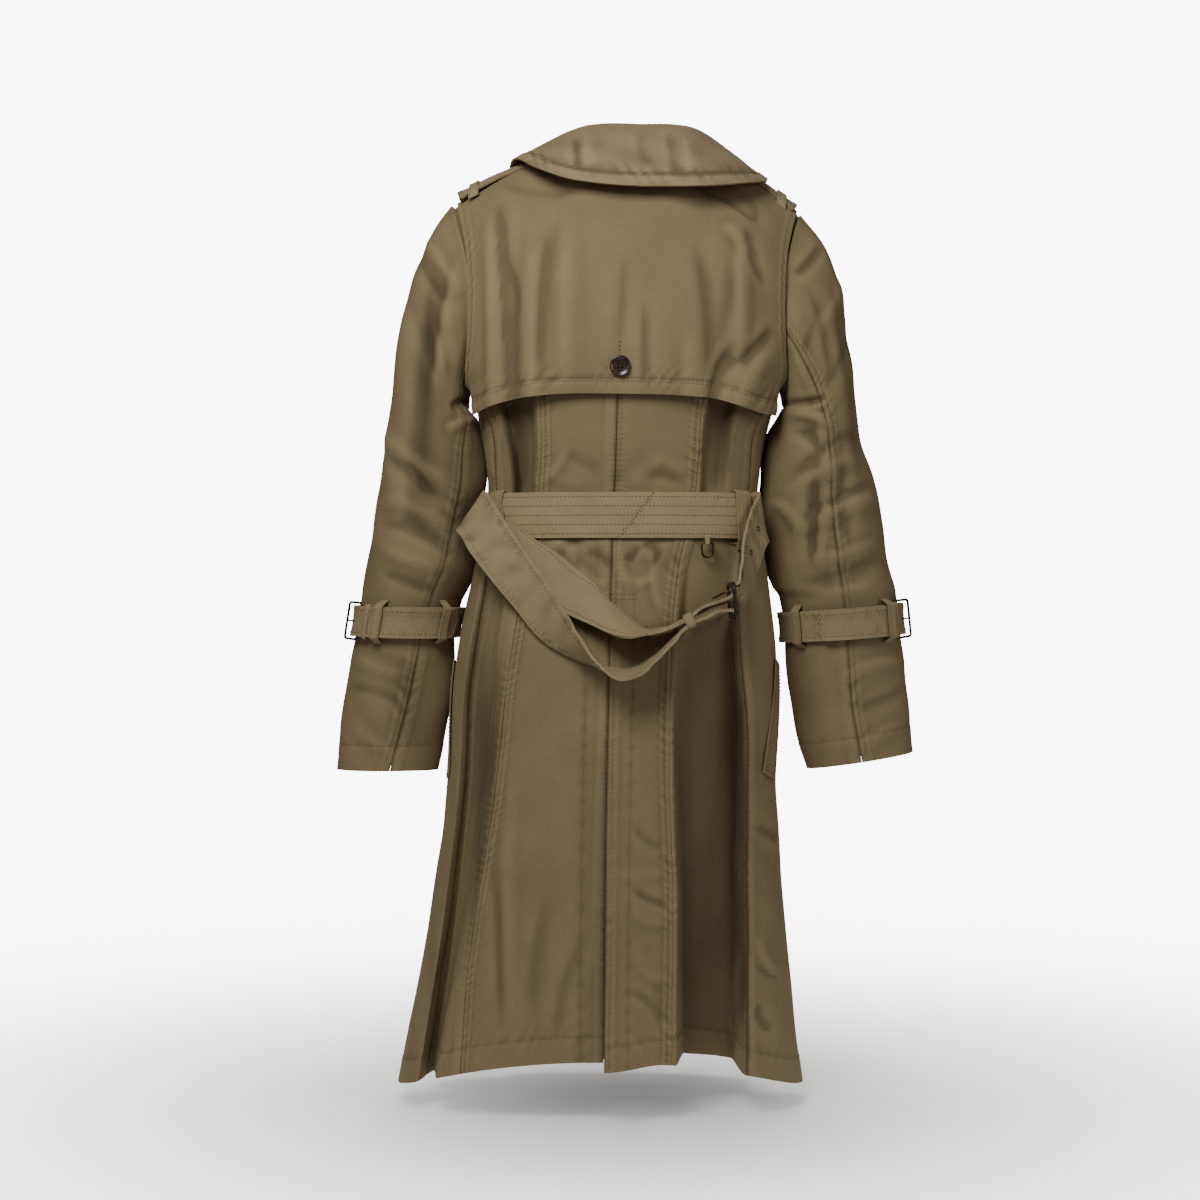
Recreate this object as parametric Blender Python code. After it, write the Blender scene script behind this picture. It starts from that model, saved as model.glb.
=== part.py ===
"""A belted, double-breasted trench coat of cotton gabardine, filled out with no wearer.

Units are metres and +Z is up. The back of the coat faces +Y, its front faces -Y, and the
wearer's left side is at +X. The origin lies between the shoulders, at the height of the
shoulder-neck points, where whoever wears the coat holds it up.

The body is one surface, given by an angle around the coat and a drop below the neck: 0 degrees
is the centre back, +90 the wearer's left side and 180 the centre front. Every panel is a strip
of that surface between two seams, and what lies on a panel is made from its points, moved out.
"""
import math

import bmesh
import bpy
import numpy as np
from mathutils import Matrix, Vector
from mathutils.bvhtree import BVHTree

# ---------------------------------------------------------------- driving sizes
CLOTH = 0.0016            # gabardine with its interlining
FIRM_CLOTH = 0.0022       # collar, straps and loops, which are doubled
CHEST_DROP = 0.272        # neck point to the chest ring, just under the arms
BACK_LENGTH = 0.956       # neck point to the hem at the centre back
SIDE_LENGTH = 1.000       # neck point to the hem at the sides and the front
BELT_WIDTH = 0.050
BELT_THICKNESS = 0.0028
BELT_TOP = -0.3668        # height of the belt's top edge on the back
BELT_BOTTOM = -0.4150
CUFF_STRAP_WIDTH = 0.034
BUTTON_DIAMETER = 0.022
HEM_FLARE_LIFT = 0.015    # how far the free edge of the vent stands out at the hem
SHOULDER_SAG = 0.009      # how much lower the right shoulder hangs than the left one

# corners of the body's upper edge, and the front edge, in degrees round the coat
NECK_CORNER = 25.0
TIP = 62.0
FRONT_TIP = 118.0
FRONT_NECK_CORNER = 155.0
FRONT_EDGE = 205.0
ARMPIT = 0.91             # share of the way from the shoulder tip down to the chest ring

CLOTH_COLOUR = (0.235, 0.178, 0.103, 1.0)
HORN_COLOUR = (0.030, 0.020, 0.014, 1.0)
BUCKLE_COLOUR = (0.022, 0.013, 0.010, 1.0)
METAL_COLOUR = (0.110, 0.085, 0.055, 1.0)


# ---------------------------------------------------------------- reading tables
class Profile:
    """Columns that are read smoothly along the first column of a short table."""

    def __init__(self, *rows):
        table = np.array(rows, dtype=float)
        self.keys = table[:, 0]
        self.values = table[:, 1:]
        self.slopes = np.gradient(self.values, self.keys, axis=0)

    def at(self, key):
        """Return one array for each column, at every key."""
        key = np.clip(np.asarray(key, dtype=float), self.keys[0], self.keys[-1])
        row = np.clip(np.searchsorted(self.keys, key) - 1, 0, len(self.keys) - 2)
        span = (self.keys[row + 1] - self.keys[row])[..., None]
        t = (key - self.keys[row])[..., None] / span
        values = hermite(self.values[row], self.slopes[row] * span,
                         self.values[row + 1], self.slopes[row + 1] * span, t)
        return np.moveaxis(values, -1, 0)


def hermite(start, start_slope, end, end_slope, t):
    """Blend two ends and their slopes by a cubic."""
    square = t * t
    cube = square * t
    return ((2 * cube - 3 * square + 1) * start + (cube - 2 * square + t) * start_slope
            + (3 * square - 2 * cube) * end + (cube - square) * end_slope)


def ease(t):
    """Rise smoothly from 0 to 1."""
    t = np.clip(t, 0.0, 1.0)
    return t * t * (3.0 - 2.0 * t)


def signed_power(value, exponent):
    """Raise to a power and keep the sign."""
    return np.sign(value) * np.abs(value) ** exponent


def unit(vectors):
    """Scale vectors to length one."""
    return vectors / np.maximum(np.linalg.norm(vectors, axis=-1, keepdims=True), 1e-12)


# ---------------------------------------------------------------- the body's form
# drop at the side, half width, centre x, depth to the back, depth to the front, squareness
SECTIONS = Profile(
    (0.272, 0.161, 0.005, 0.112, 0.118, 0.72),
    (0.325, 0.150, 0.007, 0.103, 0.112, 0.68),
    (0.384, 0.1465, 0.009, 0.093, 0.104, 0.66),
    (0.440, 0.158, 0.011, 0.103, 0.116, 0.74),
    (0.545, 0.174, 0.015, 0.122, 0.130, 0.82),
    (0.690, 0.179, 0.020, 0.131, 0.138, 0.85),
    (0.850, 0.197, 0.026, 0.139, 0.145, 0.87),
    (1.000, 0.219, 0.033, 0.146, 0.150, 0.88))

# height of a point above the neck, and how far the coat's axis leans there
LEAN = Profile((-0.272, 0.005), (-0.150, 0.0045), (-0.050, 0.0035), (0.0, -0.002), (0.040, -0.010))

# The upper edge of the body, for the left half. Each stretch is smooth and ends in a corner.
# angle, x from the axis, y, z, tilt of the cloth from straight down in degrees
UPPER_EDGE = (
    Profile((0, 0.0, 0.062, -0.0160, 30),      # back neck
            (12, 0.040, 0.055, -0.0110, 34),
            (25, 0.074, 0.012, -0.0010, 50)),
    Profile((25, 0.074, 0.012, -0.0010, 50),   # back shoulder
            (44, 0.128, 0.008, -0.0190, 56),
            (62, 0.187, -0.002, -0.0530, 44)),
    Profile((118, 0.187, -0.002, -0.0530, 44),  # front shoulder
            (136, 0.128, 0.008, -0.0190, 52),
            (155, 0.074, 0.012, -0.0010, 46)),
    Profile((155, 0.074, 0.012, -0.0010, 46),   # front neck and roll line
            (161, 0.069, -0.026, -0.0240, 40),
            (169, 0.055, -0.064, -0.0640, 28),
            (180, 0.014, -0.098, -0.1330, 12),
            (205, -0.080, -0.112, -0.2500, 0)))

# The armholes, for the left side: share of the way down to the chest ring, degrees round the
# sleeve, degrees round the body, x from the axis, y, z
ARMHOLE_BACK = Profile(
    (0.00, 0.0, 62.0, 0.1870, -0.002, -0.0530), (0.045, 13.7, 61.8, 0.1850, 0.016, -0.0580),
    (0.15, 35.6, 61.0, 0.1780, 0.036, -0.0800), (0.34, 67.0, 60.0, 0.1690, 0.056, -0.1180),
    (0.545, 102.0, 60.0, 0.1650, 0.068, -0.1650), (0.74, 136.0, 63.0, 0.1655, 0.062, -0.2120),
    (0.87, 163.0, 72.0, 0.1665, 0.042, -0.2430), (0.91, 180.0, 84.0, 0.1672, 0.020, -0.2520))
ARMHOLE_FRONT = Profile(
    (0.00, 0.0, 118.0, 0.1870, -0.002, -0.0530), (0.045, 11.0, 118.0, 0.1850, -0.019, -0.0580),
    (0.15, 29.4, 118.0, 0.1780, -0.038, -0.0800), (0.34, 57.0, 117.0, 0.1670, -0.060, -0.1180),
    (0.545, 87.5, 115.0, 0.1610, -0.072, -0.1650), (0.74, 116.8, 109.0, 0.1640, -0.066, -0.2120),
    (0.87, 150.0, 97.0, 0.1665, -0.030, -0.2460), (0.91, 180.0, 84.0, 0.1672, 0.020, -0.2520))

# The centre-back seam, and below the vent's top the free edge: drop at the back, x
CENTRE_BACK = Profile((0.272, 0.0139), (0.360, 0.0146), (0.440, 0.0165), (0.472, 0.0176),
                      (0.494, 0.0262), (0.600, 0.0270), (0.690, 0.0275), (0.956, 0.0296))
# Seams: drop at the back, angle
PRINCESS_LEFT = Profile((0.0, 40), (0.272, 27), (0.361, 28), (0.498, 34), (0.676, 40),
                        (0.847, 42.5), (0.956, 39))
SIDE_LEFT = Profile((0.2475, 84), (0.272, 69), (0.354, 62), (0.464, 56.5),
                    (0.587, 59), (0.710, 58.5), (0.799, 57), (0.956, 55))
PRINCESS_RIGHT = Profile((0.0, -40), (0.272, -22.5), (0.361, -22.5), (0.443, -16.5), (0.559, -15),
                         (0.785, -17.5), (0.956, -17))
SIDE_RIGHT = Profile((0.2475, -84), (0.272, -66), (0.361, -60),
                     (0.440, -47), (0.498, -44), (0.621, -50), (0.778, -47), (0.956, -42))
LEFT_CREASE = Profile((0.0, 44), (0.272, 30.2), (0.361, 31.2), (0.420, 39), (0.477, 41), (0.580, 41.5),
                      (0.730, 45), (0.847, 47), (0.956, 48.3))
LEFT_RIDGE = Profile((0.0, 54), (0.2475, 56), (0.272, 53), (0.361, 46), (0.420, 47), (0.477, 49),
                     (0.580, 51), (0.730, 53), (0.956, 53.3))
LEVEL = Profile((0.0, 0.0), (1.0, 0.0))

# Folds. Each is a trough pressed inward between two lines:
# start line and offset, end line and offset, entry and exit slope in degrees, depth by drop
FOLDS = (
    (PRINCESS_LEFT, 1.0, LEFT_RIDGE, 0.0, 4, 7,
     Profile((0.200, 0.0), (0.272, 0.022), (0.361, 0.026), (0.410, 0.014), (0.455, 0.0))),
    (LEFT_CREASE, 0.0, SIDE_LEFT, 6.0, 4, 10,
     Profile((0.400, 0.0), (0.477, 0.018), (0.580, 0.031), (0.730, 0.036), (0.847, 0.042), (0.956, 0.050))),
    (PRINCESS_RIGHT, -18.5, PRINCESS_RIGHT, -0.8, 7, 4,
     Profile((0.200, 0.0), (0.272, 0.024), (0.340, 0.018), (0.400, 0.0))),
    (SIDE_RIGHT, 0.8, PRINCESS_RIGHT, -0.8, 4, 4,
     Profile((0.410, 0.0), (0.484, 0.010), (0.559, 0.028), (0.621, 0.044), (0.785, 0.068), (0.956, 0.084))),
    (LEVEL, 97.0, LEVEL, 128.0, 10, 13, Profile((0.430, 0.0), (0.620, 0.016), (0.956, 0.034))),
    (LEVEL, -132.0, LEVEL, -99.0, 13, 10, Profile((0.400, 0.0), (0.600, 0.018), (0.956, 0.037))))


def section_point(angle, back_drop):
    """Return points on the body between the chest ring and the hem."""
    turn = np.radians(angle)
    reach = (back_drop - CHEST_DROP) / (BACK_LENGTH - CHEST_DROP)
    side_drop = CHEST_DROP + reach * (SIDE_LENGTH - CHEST_DROP)
    width, centre, back, front, squareness = SECTIONS.at(side_drop)
    sine = np.sin(turn)
    cosine = np.cos(turn)
    x = centre + width * signed_power(sine, squareness)
    y = np.where(cosine > 0, back, front) * signed_power(cosine, squareness)
    towards_side = np.where(cosine > 0, sine * sine, 1.0)
    z = -(back_drop + (side_drop - back_drop) * towards_side)
    return np.stack([x, y, z], axis=-1)


def upper_edge(angle):
    """Return points on the body's upper edge, and the direction in which the cloth leaves it."""
    side = np.where(angle < 0, -1.0, 1.0)
    size = np.abs(angle)
    x = np.zeros_like(size)
    y = np.zeros_like(size)
    z = np.zeros_like(size)
    tilt = np.zeros_like(size)
    for stretch in UPPER_EDGE:
        inside = (size >= stretch.keys[0]) & (size <= stretch.keys[-1])
        values = stretch.at(size)
        x, y, z, tilt = (np.where(inside, new, old) for new, old in zip(values, (x, y, z, tilt)))
    x = side * x + LEAN.at(z)[0]
    towards_tip = np.minimum(ease((size - NECK_CORNER) / (TIP - NECK_CORNER)),
                             ease((FRONT_NECK_CORNER - size) / (FRONT_NECK_CORNER - FRONT_TIP)))
    past_tip = np.clip((size - TIP) / (FRONT_TIP - TIP), 0.0, 1.0)
    sag = towards_tip * np.cos(np.pi * past_tip) ** 2
    z = z - np.where(side < 0, SHOULDER_SAG, 0.0) * sag
    tilt = np.radians(tilt)
    cosine = np.cos(np.radians(size))
    outward = unit(np.stack([side * 0.25 * np.sin(np.radians(size)), cosine, 0 * size], axis=-1))
    down = np.array([0.0, 0.0, -1.0])
    leaving = outward * np.sin(tilt)[..., None] + down * np.cos(tilt)[..., None]
    return np.stack([x, y, z], axis=-1), leaving


def fold_depth(angle, back_drop):
    """Return how far the folds press the cloth in."""
    around = (angle + 180.0) % 360.0 - 180.0
    depth = np.zeros(np.broadcast(angle, back_drop).shape)
    for start_line, start_offset, end_line, end_offset, entry, leave, profile in FOLDS:
        start = start_line.at(back_drop)[0] + start_offset
        end = end_line.at(back_drop)[0] + end_offset
        rise = ease((around - start) / entry)
        fall = ease((end - around) / leave)
        depth = depth + np.maximum(profile.at(back_drop)[0], 0.0) * rise * fall
    return depth


def side_angles(side, back_drop):
    """Return the angles at which the back and the front of the body end towards the side."""
    seam_line = np.where(side > 0, SIDE_LEFT.at(back_drop)[0], -SIDE_RIGHT.at(back_drop)[0])
    share = back_drop / CHEST_DROP
    return (np.where(share < ARMPIT, ARMHOLE_BACK.at(share)[1], seam_line),
            np.where(share < ARMPIT, ARMHOLE_FRONT.at(share)[1], seam_line))


def hanging_point(side, top_angle, chest_angle, share):
    """Return points on the cloth that hangs from the upper edge to the chest ring."""
    start, leaving = upper_edge(side * top_angle)
    chest = section_point(side * chest_angle, np.full_like(share, CHEST_DROP))
    below = section_point(side * chest_angle, np.full_like(share, CHEST_DROP + 0.01))
    length = np.linalg.norm(chest - start, axis=-1, keepdims=True)
    return hermite(start, leaving * length, chest, unit(below - chest) * length, share[..., None])


def side_edge(side, at_back, share):
    """Return the outer edge of the upper body: the armhole, then the top of the side seam."""
    hole = np.minimum(share, ARMPIT)
    _, _, x, y, z = np.where(at_back, np.array(ARMHOLE_BACK.at(hole)), np.array(ARMHOLE_FRONT.at(hole)))
    sag = np.where(side < 0, SHOULDER_SAG, 0.0) * (1 - ease(hole / ARMPIT))
    edge = np.stack([side * x + LEAN.at(z)[0], y, z - sag], axis=-1)
    chest, below = (section_point(side * side_angles(side, drop)[0], drop)
                    for drop in (np.full_like(share, CHEST_DROP), np.full_like(share, CHEST_DROP + 0.01)))
    length = np.linalg.norm(chest - edge, axis=-1, keepdims=True)
    t = ((share - hole) / (1 - ARMPIT))[..., None]
    return hermite(edge, chest - edge, chest, unit(below - chest) * length, t)


def upper_point(angle, back_drop):
    """Return points on the body above the chest ring."""
    side = np.where(angle < 0, -1.0, 1.0)
    share = back_drop / CHEST_DROP
    back_end, front_end = side_angles(side, back_drop)
    size = np.abs(angle)
    at_back = size <= (back_end + front_end) / 2
    size = np.where(at_back, np.minimum(size, back_end), np.clip(size, front_end, FRONT_EDGE))
    outward = np.where(at_back, size / back_end, (FRONT_EDGE - size) / (FRONT_EDGE - front_end))
    top = np.where(at_back, outward * TIP, FRONT_EDGE - outward * (FRONT_EDGE - FRONT_TIP))
    tip = np.where(at_back, TIP, FRONT_TIP)
    end = np.where(at_back, back_end, front_end)
    pull = side_edge(side, at_back, share) - hanging_point(side, tip, end, share)
    return hanging_point(side, top, size, share) + pull * (outward ** 3)[..., None]


def body_point(angle, back_drop, folded=True):
    """Return points on the coat's body."""
    angle, back_drop = np.broadcast_arrays(np.asarray(angle, dtype=float),
                                           np.asarray(back_drop, dtype=float))
    lower = section_point(angle, np.maximum(back_drop, CHEST_DROP))
    above = (back_drop < CHEST_DROP)[..., None]
    points = np.where(above, upper_point(angle, np.minimum(back_drop, CHEST_DROP)), lower)
    if folded:
        cosine = np.cos(np.radians(angle))
        to_axis = np.stack([LEAN.at(points[..., 2])[0] - points[..., 0], -points[..., 1]], axis=-1)
        inward = np.where((cosine > 0)[..., None], np.array([0.0, -1.0]), unit(to_axis))
        points[..., :2] = points[..., :2] + inward * fold_depth(angle, back_drop)[..., None]
    return points


def body_normal(angle, back_drop, folded=True):
    """Return outward directions on the body, mitred where it turns a corner."""
    turn = 2.5
    step = 0.003
    here = body_point(angle, back_drop, folded)
    along = body_point(angle, back_drop + step, folded)
    along = along - body_point(angle, np.maximum(back_drop - step, 0.0), folded)
    after = unit(np.cross(body_point(angle + turn, back_drop, folded) - here, along))
    before = unit(np.cross(here - body_point(angle - turn, back_drop, folded), along))
    normal = after + before
    size = np.abs(angle)
    ridge = (size > NECK_CORNER - 0.2) & (size < TIP + 0.2)
    ridge = ridge | ((size > FRONT_TIP - 0.2) & (size < FRONT_NECK_CORNER + 0.2))
    mitre = ridge & (back_drop < 0.002)
    normal[..., 1] = np.where(mitre, 0.0, normal[..., 1])
    return unit(normal)


# ---------------------------------------------------------------- building closed pieces
def wall(name, grid, normals, low, high, material):
    """Build a closed wall between two offsets of a grid of points."""
    rows, columns = grid.shape[:2]
    low = np.broadcast_to(low, (rows, columns))[..., None]
    high = np.broadcast_to(high, (rows, columns))[..., None]
    layers = (grid + normals * high, grid + normals * low)
    mesh = bmesh.new()
    outer, inner = ([[mesh.verts.new(point) for point in row] for row in layer] for layer in layers)
    for row, column in np.ndindex(rows - 1, columns - 1):
        corners = [(row, column), (row, column + 1), (row + 1, column + 1), (row + 1, column)]
        first, second, third, fourth = (layers[0][corner] for corner in corners)
        if np.linalg.norm(first - third) > np.linalg.norm(second - fourth):
            corners = corners[1:] + corners[:1]
        for layer in (outer, inner):
            first, second, third, fourth = (layer[place][step] for place, step in corners)
            mesh.faces.new((first, second, third))
            mesh.faces.new((first, third, fourth))
    rim = [(0, column) for column in range(columns)]
    rim += [(row, columns - 1) for row in range(1, rows)]
    rim += [(rows - 1, column) for column in range(columns - 2, -1, -1)]
    rim += [(row, 0) for row in range(rows - 2, 0, -1)]
    for (row, column), (next_row, next_column) in zip(rim, rim[1:] + rim[:1]):
        corners = [outer[row][column], outer[next_row][next_column],
                   inner[next_row][next_column], inner[row][column]]
        if corners[0].co.z < corners[1].co.z:
            corners = corners[1:] + corners[:1]
        mesh.faces.new(corners[:3])
        mesh.faces.new((corners[0], corners[2], corners[3]))
    return finish_mesh(name, mesh, material)


def finish_mesh(name, mesh, material):
    """Turn a closed bmesh into an object with its faces pointing out."""
    bmesh.ops.recalc_face_normals(mesh, faces=mesh.faces)
    data = bpy.data.meshes.new(name)
    mesh.to_mesh(data)
    mesh.free()
    data.materials.append(material)
    data.shade_smooth()
    data.set_sharp_from_angle(angle=math.radians(40))
    piece = bpy.data.objects.new(name, data)
    bpy.context.collection.objects.link(piece)
    return piece


def grid_normals(grid):
    """Return the directions that stand on a grid of points."""
    along = np.gradient(grid, axis=0)
    across = np.gradient(grid, axis=1)
    return unit(np.cross(along, across))


def tube_ring(name, points, radius, material, sides=8):
    """Build a closed ring of round section through a closed loop of points."""
    points = np.array(points)
    count = len(points)
    centre = points.mean(axis=0)
    flat = unit(np.cross(points[0] - centre, points[count // 4] - centre))
    mesh = bmesh.new()
    rings = []
    for index, point in enumerate(points):
        along = unit(points[(index + 1) % count] - points[index - 1])
        side = unit(np.cross(along, flat))
        rings.append([mesh.verts.new(point + radius * (side * math.cos(turn) + flat * math.sin(turn)))
                      for turn in np.linspace(0, 2 * math.pi, sides, endpoint=False)])
    for index in range(count):
        here, there = rings[index], rings[(index + 1) % count]
        for side in range(sides):
            after = (side + 1) % sides
            mesh.faces.new((here[side], there[side], there[after], here[after]))
    return finish_mesh(name, mesh, material)


def rounded_loop(corners, radius, steps=3):
    """Return a closed loop of points through four corners, each rounded."""
    corners = [np.array(corner, dtype=float) for corner in corners]
    points = []
    for index, corner in enumerate(corners):
        before = corner + unit(corners[index - 1] - corner) * radius
        after = corner + unit(corners[(index + 1) % len(corners)] - corner) * radius
        for t in np.linspace(0, 1, steps + 1):
            points.append((1 - t) ** 2 * before + 2 * t * (1 - t) * corner + t * t * after)
    return points


def band_ring(name, centre, long_axis, short_axis, half_long, half_short, width, thickness, material):
    """Build a flat keeper that runs round a strap."""
    centre = np.array(centre, dtype=float)
    long_axis = unit(np.array(long_axis, dtype=float))
    short_axis = unit(np.array(short_axis, dtype=float))
    along = unit(np.cross(long_axis, short_axis))
    layers = []
    for grow in (0.0, thickness):
        tall = half_long + grow
        deep = half_short + grow
        corners = [(-tall, -deep), (tall, -deep), (tall, deep), (-tall, deep)]
        loop = rounded_loop([centre + long_axis * a + short_axis * b for a, b in corners],
                            min(0.0010 + grow, deep * 0.9), steps=2)
        layers.append(np.array(loop))
    mesh = bmesh.new()
    shift = along * width / 2
    loops = [[mesh.verts.new(point + offset) for point in layer]
             for layer in layers for offset in (-shift, shift)]
    count = len(layers[0])
    for first, second in ((0, 1), (1, 3), (3, 2), (2, 0)):
        for index in range(count):
            after = (index + 1) % count
            mesh.faces.new((loops[first][index], loops[second][index],
                            loops[second][after], loops[first][after]))
    return finish_mesh(name, mesh, material)


def turned(name, profile, place, axis, material, sides=16):
    """Turn a closed profile of (radius, height) about an axis; it starts and ends on the axis."""
    mesh = bmesh.new()
    rings = []
    for radius, height in profile:
        if radius == 0.0:
            rings.append([mesh.verts.new((0, 0, height))])
        else:
            rings.append([mesh.verts.new((radius * math.cos(turn), radius * math.sin(turn), height))
                          for turn in np.linspace(0, 2 * math.pi, sides, endpoint=False)])
    for lower, upper in zip(rings, rings[1:]):
        for side in range(sides):
            after = (side + 1) % sides
            if len(lower) == 1:
                mesh.faces.new((lower[0], upper[side], upper[after]))
            elif len(upper) == 1:
                mesh.faces.new((lower[side], lower[after], upper[0]))
            else:
                mesh.faces.new((lower[side], lower[after], upper[after], upper[side]))
    turn = Vector((0, 0, 1)).rotation_difference(Vector(axis)).to_matrix().to_4x4()
    mesh.transform(Matrix.Translation(Vector(place)) @ turn)
    return finish_mesh(name, mesh, material)


def plain_material(name, colour, roughness, metallic=0.0):
    """Make a Principled material."""
    material = bpy.data.materials.new(name)
    material.use_nodes = True
    shader = material.node_tree.nodes["Principled BSDF"]
    shader.inputs["Base Color"].default_value = colour
    shader.inputs["Roughness"].default_value = roughness
    shader.inputs["Metallic"].default_value = metallic
    return material


# ---------------------------------------------------------------- body panels
RECESS_ENTRY = 3.2        # degrees between a crease edge and the foot of its step
VENT_TOP = 0.478
LEFT_FRONT_EDGE = 202.0
UNDER_FRONT = 0.0115      # how far the left front lies under the right one

PANEL_ROWS = np.array((0.0004, 0.020, 0.045, 0.080, 0.128, 0.178, 0.212, 0.2366, 0.2475, 0.272, 0.315,
                       0.345, 0.367, 0.390, 0.415, 0.445, 0.480, 0.540, 0.610, 0.700, 0.800, 0.880,
                       0.956))


def seam(profile, drops):
    """Return a seam's angle at each drop."""
    return profile.at(drops)[0]


def centre_back(drops):
    """Return the angle of the centre-back seam, worked out from its distance to the side."""
    reach = (np.maximum(drops, CHEST_DROP) - CHEST_DROP) / (BACK_LENGTH - CHEST_DROP)
    side_drop = CHEST_DROP + reach * (SIDE_LENGTH - CHEST_DROP)
    width, centre, _, _, squareness = SECTIONS.at(side_drop)
    offset = (CENTRE_BACK.at(drops)[0] - centre) / width
    angle = np.degrees(np.arcsin(signed_power(offset, 1 / squareness)))
    return angle * ease(drops / CHEST_DROP)


def columns_between(edges, shares, gap=0.12):
    """Return angles for every row and column, from rows of edge angles and shares between them.

    Each entry of shares is a number of even steps or an array of places from 0 to 1. The first
    and last edges are drawn in by the seam gap, in degrees.
    """
    edges = np.array(edges, dtype=float)
    direction = np.sign(edges[-1] - edges[0])
    edges[0] = edges[0] + gap * direction
    edges[-1] = edges[-1] - gap * direction
    angles = []
    for index, share in enumerate(shares):
        places = np.linspace(0, 1, share + 1) if np.isscalar(share) else share
        for t in places[:-1]:
            angles.append(edges[index] * (1 - t) + edges[index + 1] * t)
    angles.append(edges[-1])
    return np.array(angles).T


def shares_of(stops):
    """Return the places of stops between the first and the last of them."""
    return (stops - stops[0]) / (stops[-1] - stops[0])


def body_panel(name, angles, drops, material, lift=0.0, drop_shift=0.0):
    """Build one panel of the body, whose outer face lies on the body's surface; return that face."""
    drops = np.broadcast_to(drops[:, None], angles.shape)
    points = body_point(angles, drops)
    normals = body_normal(angles, drops)
    points[..., 2] = points[..., 2] - drop_shift
    wall(name, points, normals, lift - CLOTH, lift, material)
    return points + normals * np.broadcast_to(lift, angles.shape)[..., None]


def mix(start, end, t):
    """Return a row of edge angles a fraction of the way between two seams."""
    return start * (1 - t) + end * t


def make_back_panels(cloth):
    """Make the two centre backs and the two side backs."""
    drops = PANEL_ROWS
    princess = seam(PRINCESS_LEFT, drops)
    side, _ = side_angles(np.full_like(drops, 1), drops)
    shoulder = mix(centre_back(drops), princess, 0.62)
    angles = columns_between((centre_back(drops), shoulder, princess), (4, 3))
    body_panel("back_left", angles, drops, cloth)

    crease = seam(LEFT_CREASE, drops)
    foot = crease + RECESS_ENTRY
    angles = columns_between((princess, crease, foot, seam(LEFT_RIDGE, drops), side), (2, 2, 3, 3))
    body_panel("side_back_left", angles, drops, cloth)

    princess = seam(PRINCESS_RIGHT, drops)
    side = -side_angles(np.full_like(drops, -1), drops)[0]
    shoulder = mix(centre_back(drops), princess, 0.62)
    angles = columns_between((centre_back(drops), shoulder, princess), (4, 3))
    free = ease((drops - VENT_TOP) / (BACK_LENGTH - VENT_TOP))[:, None]
    near_edge = ease(1 - (centre_back(drops)[:, None] - angles) / 15.0)
    body_panel("back_right", angles, drops, cloth, lift=HEM_FLARE_LIFT * free * near_edge,
               drop_shift=0.008 * free * near_edge)

    foot = princess - RECESS_ENTRY - 1.6
    angles = columns_between((princess, foot, mix(foot, side, 0.5), side), (3, 3, 4))
    body_panel("side_back_right", angles, drops, cloth)


def make_vent_underlap(cloth):
    """Make the strip of the left back that lies under the right back."""
    drops = np.linspace(VENT_TOP + 0.004, BACK_LENGTH - 0.003, 12)
    edge = centre_back(drops)
    angles = columns_between((edge + 5.5, edge - 7.5), (5,), gap=0.0)
    drops = np.broadcast_to(drops[:, None], angles.shape)
    below = -CLOTH - 0.0014
    wall("vent_underlap", body_point(angles, drops), body_normal(angles, drops),
         below - CLOTH, below, cloth)


def front_tuck(angle, drop):
    """Return how far the left front is pressed in, so as to lie under the right one."""
    start = 155.0 - 28.0 * np.minimum(drop / 0.25, 1.0)
    return -UNDER_FRONT * ease((angle - start) / 28.0)


def make_fronts(cloth):
    """Make the two fronts, which lap over each other at the centre, and the lapels on them."""
    drops = PANEL_ROWS
    neck = (FRONT_EDGE - FRONT_NECK_CORNER) / (FRONT_EDGE - FRONT_TIP)
    for name, side, last in (("left", 1, LEFT_FRONT_EDGE), ("right", -1, FRONT_EDGE)):
        _, start = side_angles(np.full_like(drops, side), drops)
        width = FRONT_EDGE - start
        edges = (start, start + 6.0, FRONT_EDGE - neck * width, FRONT_EDGE - 0.40 * width,
                 last + 0 * drops)
        angles = columns_between(edges, (1, 7, 3, 4))
        lift = front_tuck(angles, drops[:, None]) if side > 0 else 0.0
        face = body_panel(f"front_{name}", side * angles, drops, cloth, lift=lift)
        make_lapel(f"lapel_{name}", side, face, cloth)


# share of the way down the roll line, x and z of the lapel's outer edge on the left
LAPEL = Profile((0.0, 0.126, -0.104), (0.25, 0.102, -0.150), (0.5, 0.059, -0.190),
                (0.8, -0.008, -0.230), (1.0, -0.052, -0.252))


def make_lapel(name, side, face, cloth):
    """Make a turned-back upper front, which lies on the front from the roll line outward."""
    across = np.linspace(0, 1, 7)
    down = np.linspace(0, 1, 12)
    roll, _ = upper_edge(side * (170.0 + 30.0 * down))
    outer_x, outer_z = LAPEL.at(down)
    x = mix((roll[:, 0] + side * 0.0030)[:, None], side * outer_x[:, None], across)
    z = mix((roll[:, 2] - 0.0070)[:, None], outer_z[:, None], across)
    points = seen_from_front(face, x, z)
    lift = 0.0016 + 0.0014 * ease(across / 0.4)
    wall(name, points, grid_normals(points) * side, lift, lift + CLOTH, cloth)


def seen_from_front(face, x, z):
    """Return the points where a face is met at x and z by lines that run backward."""
    rows, columns = face.shape[:2]
    quads = [(row * columns + column, row * columns + column + 1,
              (row + 1) * columns + column + 1, (row + 1) * columns + column)
             for row, column in np.ndindex(rows - 1, columns - 1)]
    tree = BVHTree.FromPolygons([tuple(point) for point in face.reshape(-1, 3)], quads)
    backward = Vector((0.0, 1.0, 0.0))
    points = [tree.ray_cast(Vector((px, -1.0, pz)), backward)[0] for px, pz in zip(x.flat, z.flat)]
    return np.array(points).reshape(x.shape + (3,))


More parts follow.
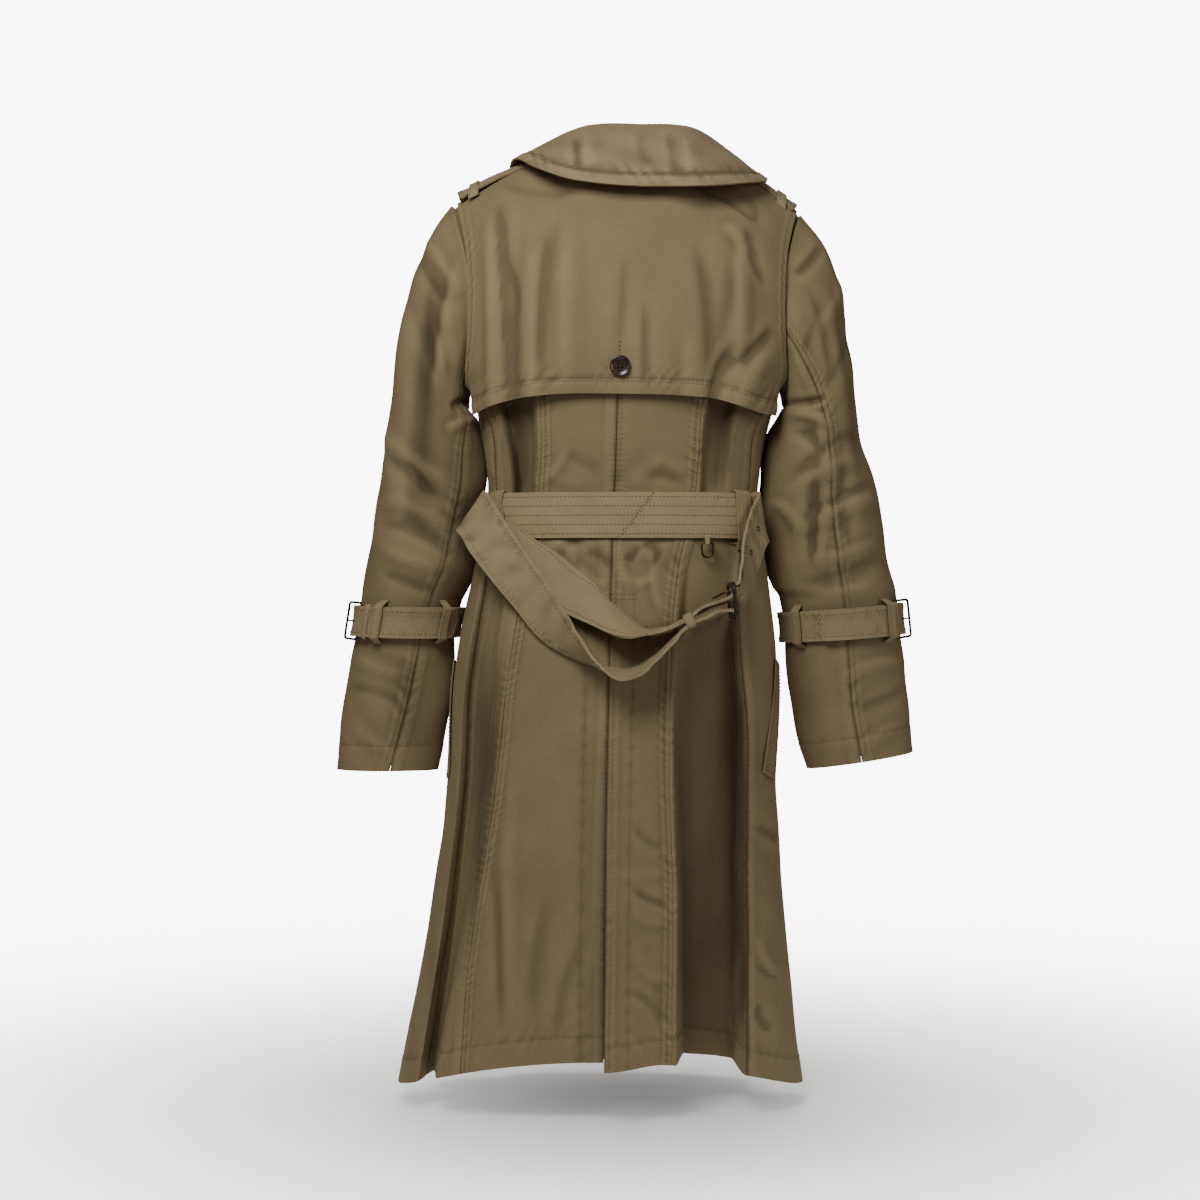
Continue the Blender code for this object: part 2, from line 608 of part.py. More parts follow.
def make_storm_flap(cloth):
    """Make the free yoke over the upper back, sewn in at the shoulders and the armholes."""
    fall = PANEL_ROWS[PANEL_ROWS <= CHEST_DROP] / CHEST_DROP
    armhole = ARMHOLE_BACK.at(fall)[1] - 1.2
    right = -np.minimum(armhole, 64.5)
    left = np.minimum(armhole, 67.5)
    edges = (right, -mix(45, 48, fall), -mix(25, 22, fall), 0 * fall, mix(25, 22, fall),
             mix(45, 48, fall), left)
    angles = columns_between(edges, (3, 3, 3, 3, 3, 3), gap=0.0)
    drops = np.maximum(fall * CHEST_DROP, 0.0035)[:, None] + 0 * angles
    points = body_point(angles, drops, folded=False)
    normals = body_normal(angles, drops, folded=False)
    hem = Profile((-72, 0.282), (-50, 0.281), (-25, 0.268), (0, 0.264), (20, 0.264), (42, 0.270),
                  (60, 0.279), (72, 0.282))
    swell = Profile((-72, 0.003), (-62, 0.006), (-50, 0.009), (-38, 0.006), (-18, 0.008), (0, 0.004),
                    (14, 0.006), (30, 0.010), (45, 0.005), (54, 0.008), (64, 0.006), (72, 0.004))
    points[..., 2] -= (hem.at(angles)[0] - CHEST_DROP) * (fall ** 2)[:, None]
    lift = 0.0027 + 0.0012 * ease(fall / 0.3)[:, None] + swell.at(angles)[0] * (fall ** 2)[:, None]
    wall("storm_flap", points, normals, lift, lift + CLOTH, cloth)


# ---------------------------------------------------------------- sleeves
# height, centre x, half width, centre y, half depth, all for one sleeve below the armpit
SLEEVES = {
    "left": (1, Profile((0.316, 0.2150, 0.0480, 0.000, 0.074), (0.370, 0.2195, 0.0540, -0.004, 0.068),
                        (0.436, 0.2300, 0.0570, -0.012, 0.062), (0.482, 0.2395, 0.0550, -0.016, 0.056),
                        (0.505, 0.2440, 0.0535, -0.018, 0.053), (0.545, 0.2490, 0.0570, -0.019, 0.051),
                        (0.589, 0.2545, 0.0590, -0.019, 0.048), (0.665, 0.2665, 0.0550, -0.017, 0.043)),
             Profile((0.0, 144.3), (1.0, 133), (1.55, 113), (2.0, 97)), 0.0),
    "right": (-1, Profile((0.316, 0.2070, 0.0500, 0.000, 0.074), (0.370, 0.2100, 0.0600, -0.004, 0.068),
                          (0.436, 0.2200, 0.0620, -0.012, 0.062), (0.482, 0.2290, 0.0635, -0.016, 0.056),
                          (0.505, 0.2320, 0.0625, -0.018, 0.053), (0.545, 0.2355, 0.0650, -0.019, 0.051),
                          (0.589, 0.2400, 0.0640, -0.019, 0.048), (0.655, 0.2520, 0.0572, -0.017, 0.043)),
              Profile((0.0, 121.0), (1.0, 86), (1.55, 90), (2.0, 92)), 0.009),
}
BICEP_DROP = 0.316
FRONT_SEAM = (256.1, 250.0)   # degrees round the sleeve at the armhole and below the armpit
SLEEVE_SET_OUT = 0.0026     # the sleeve's head sits this far outside the armhole's edge


def sleeve_point(side_name, around, reach):
    """Return points on a sleeve.

    around is in degrees: 0 outside, 90 back, 180 inside and 270 front. reach is 0 at the
    armhole, 1 at the armpit's level and 2 at the cuff's hem.
    """
    side, sections, _, hem_tilt = SLEEVES[side_name]
    around, reach = np.broadcast_arrays(np.asarray(around, dtype=float), np.asarray(reach, dtype=float))
    turn = np.radians(around)
    ring_turn = around % 360.0
    at_back = ring_turn <= 180.0
    from_top = np.minimum(ring_turn, 360.0 - ring_turn)
    share = np.where(at_back, np.interp(from_top, ARMHOLE_BACK.values[:, 0], ARMHOLE_BACK.keys),
                     np.interp(from_top, ARMHOLE_FRONT.values[:, 0], ARMHOLE_FRONT.keys))
    armhole = side_edge(np.full_like(share, side), at_back, share)
    outward = unit(np.stack([side + 0 * turn, 0.5 * np.sin(turn), 0.6 * np.cos(turn / 2) ** 2], axis=-1))
    armhole = armhole + outward * SLEEVE_SET_OUT
    cuff_drop = sections.keys[-1]

    def ring(drop):
        centre, width, middle, depth = sections.at(drop)
        height = -drop + hem_tilt * np.cos(turn) * ease((drop - 0.52) / (cuff_drop - 0.52))
        return np.stack([side * (centre + width * np.cos(turn)), middle + depth * np.sin(turn),
                         height], axis=-1)

    bicep = ring(np.full_like(turn, BICEP_DROP))
    below = ring(np.full_like(turn, BICEP_DROP + 0.01))
    length = np.linalg.norm(bicep - armhole, axis=-1, keepdims=True)
    inner = np.sin(turn / 2) ** 2
    outward = 0.70 * (1 - inner) ** 2 + 0.25 * np.abs(np.sin(turn)) + 0.45 * inner ** 6
    leaving = np.stack([side * outward, 0.35 * np.sin(turn), -0.70 - 0.25 * inner], axis=-1)
    t = np.clip(reach, 0, 1)[..., None]
    cap = hermite(armhole, leaving * length, bicep, unit(below - bicep) * length, t)
    lower = ring(BICEP_DROP + np.clip(reach - 1, 0, 1) * (cuff_drop - BICEP_DROP))
    return np.where(t < 1, cap, lower)


def sleeve_normal(side_name, around, reach):
    """Return outward directions on a sleeve."""
    side = SLEEVES[side_name][0]
    across = sleeve_point(side_name, around + 2.0, reach) - sleeve_point(side_name, around - 2.0, reach)
    along = (sleeve_point(side_name, around, np.minimum(reach + 0.01, 2.0))
             - sleeve_point(side_name, around, np.maximum(reach - 0.01, 0.0)))
    return unit(np.cross(across, along)) * -side


def make_sleeves(cloth):
    """Make both sleeves, each of an upper and an under piece."""
    reach = np.array((0.0, 0.07, 0.18, 0.34, 0.52, 0.72, 0.9, 1.1, 1.3, 1.46, 1.54, 1.62, 1.8, 2.0))
    shares = PANEL_ROWS[PANEL_ROWS <= ARMPIT * CHEST_DROP] / CHEST_DROP
    shares[0] = 0.0
    back_stops = np.interp(shares, ARMHOLE_BACK.keys, ARMHOLE_BACK.values[:, 0])
    front_stops = 360.0 - np.interp(shares, ARMHOLE_FRONT.keys, ARMHOLE_FRONT.values[:, 0])
    stops = np.concatenate([np.sort(front_stops)[:-1] - 360.0, back_stops, np.sort(front_stops)[1:]])
    for side_name, (_, _, back_seam, _) in SLEEVES.items():
        back = back_seam.at(reach)[0]
        front = np.interp(reach, (0.0, 1.0), FRONT_SEAM)
        for part, start, end, gap in (("upper", front - 360, back, 0.35), ("under", back, front, 0.35)):
            places = stops[(stops > start[0] - 0.2) & (stops < end[0] + 0.2)]
            around = columns_between((start, end), (shares_of(places),), gap=gap)
            reaches = np.broadcast_to(reach[:, None], around.shape)
            wall(f"sleeve_{part}_{side_name}", sleeve_point(side_name, around, reaches),
                 sleeve_normal(side_name, around, reaches), -CLOTH, 0.0, cloth)


# ---------------------------------------------------------------- collar
# share of the half collar, x from the axis, y, z of the fold, then of the outer edge, and lean
COLLAR = Profile(
    (0.00, 0.000, 0.0640, 0.0240, 0.0000, 0.108, -0.0485, 0.000),
    (0.20, 0.034, 0.0590, 0.0255, 0.0550, 0.104, -0.0458, 0.032),
    (0.35, 0.053, 0.0420, 0.0250, 0.0880, 0.090, -0.0395, 0.045),
    (0.50, 0.062, 0.0160, 0.0190, 0.1180, 0.064, -0.0280, 0.075),
    (0.62, 0.068, -0.0070, 0.0090, 0.1335, 0.034, -0.0190, 0.090),
    (0.75, 0.068, -0.0290, -0.0060, 0.1400, -0.010, -0.0175, 0.048),
    (0.88, 0.063, -0.0480, -0.0280, 0.1370, -0.060, -0.0580, 0.020),
    (1.00, 0.056, -0.0660, -0.0560, 0.1200, -0.098, -0.1000, 0.000))
# share of the half collar, height of the roll over the straight line from fold to edge
COLLAR_ROLL = Profile((0.0, 0.004), (0.3, 0.005), (0.5, 0.011), (0.65, 0.012), (0.8, 0.008), (1.0, 0.004))
EDGE_SHIFT = -0.008       # the edge sits this far off the coat's axis at the back


def collar_lines(share):
    """Return the collar's fold line and outer edge for shares from -1 (right) to 1 (left)."""
    side = np.where(share < 0, -1.0, 1.0)
    fold_x, fold_y, fold_z, edge_x, edge_y, edge_z, lean = COLLAR.at(np.abs(share))
    axis = LEAN.at(fold_z)[0]
    fold = np.stack([side * fold_x + axis, fold_y, fold_z + 0.4 * lean * side * fold_x], axis=-1)
    shift = EDGE_SHIFT * (1 - ease((np.abs(share) - 0.7) / 0.3))
    edge = np.stack([side * edge_x + axis + shift, edge_y, edge_z + lean * side * edge_x], axis=-1)
    return fold, edge


def make_collar(cloth):
    """Make the collar's stand and the fall that turns down over it."""
    share = np.concatenate([np.linspace(-1, -0.5, 7), np.linspace(-0.42, 0.42, 9), np.linspace(0.5, 1, 7)])
    fold, edge = collar_lines(share)
    t = np.array((0.0, 0.08, 0.2, 0.4, 0.6, 0.8, 1.0))[:, None, None]
    shoulder = fold + (edge - fold) * np.array([0.42, 0.42, 0.0])
    shoulder[..., 2] += COLLAR_ROLL.at(np.abs(share))[0]
    fall = (1 - t) ** 2 * fold + 2 * t * (1 - t) * shoulder + t * t * edge
    wall("collar_fall", fall, grid_normals(fall), -FIRM_CLOTH / 2, FIRM_CLOTH / 2, cloth)

    share = np.concatenate([np.linspace(-0.88, -0.5, 6), np.linspace(-0.42, 0.42, 9),
                            np.linspace(0.5, 0.88, 6)])
    fold, _ = collar_lines(share)
    size = np.abs(share)
    angle = np.where(size <= 0.5, np.interp(size, (0, 0.2, 0.35, 0.5), (0, 10, 18, 24.9)),
                     np.interp(size, (0.5, 0.62, 0.75, 0.88), (155.1, 158, 161, 165)))
    seam_line, _ = upper_edge(np.where(share < 0, -angle, angle))
    seam_line[..., 2] += 0.0020
    inward = -0.0022 * unit(fold - np.array([0.0, 0.0, 1.0]) * fold[..., 2:])
    top = fold + inward - np.array([0.0, 0.0, 0.0040])
    t = np.linspace(0, 1, 4)[:, None, None]
    bow = np.stack([np.sign(share) * 0.002, np.where(size < 0.5, 0.002, 0.0), 0 * share], axis=-1)
    stand = seam_line * (1 - t) + top * t + bow * 4 * t * (1 - t)
    wall("collar_stand", stand, grid_normals(stand), -FIRM_CLOTH / 2, FIRM_CLOTH / 2, cloth)


# ---------------------------------------------------------------- epaulettes
# distance from the coat's axis, height of the strap's underside above the shoulder seam
EPAULETTE_RISE_LEFT = Profile((0.100, 0.0066), (0.130, 0.0072), (0.148, 0.0096), (0.164, 0.0102),
                              (0.184, 0.0125))
EPAULETTE_RISE_RIGHT = Profile((0.100, 0.0074), (0.184, 0.0080))


def shoulder_ridge(side, size):
    """Return the height of the shoulder seam at a distance from the coat's axis."""
    ridge, _ = upper_edge(side * np.linspace(NECK_CORNER, TIP, 60))
    distance = side * (ridge[:, 0] - LEAN.at(ridge[:, 2])[0])
    return np.interp(size, distance, ridge[:, 2])


def epaulette_grid(side, rise, distance, half_width, across):
    """Return points under an epaulette, arched over the shoulder seam."""
    y = across * half_width
    z = (shoulder_ridge(side, distance) + rise.at(distance)[0])[:, None] - y ** 2 / 0.046
    x = side * distance[:, None] + LEAN.at(z)[0]
    return np.stack([x, y + 0.003 + 0 * x, z], axis=-1)


def make_epaulettes(cloth):
    """Make the shoulder straps, which arch over the shoulder seams, and their loops."""
    width = Profile((0.100, 0.0175), (0.170, 0.0215), (0.181, 0.0205), (0.184, 0.013))
    for name, side, rise in (("left", 1, EPAULETTE_RISE_LEFT), ("right", -1, EPAULETTE_RISE_RIGHT)):
        distance = np.array((0.100, 0.112, 0.124, 0.136, 0.148, 0.158, 0.166, 0.174, 0.180, 0.184))
        strap = epaulette_grid(side, rise, distance, width.at(distance)[0][:, None], np.linspace(-1, 1, 7))
        wall(f"epaulette_{name}", strap, grid_normals(strap) * side, 0.0, FIRM_CLOTH, cloth)

        across = np.linspace(-1, 1, 9)
        loop = epaulette_grid(side, rise, np.linspace(0.1605, 0.1705, 3), 0.0275, across)
        over = FIRM_CLOTH + 0.0010 - 0.0030 * ease((np.abs(across) - 0.8) / 0.2)
        wall(f"epaulette_loop_{name}", loop, grid_normals(loop) * side, over, over + 0.0012, cloth)


# ---------------------------------------------------------------- cuff straps
def strap_surface(side_name, around, heights, lift):
    """Return points at real heights on a sleeve, moved out by lift."""
    sections = SLEEVES[side_name][1]
    cuff_drop = sections.keys[-1]
    reach = 1 + (-heights - BICEP_DROP) / (cuff_drop - BICEP_DROP)
    points = sleeve_point(side_name, around, reach)
    return points + sleeve_normal(side_name, around, reach) * np.broadcast_to(lift, reach.shape)[..., None]


# start angle, angle of the free tip, height at the back, slope of the strap, loop angles, keeper angle
CUFF_STRAPS = {
    "left": (27.0, 153.0, -0.5035, 0.0, (64.0, 131.0), 49.0),
    "right": (27.0, 118.0, -0.5050, 0.075, (47.0, 138.0), 38.0),
}


def strap_height(side_name, around):
    """Return the height of the strap's middle at an angle round the sleeve."""
    _, _, height, slope, _, _ = CUFF_STRAPS[side_name]
    return height + slope * 0.06 * np.cos(np.radians(around))


def make_cuff_straps(cloth, leather):
    """Make the buckled strap of each cuff with its loops, keeper and buckle."""
    half = CUFF_STRAP_WIDTH / 2
    base = 0.0042
    for side_name in SLEEVES:
        side = SLEEVES[side_name][0]
        start, tip, _, _, loops, keeper = CUFF_STRAPS[side_name]
        turn = np.concatenate([np.linspace(start + 9, start + 340, 26),
                               np.linspace(start + 349, tip + 360, 14)])
        raised = base + FIRM_CLOTH + 0.0012
        lift = base + (raised - base) * ease((turn - start - 345) / 16)
        across = np.linspace(-1, 1, 2)
        point = ease((turn[-1] - turn) / 11.0)
        narrow = np.minimum(half, 0.006 + point * half)[:, None]
        heights = strap_height(side_name, turn)[:, None] + across * narrow
        around = np.broadcast_to(turn[:, None], heights.shape)
        points = strap_surface(side_name, around, heights, lift[:, None])
        normals = sleeve_normal(side_name, around, reach_of(side_name, heights))
        wall(f"cuff_strap_{side_name}", points, normals, 0.0, FIRM_CLOTH, cloth)

        for label, middle in zip(("a", "b"), loops):
            turn = np.linspace(middle - 4.5, middle + 4.5, 3)
            across = np.linspace(-1, 1, 9)
            heights = strap_height(side_name, middle) + across[:, None] * (half + 0.0065) + 0 * turn
            around = np.broadcast_to(turn, heights.shape)
            layers = 2 if middle < tip else 1
            high = base + layers * (FIRM_CLOTH + 0.0012) + 0.0006
            lift = 0.0012 + high * ease((1 - np.abs(across)) / 0.24)[:, None]
            points = strap_surface(side_name, around, heights, lift)
            normals = sleeve_normal(side_name, around, reach_of(side_name, heights))
            wall(f"cuff_loop_{label}_{side_name}", points, normals, 0.0, 0.0012, cloth)

        middle = np.array([keeper])
        height = strap_height(side_name, middle)
        depth = base + FIRM_CLOTH + 0.0012 + FIRM_CLOTH
        centre = strap_surface(side_name, middle, height, (base + depth) / 2)[0]
        normal = sleeve_normal(side_name, middle, reach_of(side_name, height))[0]
        upward = unit(strap_surface(side_name, middle, height + 0.01, 0.0)[0]
                      - strap_surface(side_name, middle, height - 0.01, 0.0)[0])
        band_ring(f"cuff_keeper_{side_name}", centre, upward, normal, half + 0.0012,
                  (depth - base) / 2 + 0.0009, 0.007, 0.0010, cloth)
        make_cuff_buckle(side_name, side, start, leather)


def reach_of(side_name, heights):
    """Return the sleeve's reach value at real heights."""
    cuff_drop = SLEEVES[side_name][1].keys[-1]
    return 1 + (-heights - BICEP_DROP) / (cuff_drop - BICEP_DROP)


def make_cuff_buckle(side_name, side, start, leather):
    """Make a frame that lies over the strap at one bar and under it at the other."""
    half = CUFF_STRAP_WIDTH / 2 + 0.0032
    corners = []
    for turn, lift, sign in ((start + 4.5, 0.0050, -1), (start + 4.5, 0.0050, 1),
                             (start - 12, 0.0124, 1), (start - 12, 0.0124, -1)):
        height = strap_height(side_name, np.array([turn])) + sign * half
        corners.append(strap_surface(side_name, np.array([turn]), height, lift)[0])
    tube_ring(f"cuff_buckle_{side_name}", rounded_loop(corners, 0.0035, steps=2), 0.0014, leather, sides=6)


# ---------------------------------------------------------------- belt
# The route of the belt: one edge then the other, from the end that holds the buckle, down and
# round to the fold at the left loop, and then, past the back, from the right loop to the tip.
BELT_LEFT = (
    (-0.1085, 0.1440, -0.4905, -0.1100, 0.0960, -0.4905),
    (-0.0928, 0.1470, -0.4905, -0.0970, 0.0990, -0.4925),
    (-0.0760, 0.1530, -0.4970, -0.0803, 0.1050, -0.5005),
    (-0.0594, 0.1600, -0.5038, -0.0612, 0.1120, -0.5032),
    (-0.0420, 0.1680, -0.5224, -0.0422, 0.1200, -0.5185),
    (-0.0232, 0.1740, -0.5420, -0.0212, 0.1260, -0.5381),
    (-0.0059, 0.1770, -0.5566, -0.0025, 0.1300, -0.5494),
    (0.0134, 0.1780, -0.5595, 0.0203, 0.1300, -0.5504),
    (0.0327, 0.1740, -0.5471, 0.0431, 0.1260, -0.5453),
    (0.0523, 0.1650, -0.5195, 0.0721, 0.1240, -0.5340),
    (0.0690, 0.1470, -0.4911, 0.0940, 0.1180, -0.5195),
    (0.0860, 0.1300, -0.4624, 0.1185, 0.1120, -0.4913),
    (0.1047, 0.1130, -0.4362, 0.1435, 0.1040, -0.4622),
    (0.1347, 0.0935, -0.3927, 0.1681, 0.0880, -0.4311),
    (0.1507, 0.0740, -0.3674, 0.1815, 0.0680, -0.4098),
    (0.1554, 0.0620, -0.3638, 0.1856, 0.0570, -0.4065),
    (0.1525, 0.0520, -0.3660, 0.1800, 0.0480, -0.4100))
BELT_RIGHT = (
    (-0.1345, 0.0600, -0.3645, -0.1402, 0.0572, -0.4165),
    (-0.1360, 0.0650, -0.3670, -0.1450, 0.0602, -0.4190),
    (-0.1315, 0.0740, -0.3750, -0.1440, 0.0650, -0.4200),
    (-0.1236, 0.0870, -0.3940, -0.1410, 0.0680, -0.4260),
    (-0.1180, 0.1020, -0.4145, -0.1375, 0.0740, -0.4360),
    (-0.1145, 0.1180, -0.4424, -0.1290, 0.0810, -0.4560),
    (-0.1080, 0.1330, -0.4690, -0.1185, 0.0900, -0.4710),
    (-0.0975, 0.1430, -0.4785, -0.1020, 0.0970, -0.4800),
    (-0.0762, 0.1400, -0.4852, -0.0851, 0.1010, -0.4863),
    (-0.0578, 0.1530, -0.4983, -0.0617, 0.1080, -0.4970),
    (-0.0350, 0.1630, -0.5097, -0.0384, 0.1210, -0.5072),
    (-0.0167, 0.1650, -0.5147, -0.0152, 0.1250, -0.5112),
    (0.0028, 0.1680, -0.5172, 0.0005, 0.1260, -0.4997),
    (0.0177, 0.1620, -0.5158, 0.0174, 0.1260, -0.4866),
    (0.0409, 0.1420, -0.5063, 0.0389, 0.1220, -0.4638),
    (0.0721, 0.1280, -0.4914, 0.0619, 0.1120, -0.4438),
    (0.0984, 0.1140, -0.4717, 0.0834, 0.1060, -0.4269),
    (0.1196, 0.1020, -0.4591, 0.0990, 0.1000, -0.4175),
    (0.1379, 0.0900, -0.4442, 0.1147, 0.0955, -0.4050),
    (0.1500, 0.0780, -0.4330, 0.1290, 0.0890, -0.3955))
BELT_BACK_ANGLES = (66.0, -60.0)
BELT_CLEARANCE = 0.0036
BELT_KEEPER = (-0.0600, 0.1335, -0.5011)
D_RING = (-0.0798, 0.1010, -0.4200)
# side of the coat, angles of the loop's two edges
BELT_LOOPS = (("left", 65.0, 50.5), ("right", -45.0, -57.5))
BELT_BUCKLE = ((-0.1045, 0.1550, -0.4640), (-0.1069, 0.1550, -0.4964), (-0.1040, 0.0905, -0.4970),
               (-0.1020, 0.0905, -0.4644))


def under_belt(angle, height, lift):
    """Return points on the straight band between the belt's two edges, moved out by lift.

    The band touches the coat at the belt's top and bottom edges and bridges the waist between.
    """
    angle, height = np.broadcast_arrays(np.asarray(angle, dtype=float), np.asarray(height, dtype=float))
    top = body_point(angle, np.full_like(angle, -BELT_TOP), folded=False)
    bottom = body_point(angle, np.full_like(angle, -BELT_BOTTOM), folded=False)
    t = ((height - top[..., 2]) / (bottom[..., 2] - top[..., 2]))[..., None]
    normal = body_normal(angle, np.full_like(angle, -(BELT_TOP + BELT_BOTTOM) / 2), folded=False)
    normal[..., 2] = 0.0
    return top + (bottom - top) * t + unit(normal) * np.broadcast_to(lift, angle.shape)[..., None]


def back_belt_rows():
    """Return the belt's edges where it crosses the back, just clear of the panels."""
    angles = np.linspace(*BELT_BACK_ANGLES, 13)
    top = under_belt(angles, BELT_TOP, BELT_CLEARANCE)
    bottom = under_belt(angles, BELT_BOTTOM, BELT_CLEARANCE)
    return list(np.concatenate([top, bottom], axis=-1))


def belt_route(step=0.0105):
    """Return the belt's two edges, evenly spaced along its whole length."""
    rows = np.array(list(BELT_LEFT) + back_belt_rows() + list(BELT_RIGHT))
    middle = (rows[:, :3] + rows[:, 3:]) / 2
    travel = np.concatenate([[0], np.cumsum(np.linalg.norm(np.diff(middle, axis=0), axis=1))])
    route = Profile(*[(place, *row) for place, row in zip(travel, rows)])
    places = np.linspace(0, travel[-1], int(travel[-1] / step))
    return np.moveaxis(np.array(route.at(places)), 0, -1)


def make_belt(cloth, leather, metal):
    """Make the belt, its buckle and keeper, and the ring that hangs from it."""
    route = belt_route()
    across = np.linspace(0, 1, 2)[:, None]
    grid = route[:, None, :3] * (1 - across) + route[:, None, 3:] * across
    wall("belt", grid, grid_normals(grid), -BELT_THICKNESS / 2, BELT_THICKNESS / 2, cloth)
    tube_ring("belt_buckle", rounded_loop(BELT_BUCKLE, 0.006), 0.0022, leather)

    middle = (route[:, :3] + route[:, 3:]) / 2
    place = int(np.argmin(np.linalg.norm(middle - BELT_KEEPER, axis=-1)))
    near, far = route[place, :3], route[place, 3:]
    ahead = route[place + 1, :3] + route[place + 1, 3:]
    behind = route[place - 1, :3] + route[place - 1, 3:]
    standing = np.cross(near - far, ahead - behind)
    band_ring("belt_keeper", BELT_KEEPER, near - far, standing, BELT_WIDTH / 2 + 0.0040, 0.0064, 0.008,
              0.0012, cloth)

    x, y, z = D_RING
    corners = ((x - 0.0065, y, z), (x + 0.0065, y, z), (x + 0.0050, y, z - 0.0150),
               (x - 0.0050, y, z - 0.0150))
    tube_ring("d_ring", rounded_loop(corners, 0.0045, steps=2), 0.0010, metal, sides=6)
    band_ring("d_ring_tab", (x, y, z + 0.0028), (0, 0, 1), (0, 1, 0), 0.0046, 0.0018, 0.0050, 0.0010, cloth)


def make_belt_loops(cloth):
    """Make the two loops that carry the belt at the side panels."""
    over_belt = BELT_CLEARANCE + BELT_THICKNESS / 2 + 0.0012
    for name, start, end in BELT_LOOPS:
        across = np.linspace(0, 1, 4)
        down = np.array((0.0, 0.05, 0.12, 0.5, 0.88, 0.95, 1.0))[:, None]
        heights = BELT_TOP + 0.0070 + (BELT_BOTTOM - BELT_TOP - 0.0140) * down + 0 * across
        angles = start + (end - start) * across + 0 * down
        share = ease(np.minimum(down, 1 - down) / 0.12) + 0 * across
        seated = body_point(angles, -heights, folded=False)
        normals = body_normal(angles, -heights, folded=False)
        seated = seated + normals * 0.0014
        points = seated * (1 - share)[..., None] + under_belt(angles, heights, over_belt) * share[..., None]
        wall(f"belt_loop_{name}", points, normals, 0.0, 0.0014, cloth)


# ---------------------------------------------------------------- pockets and buttons
def make_pocket_welts(cloth):
    """Make the slanting welts of the side pockets."""
    for name, side, top, bottom in (("left", 1, 88.0, 72.0), ("right", -1, 80.0, 60.0)):
        down = np.linspace(0, 1, 8)[:, None]
        across = np.linspace(0, 1, 5)
        angles = side * (mix(top, bottom, down) + 14.0 * across)
        drops = 0.528 + 0.117 * down + 0.006 * across
        points = body_point(angles, drops)
        normals = body_normal(angles, drops)
        wall(f"pocket_welt_{name}", points, normals, 0.0020, 0.0020 + CLOTH, cloth)


def button_profile(diameter):
    """Return the turned profile of a button with a rim and a dished middle."""
    radius = diameter / 2
    return ((0.0, 0.0), (radius * 0.95, 0.0), (radius, 0.0024), (radius * 0.86, 0.0035),
            (radius * 0.60, 0.0024), (0.0, 0.0022))


def make_buttons(horn):
    """Make the front's two columns of buttons and the one on the storm flap."""
    for column, angle in (("left", 164.0), ("right", -164.0)):
        for row in range(4):
            drop = 0.292 + 0.098 * row
            seen = angle if angle < 0 else angle - 360.0
            place = body_point(seen, drop)
            normal = body_normal(np.array([seen]), np.array([drop]))[0]
            turned(f"button_{column}_{row + 1}", button_profile(BUTTON_DIAMETER),
                   place + normal * 0.0018, normal, horn, sides=12)
    fall = 0.235
    angle = 1.0
    place = body_point(angle, fall, folded=False)
    normal = body_normal(np.array([angle]), np.array([fall]), folded=False)[0]
    turned("button_storm_flap", button_profile(BUTTON_DIAMETER), place + normal * 0.0098, normal, horn,
           sides=12)


def main():
    """Clear the scene and make the coat."""
    for piece in list(bpy.data.objects):
        bpy.data.objects.remove(piece)
    cloth = plain_material("cotton gabardine", CLOTH_COLOUR, 0.85)
    horn = plain_material("dark horn", HORN_COLOUR, 0.28)
    leather = plain_material("dark leather-covered buckle", BUCKLE_COLOUR, 0.38)
    metal = plain_material("aged brass", METAL_COLOUR, 0.35, 1.0)
    make_back_panels(cloth)
    make_vent_underlap(cloth)
    make_fronts(cloth)
    make_storm_flap(cloth)
    make_sleeves(cloth)
    make_collar(cloth)
    make_epaulettes(cloth)
    make_cuff_straps(cloth, leather)
    make_belt(cloth, leather, metal)
    make_belt_loops(cloth)
    make_pocket_welts(cloth)
    make_buttons(horn)


main()
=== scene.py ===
"""Dress a trench coat: cloth, seams, stitching, puckers and creases, buttons, belt and buckles.

Units are metres and +Z is up. The back of the coat faces +Y, its front faces -Y, and the
wearer's left side is at +X. The body is one surface, given by an angle around the coat and a
drop below the neck; a panel is a strip of it between two seams, made as a fine grid of points.
Sewing lifts or sinks that grid, and stitches are laid along it.
"""

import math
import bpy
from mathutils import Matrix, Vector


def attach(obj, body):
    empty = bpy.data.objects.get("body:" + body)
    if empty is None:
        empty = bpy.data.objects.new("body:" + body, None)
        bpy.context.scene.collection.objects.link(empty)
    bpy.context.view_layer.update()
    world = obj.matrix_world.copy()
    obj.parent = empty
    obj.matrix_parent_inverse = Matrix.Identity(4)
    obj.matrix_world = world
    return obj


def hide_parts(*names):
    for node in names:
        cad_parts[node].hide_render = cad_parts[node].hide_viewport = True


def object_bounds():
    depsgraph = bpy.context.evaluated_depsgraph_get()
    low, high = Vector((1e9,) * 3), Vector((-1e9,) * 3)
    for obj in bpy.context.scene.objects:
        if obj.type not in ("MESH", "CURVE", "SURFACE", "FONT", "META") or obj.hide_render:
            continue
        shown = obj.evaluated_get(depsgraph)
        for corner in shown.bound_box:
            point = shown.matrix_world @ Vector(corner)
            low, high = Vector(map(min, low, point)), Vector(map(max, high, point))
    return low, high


bl_info = {
    "name": "Trench Coat",
    "version": (1, 0, 0),
    "blender": (4, 5, 0),
    "location": "View3D > Sidebar > Coat",
    "description": "Makes a belted trench coat of cotton gabardine with its sewing and trimmings",
    "category": "Object",
}

import bmesh
import bpy
import numpy as np
from mathutils import Vector
from mathutils.bvhtree import BVHTree

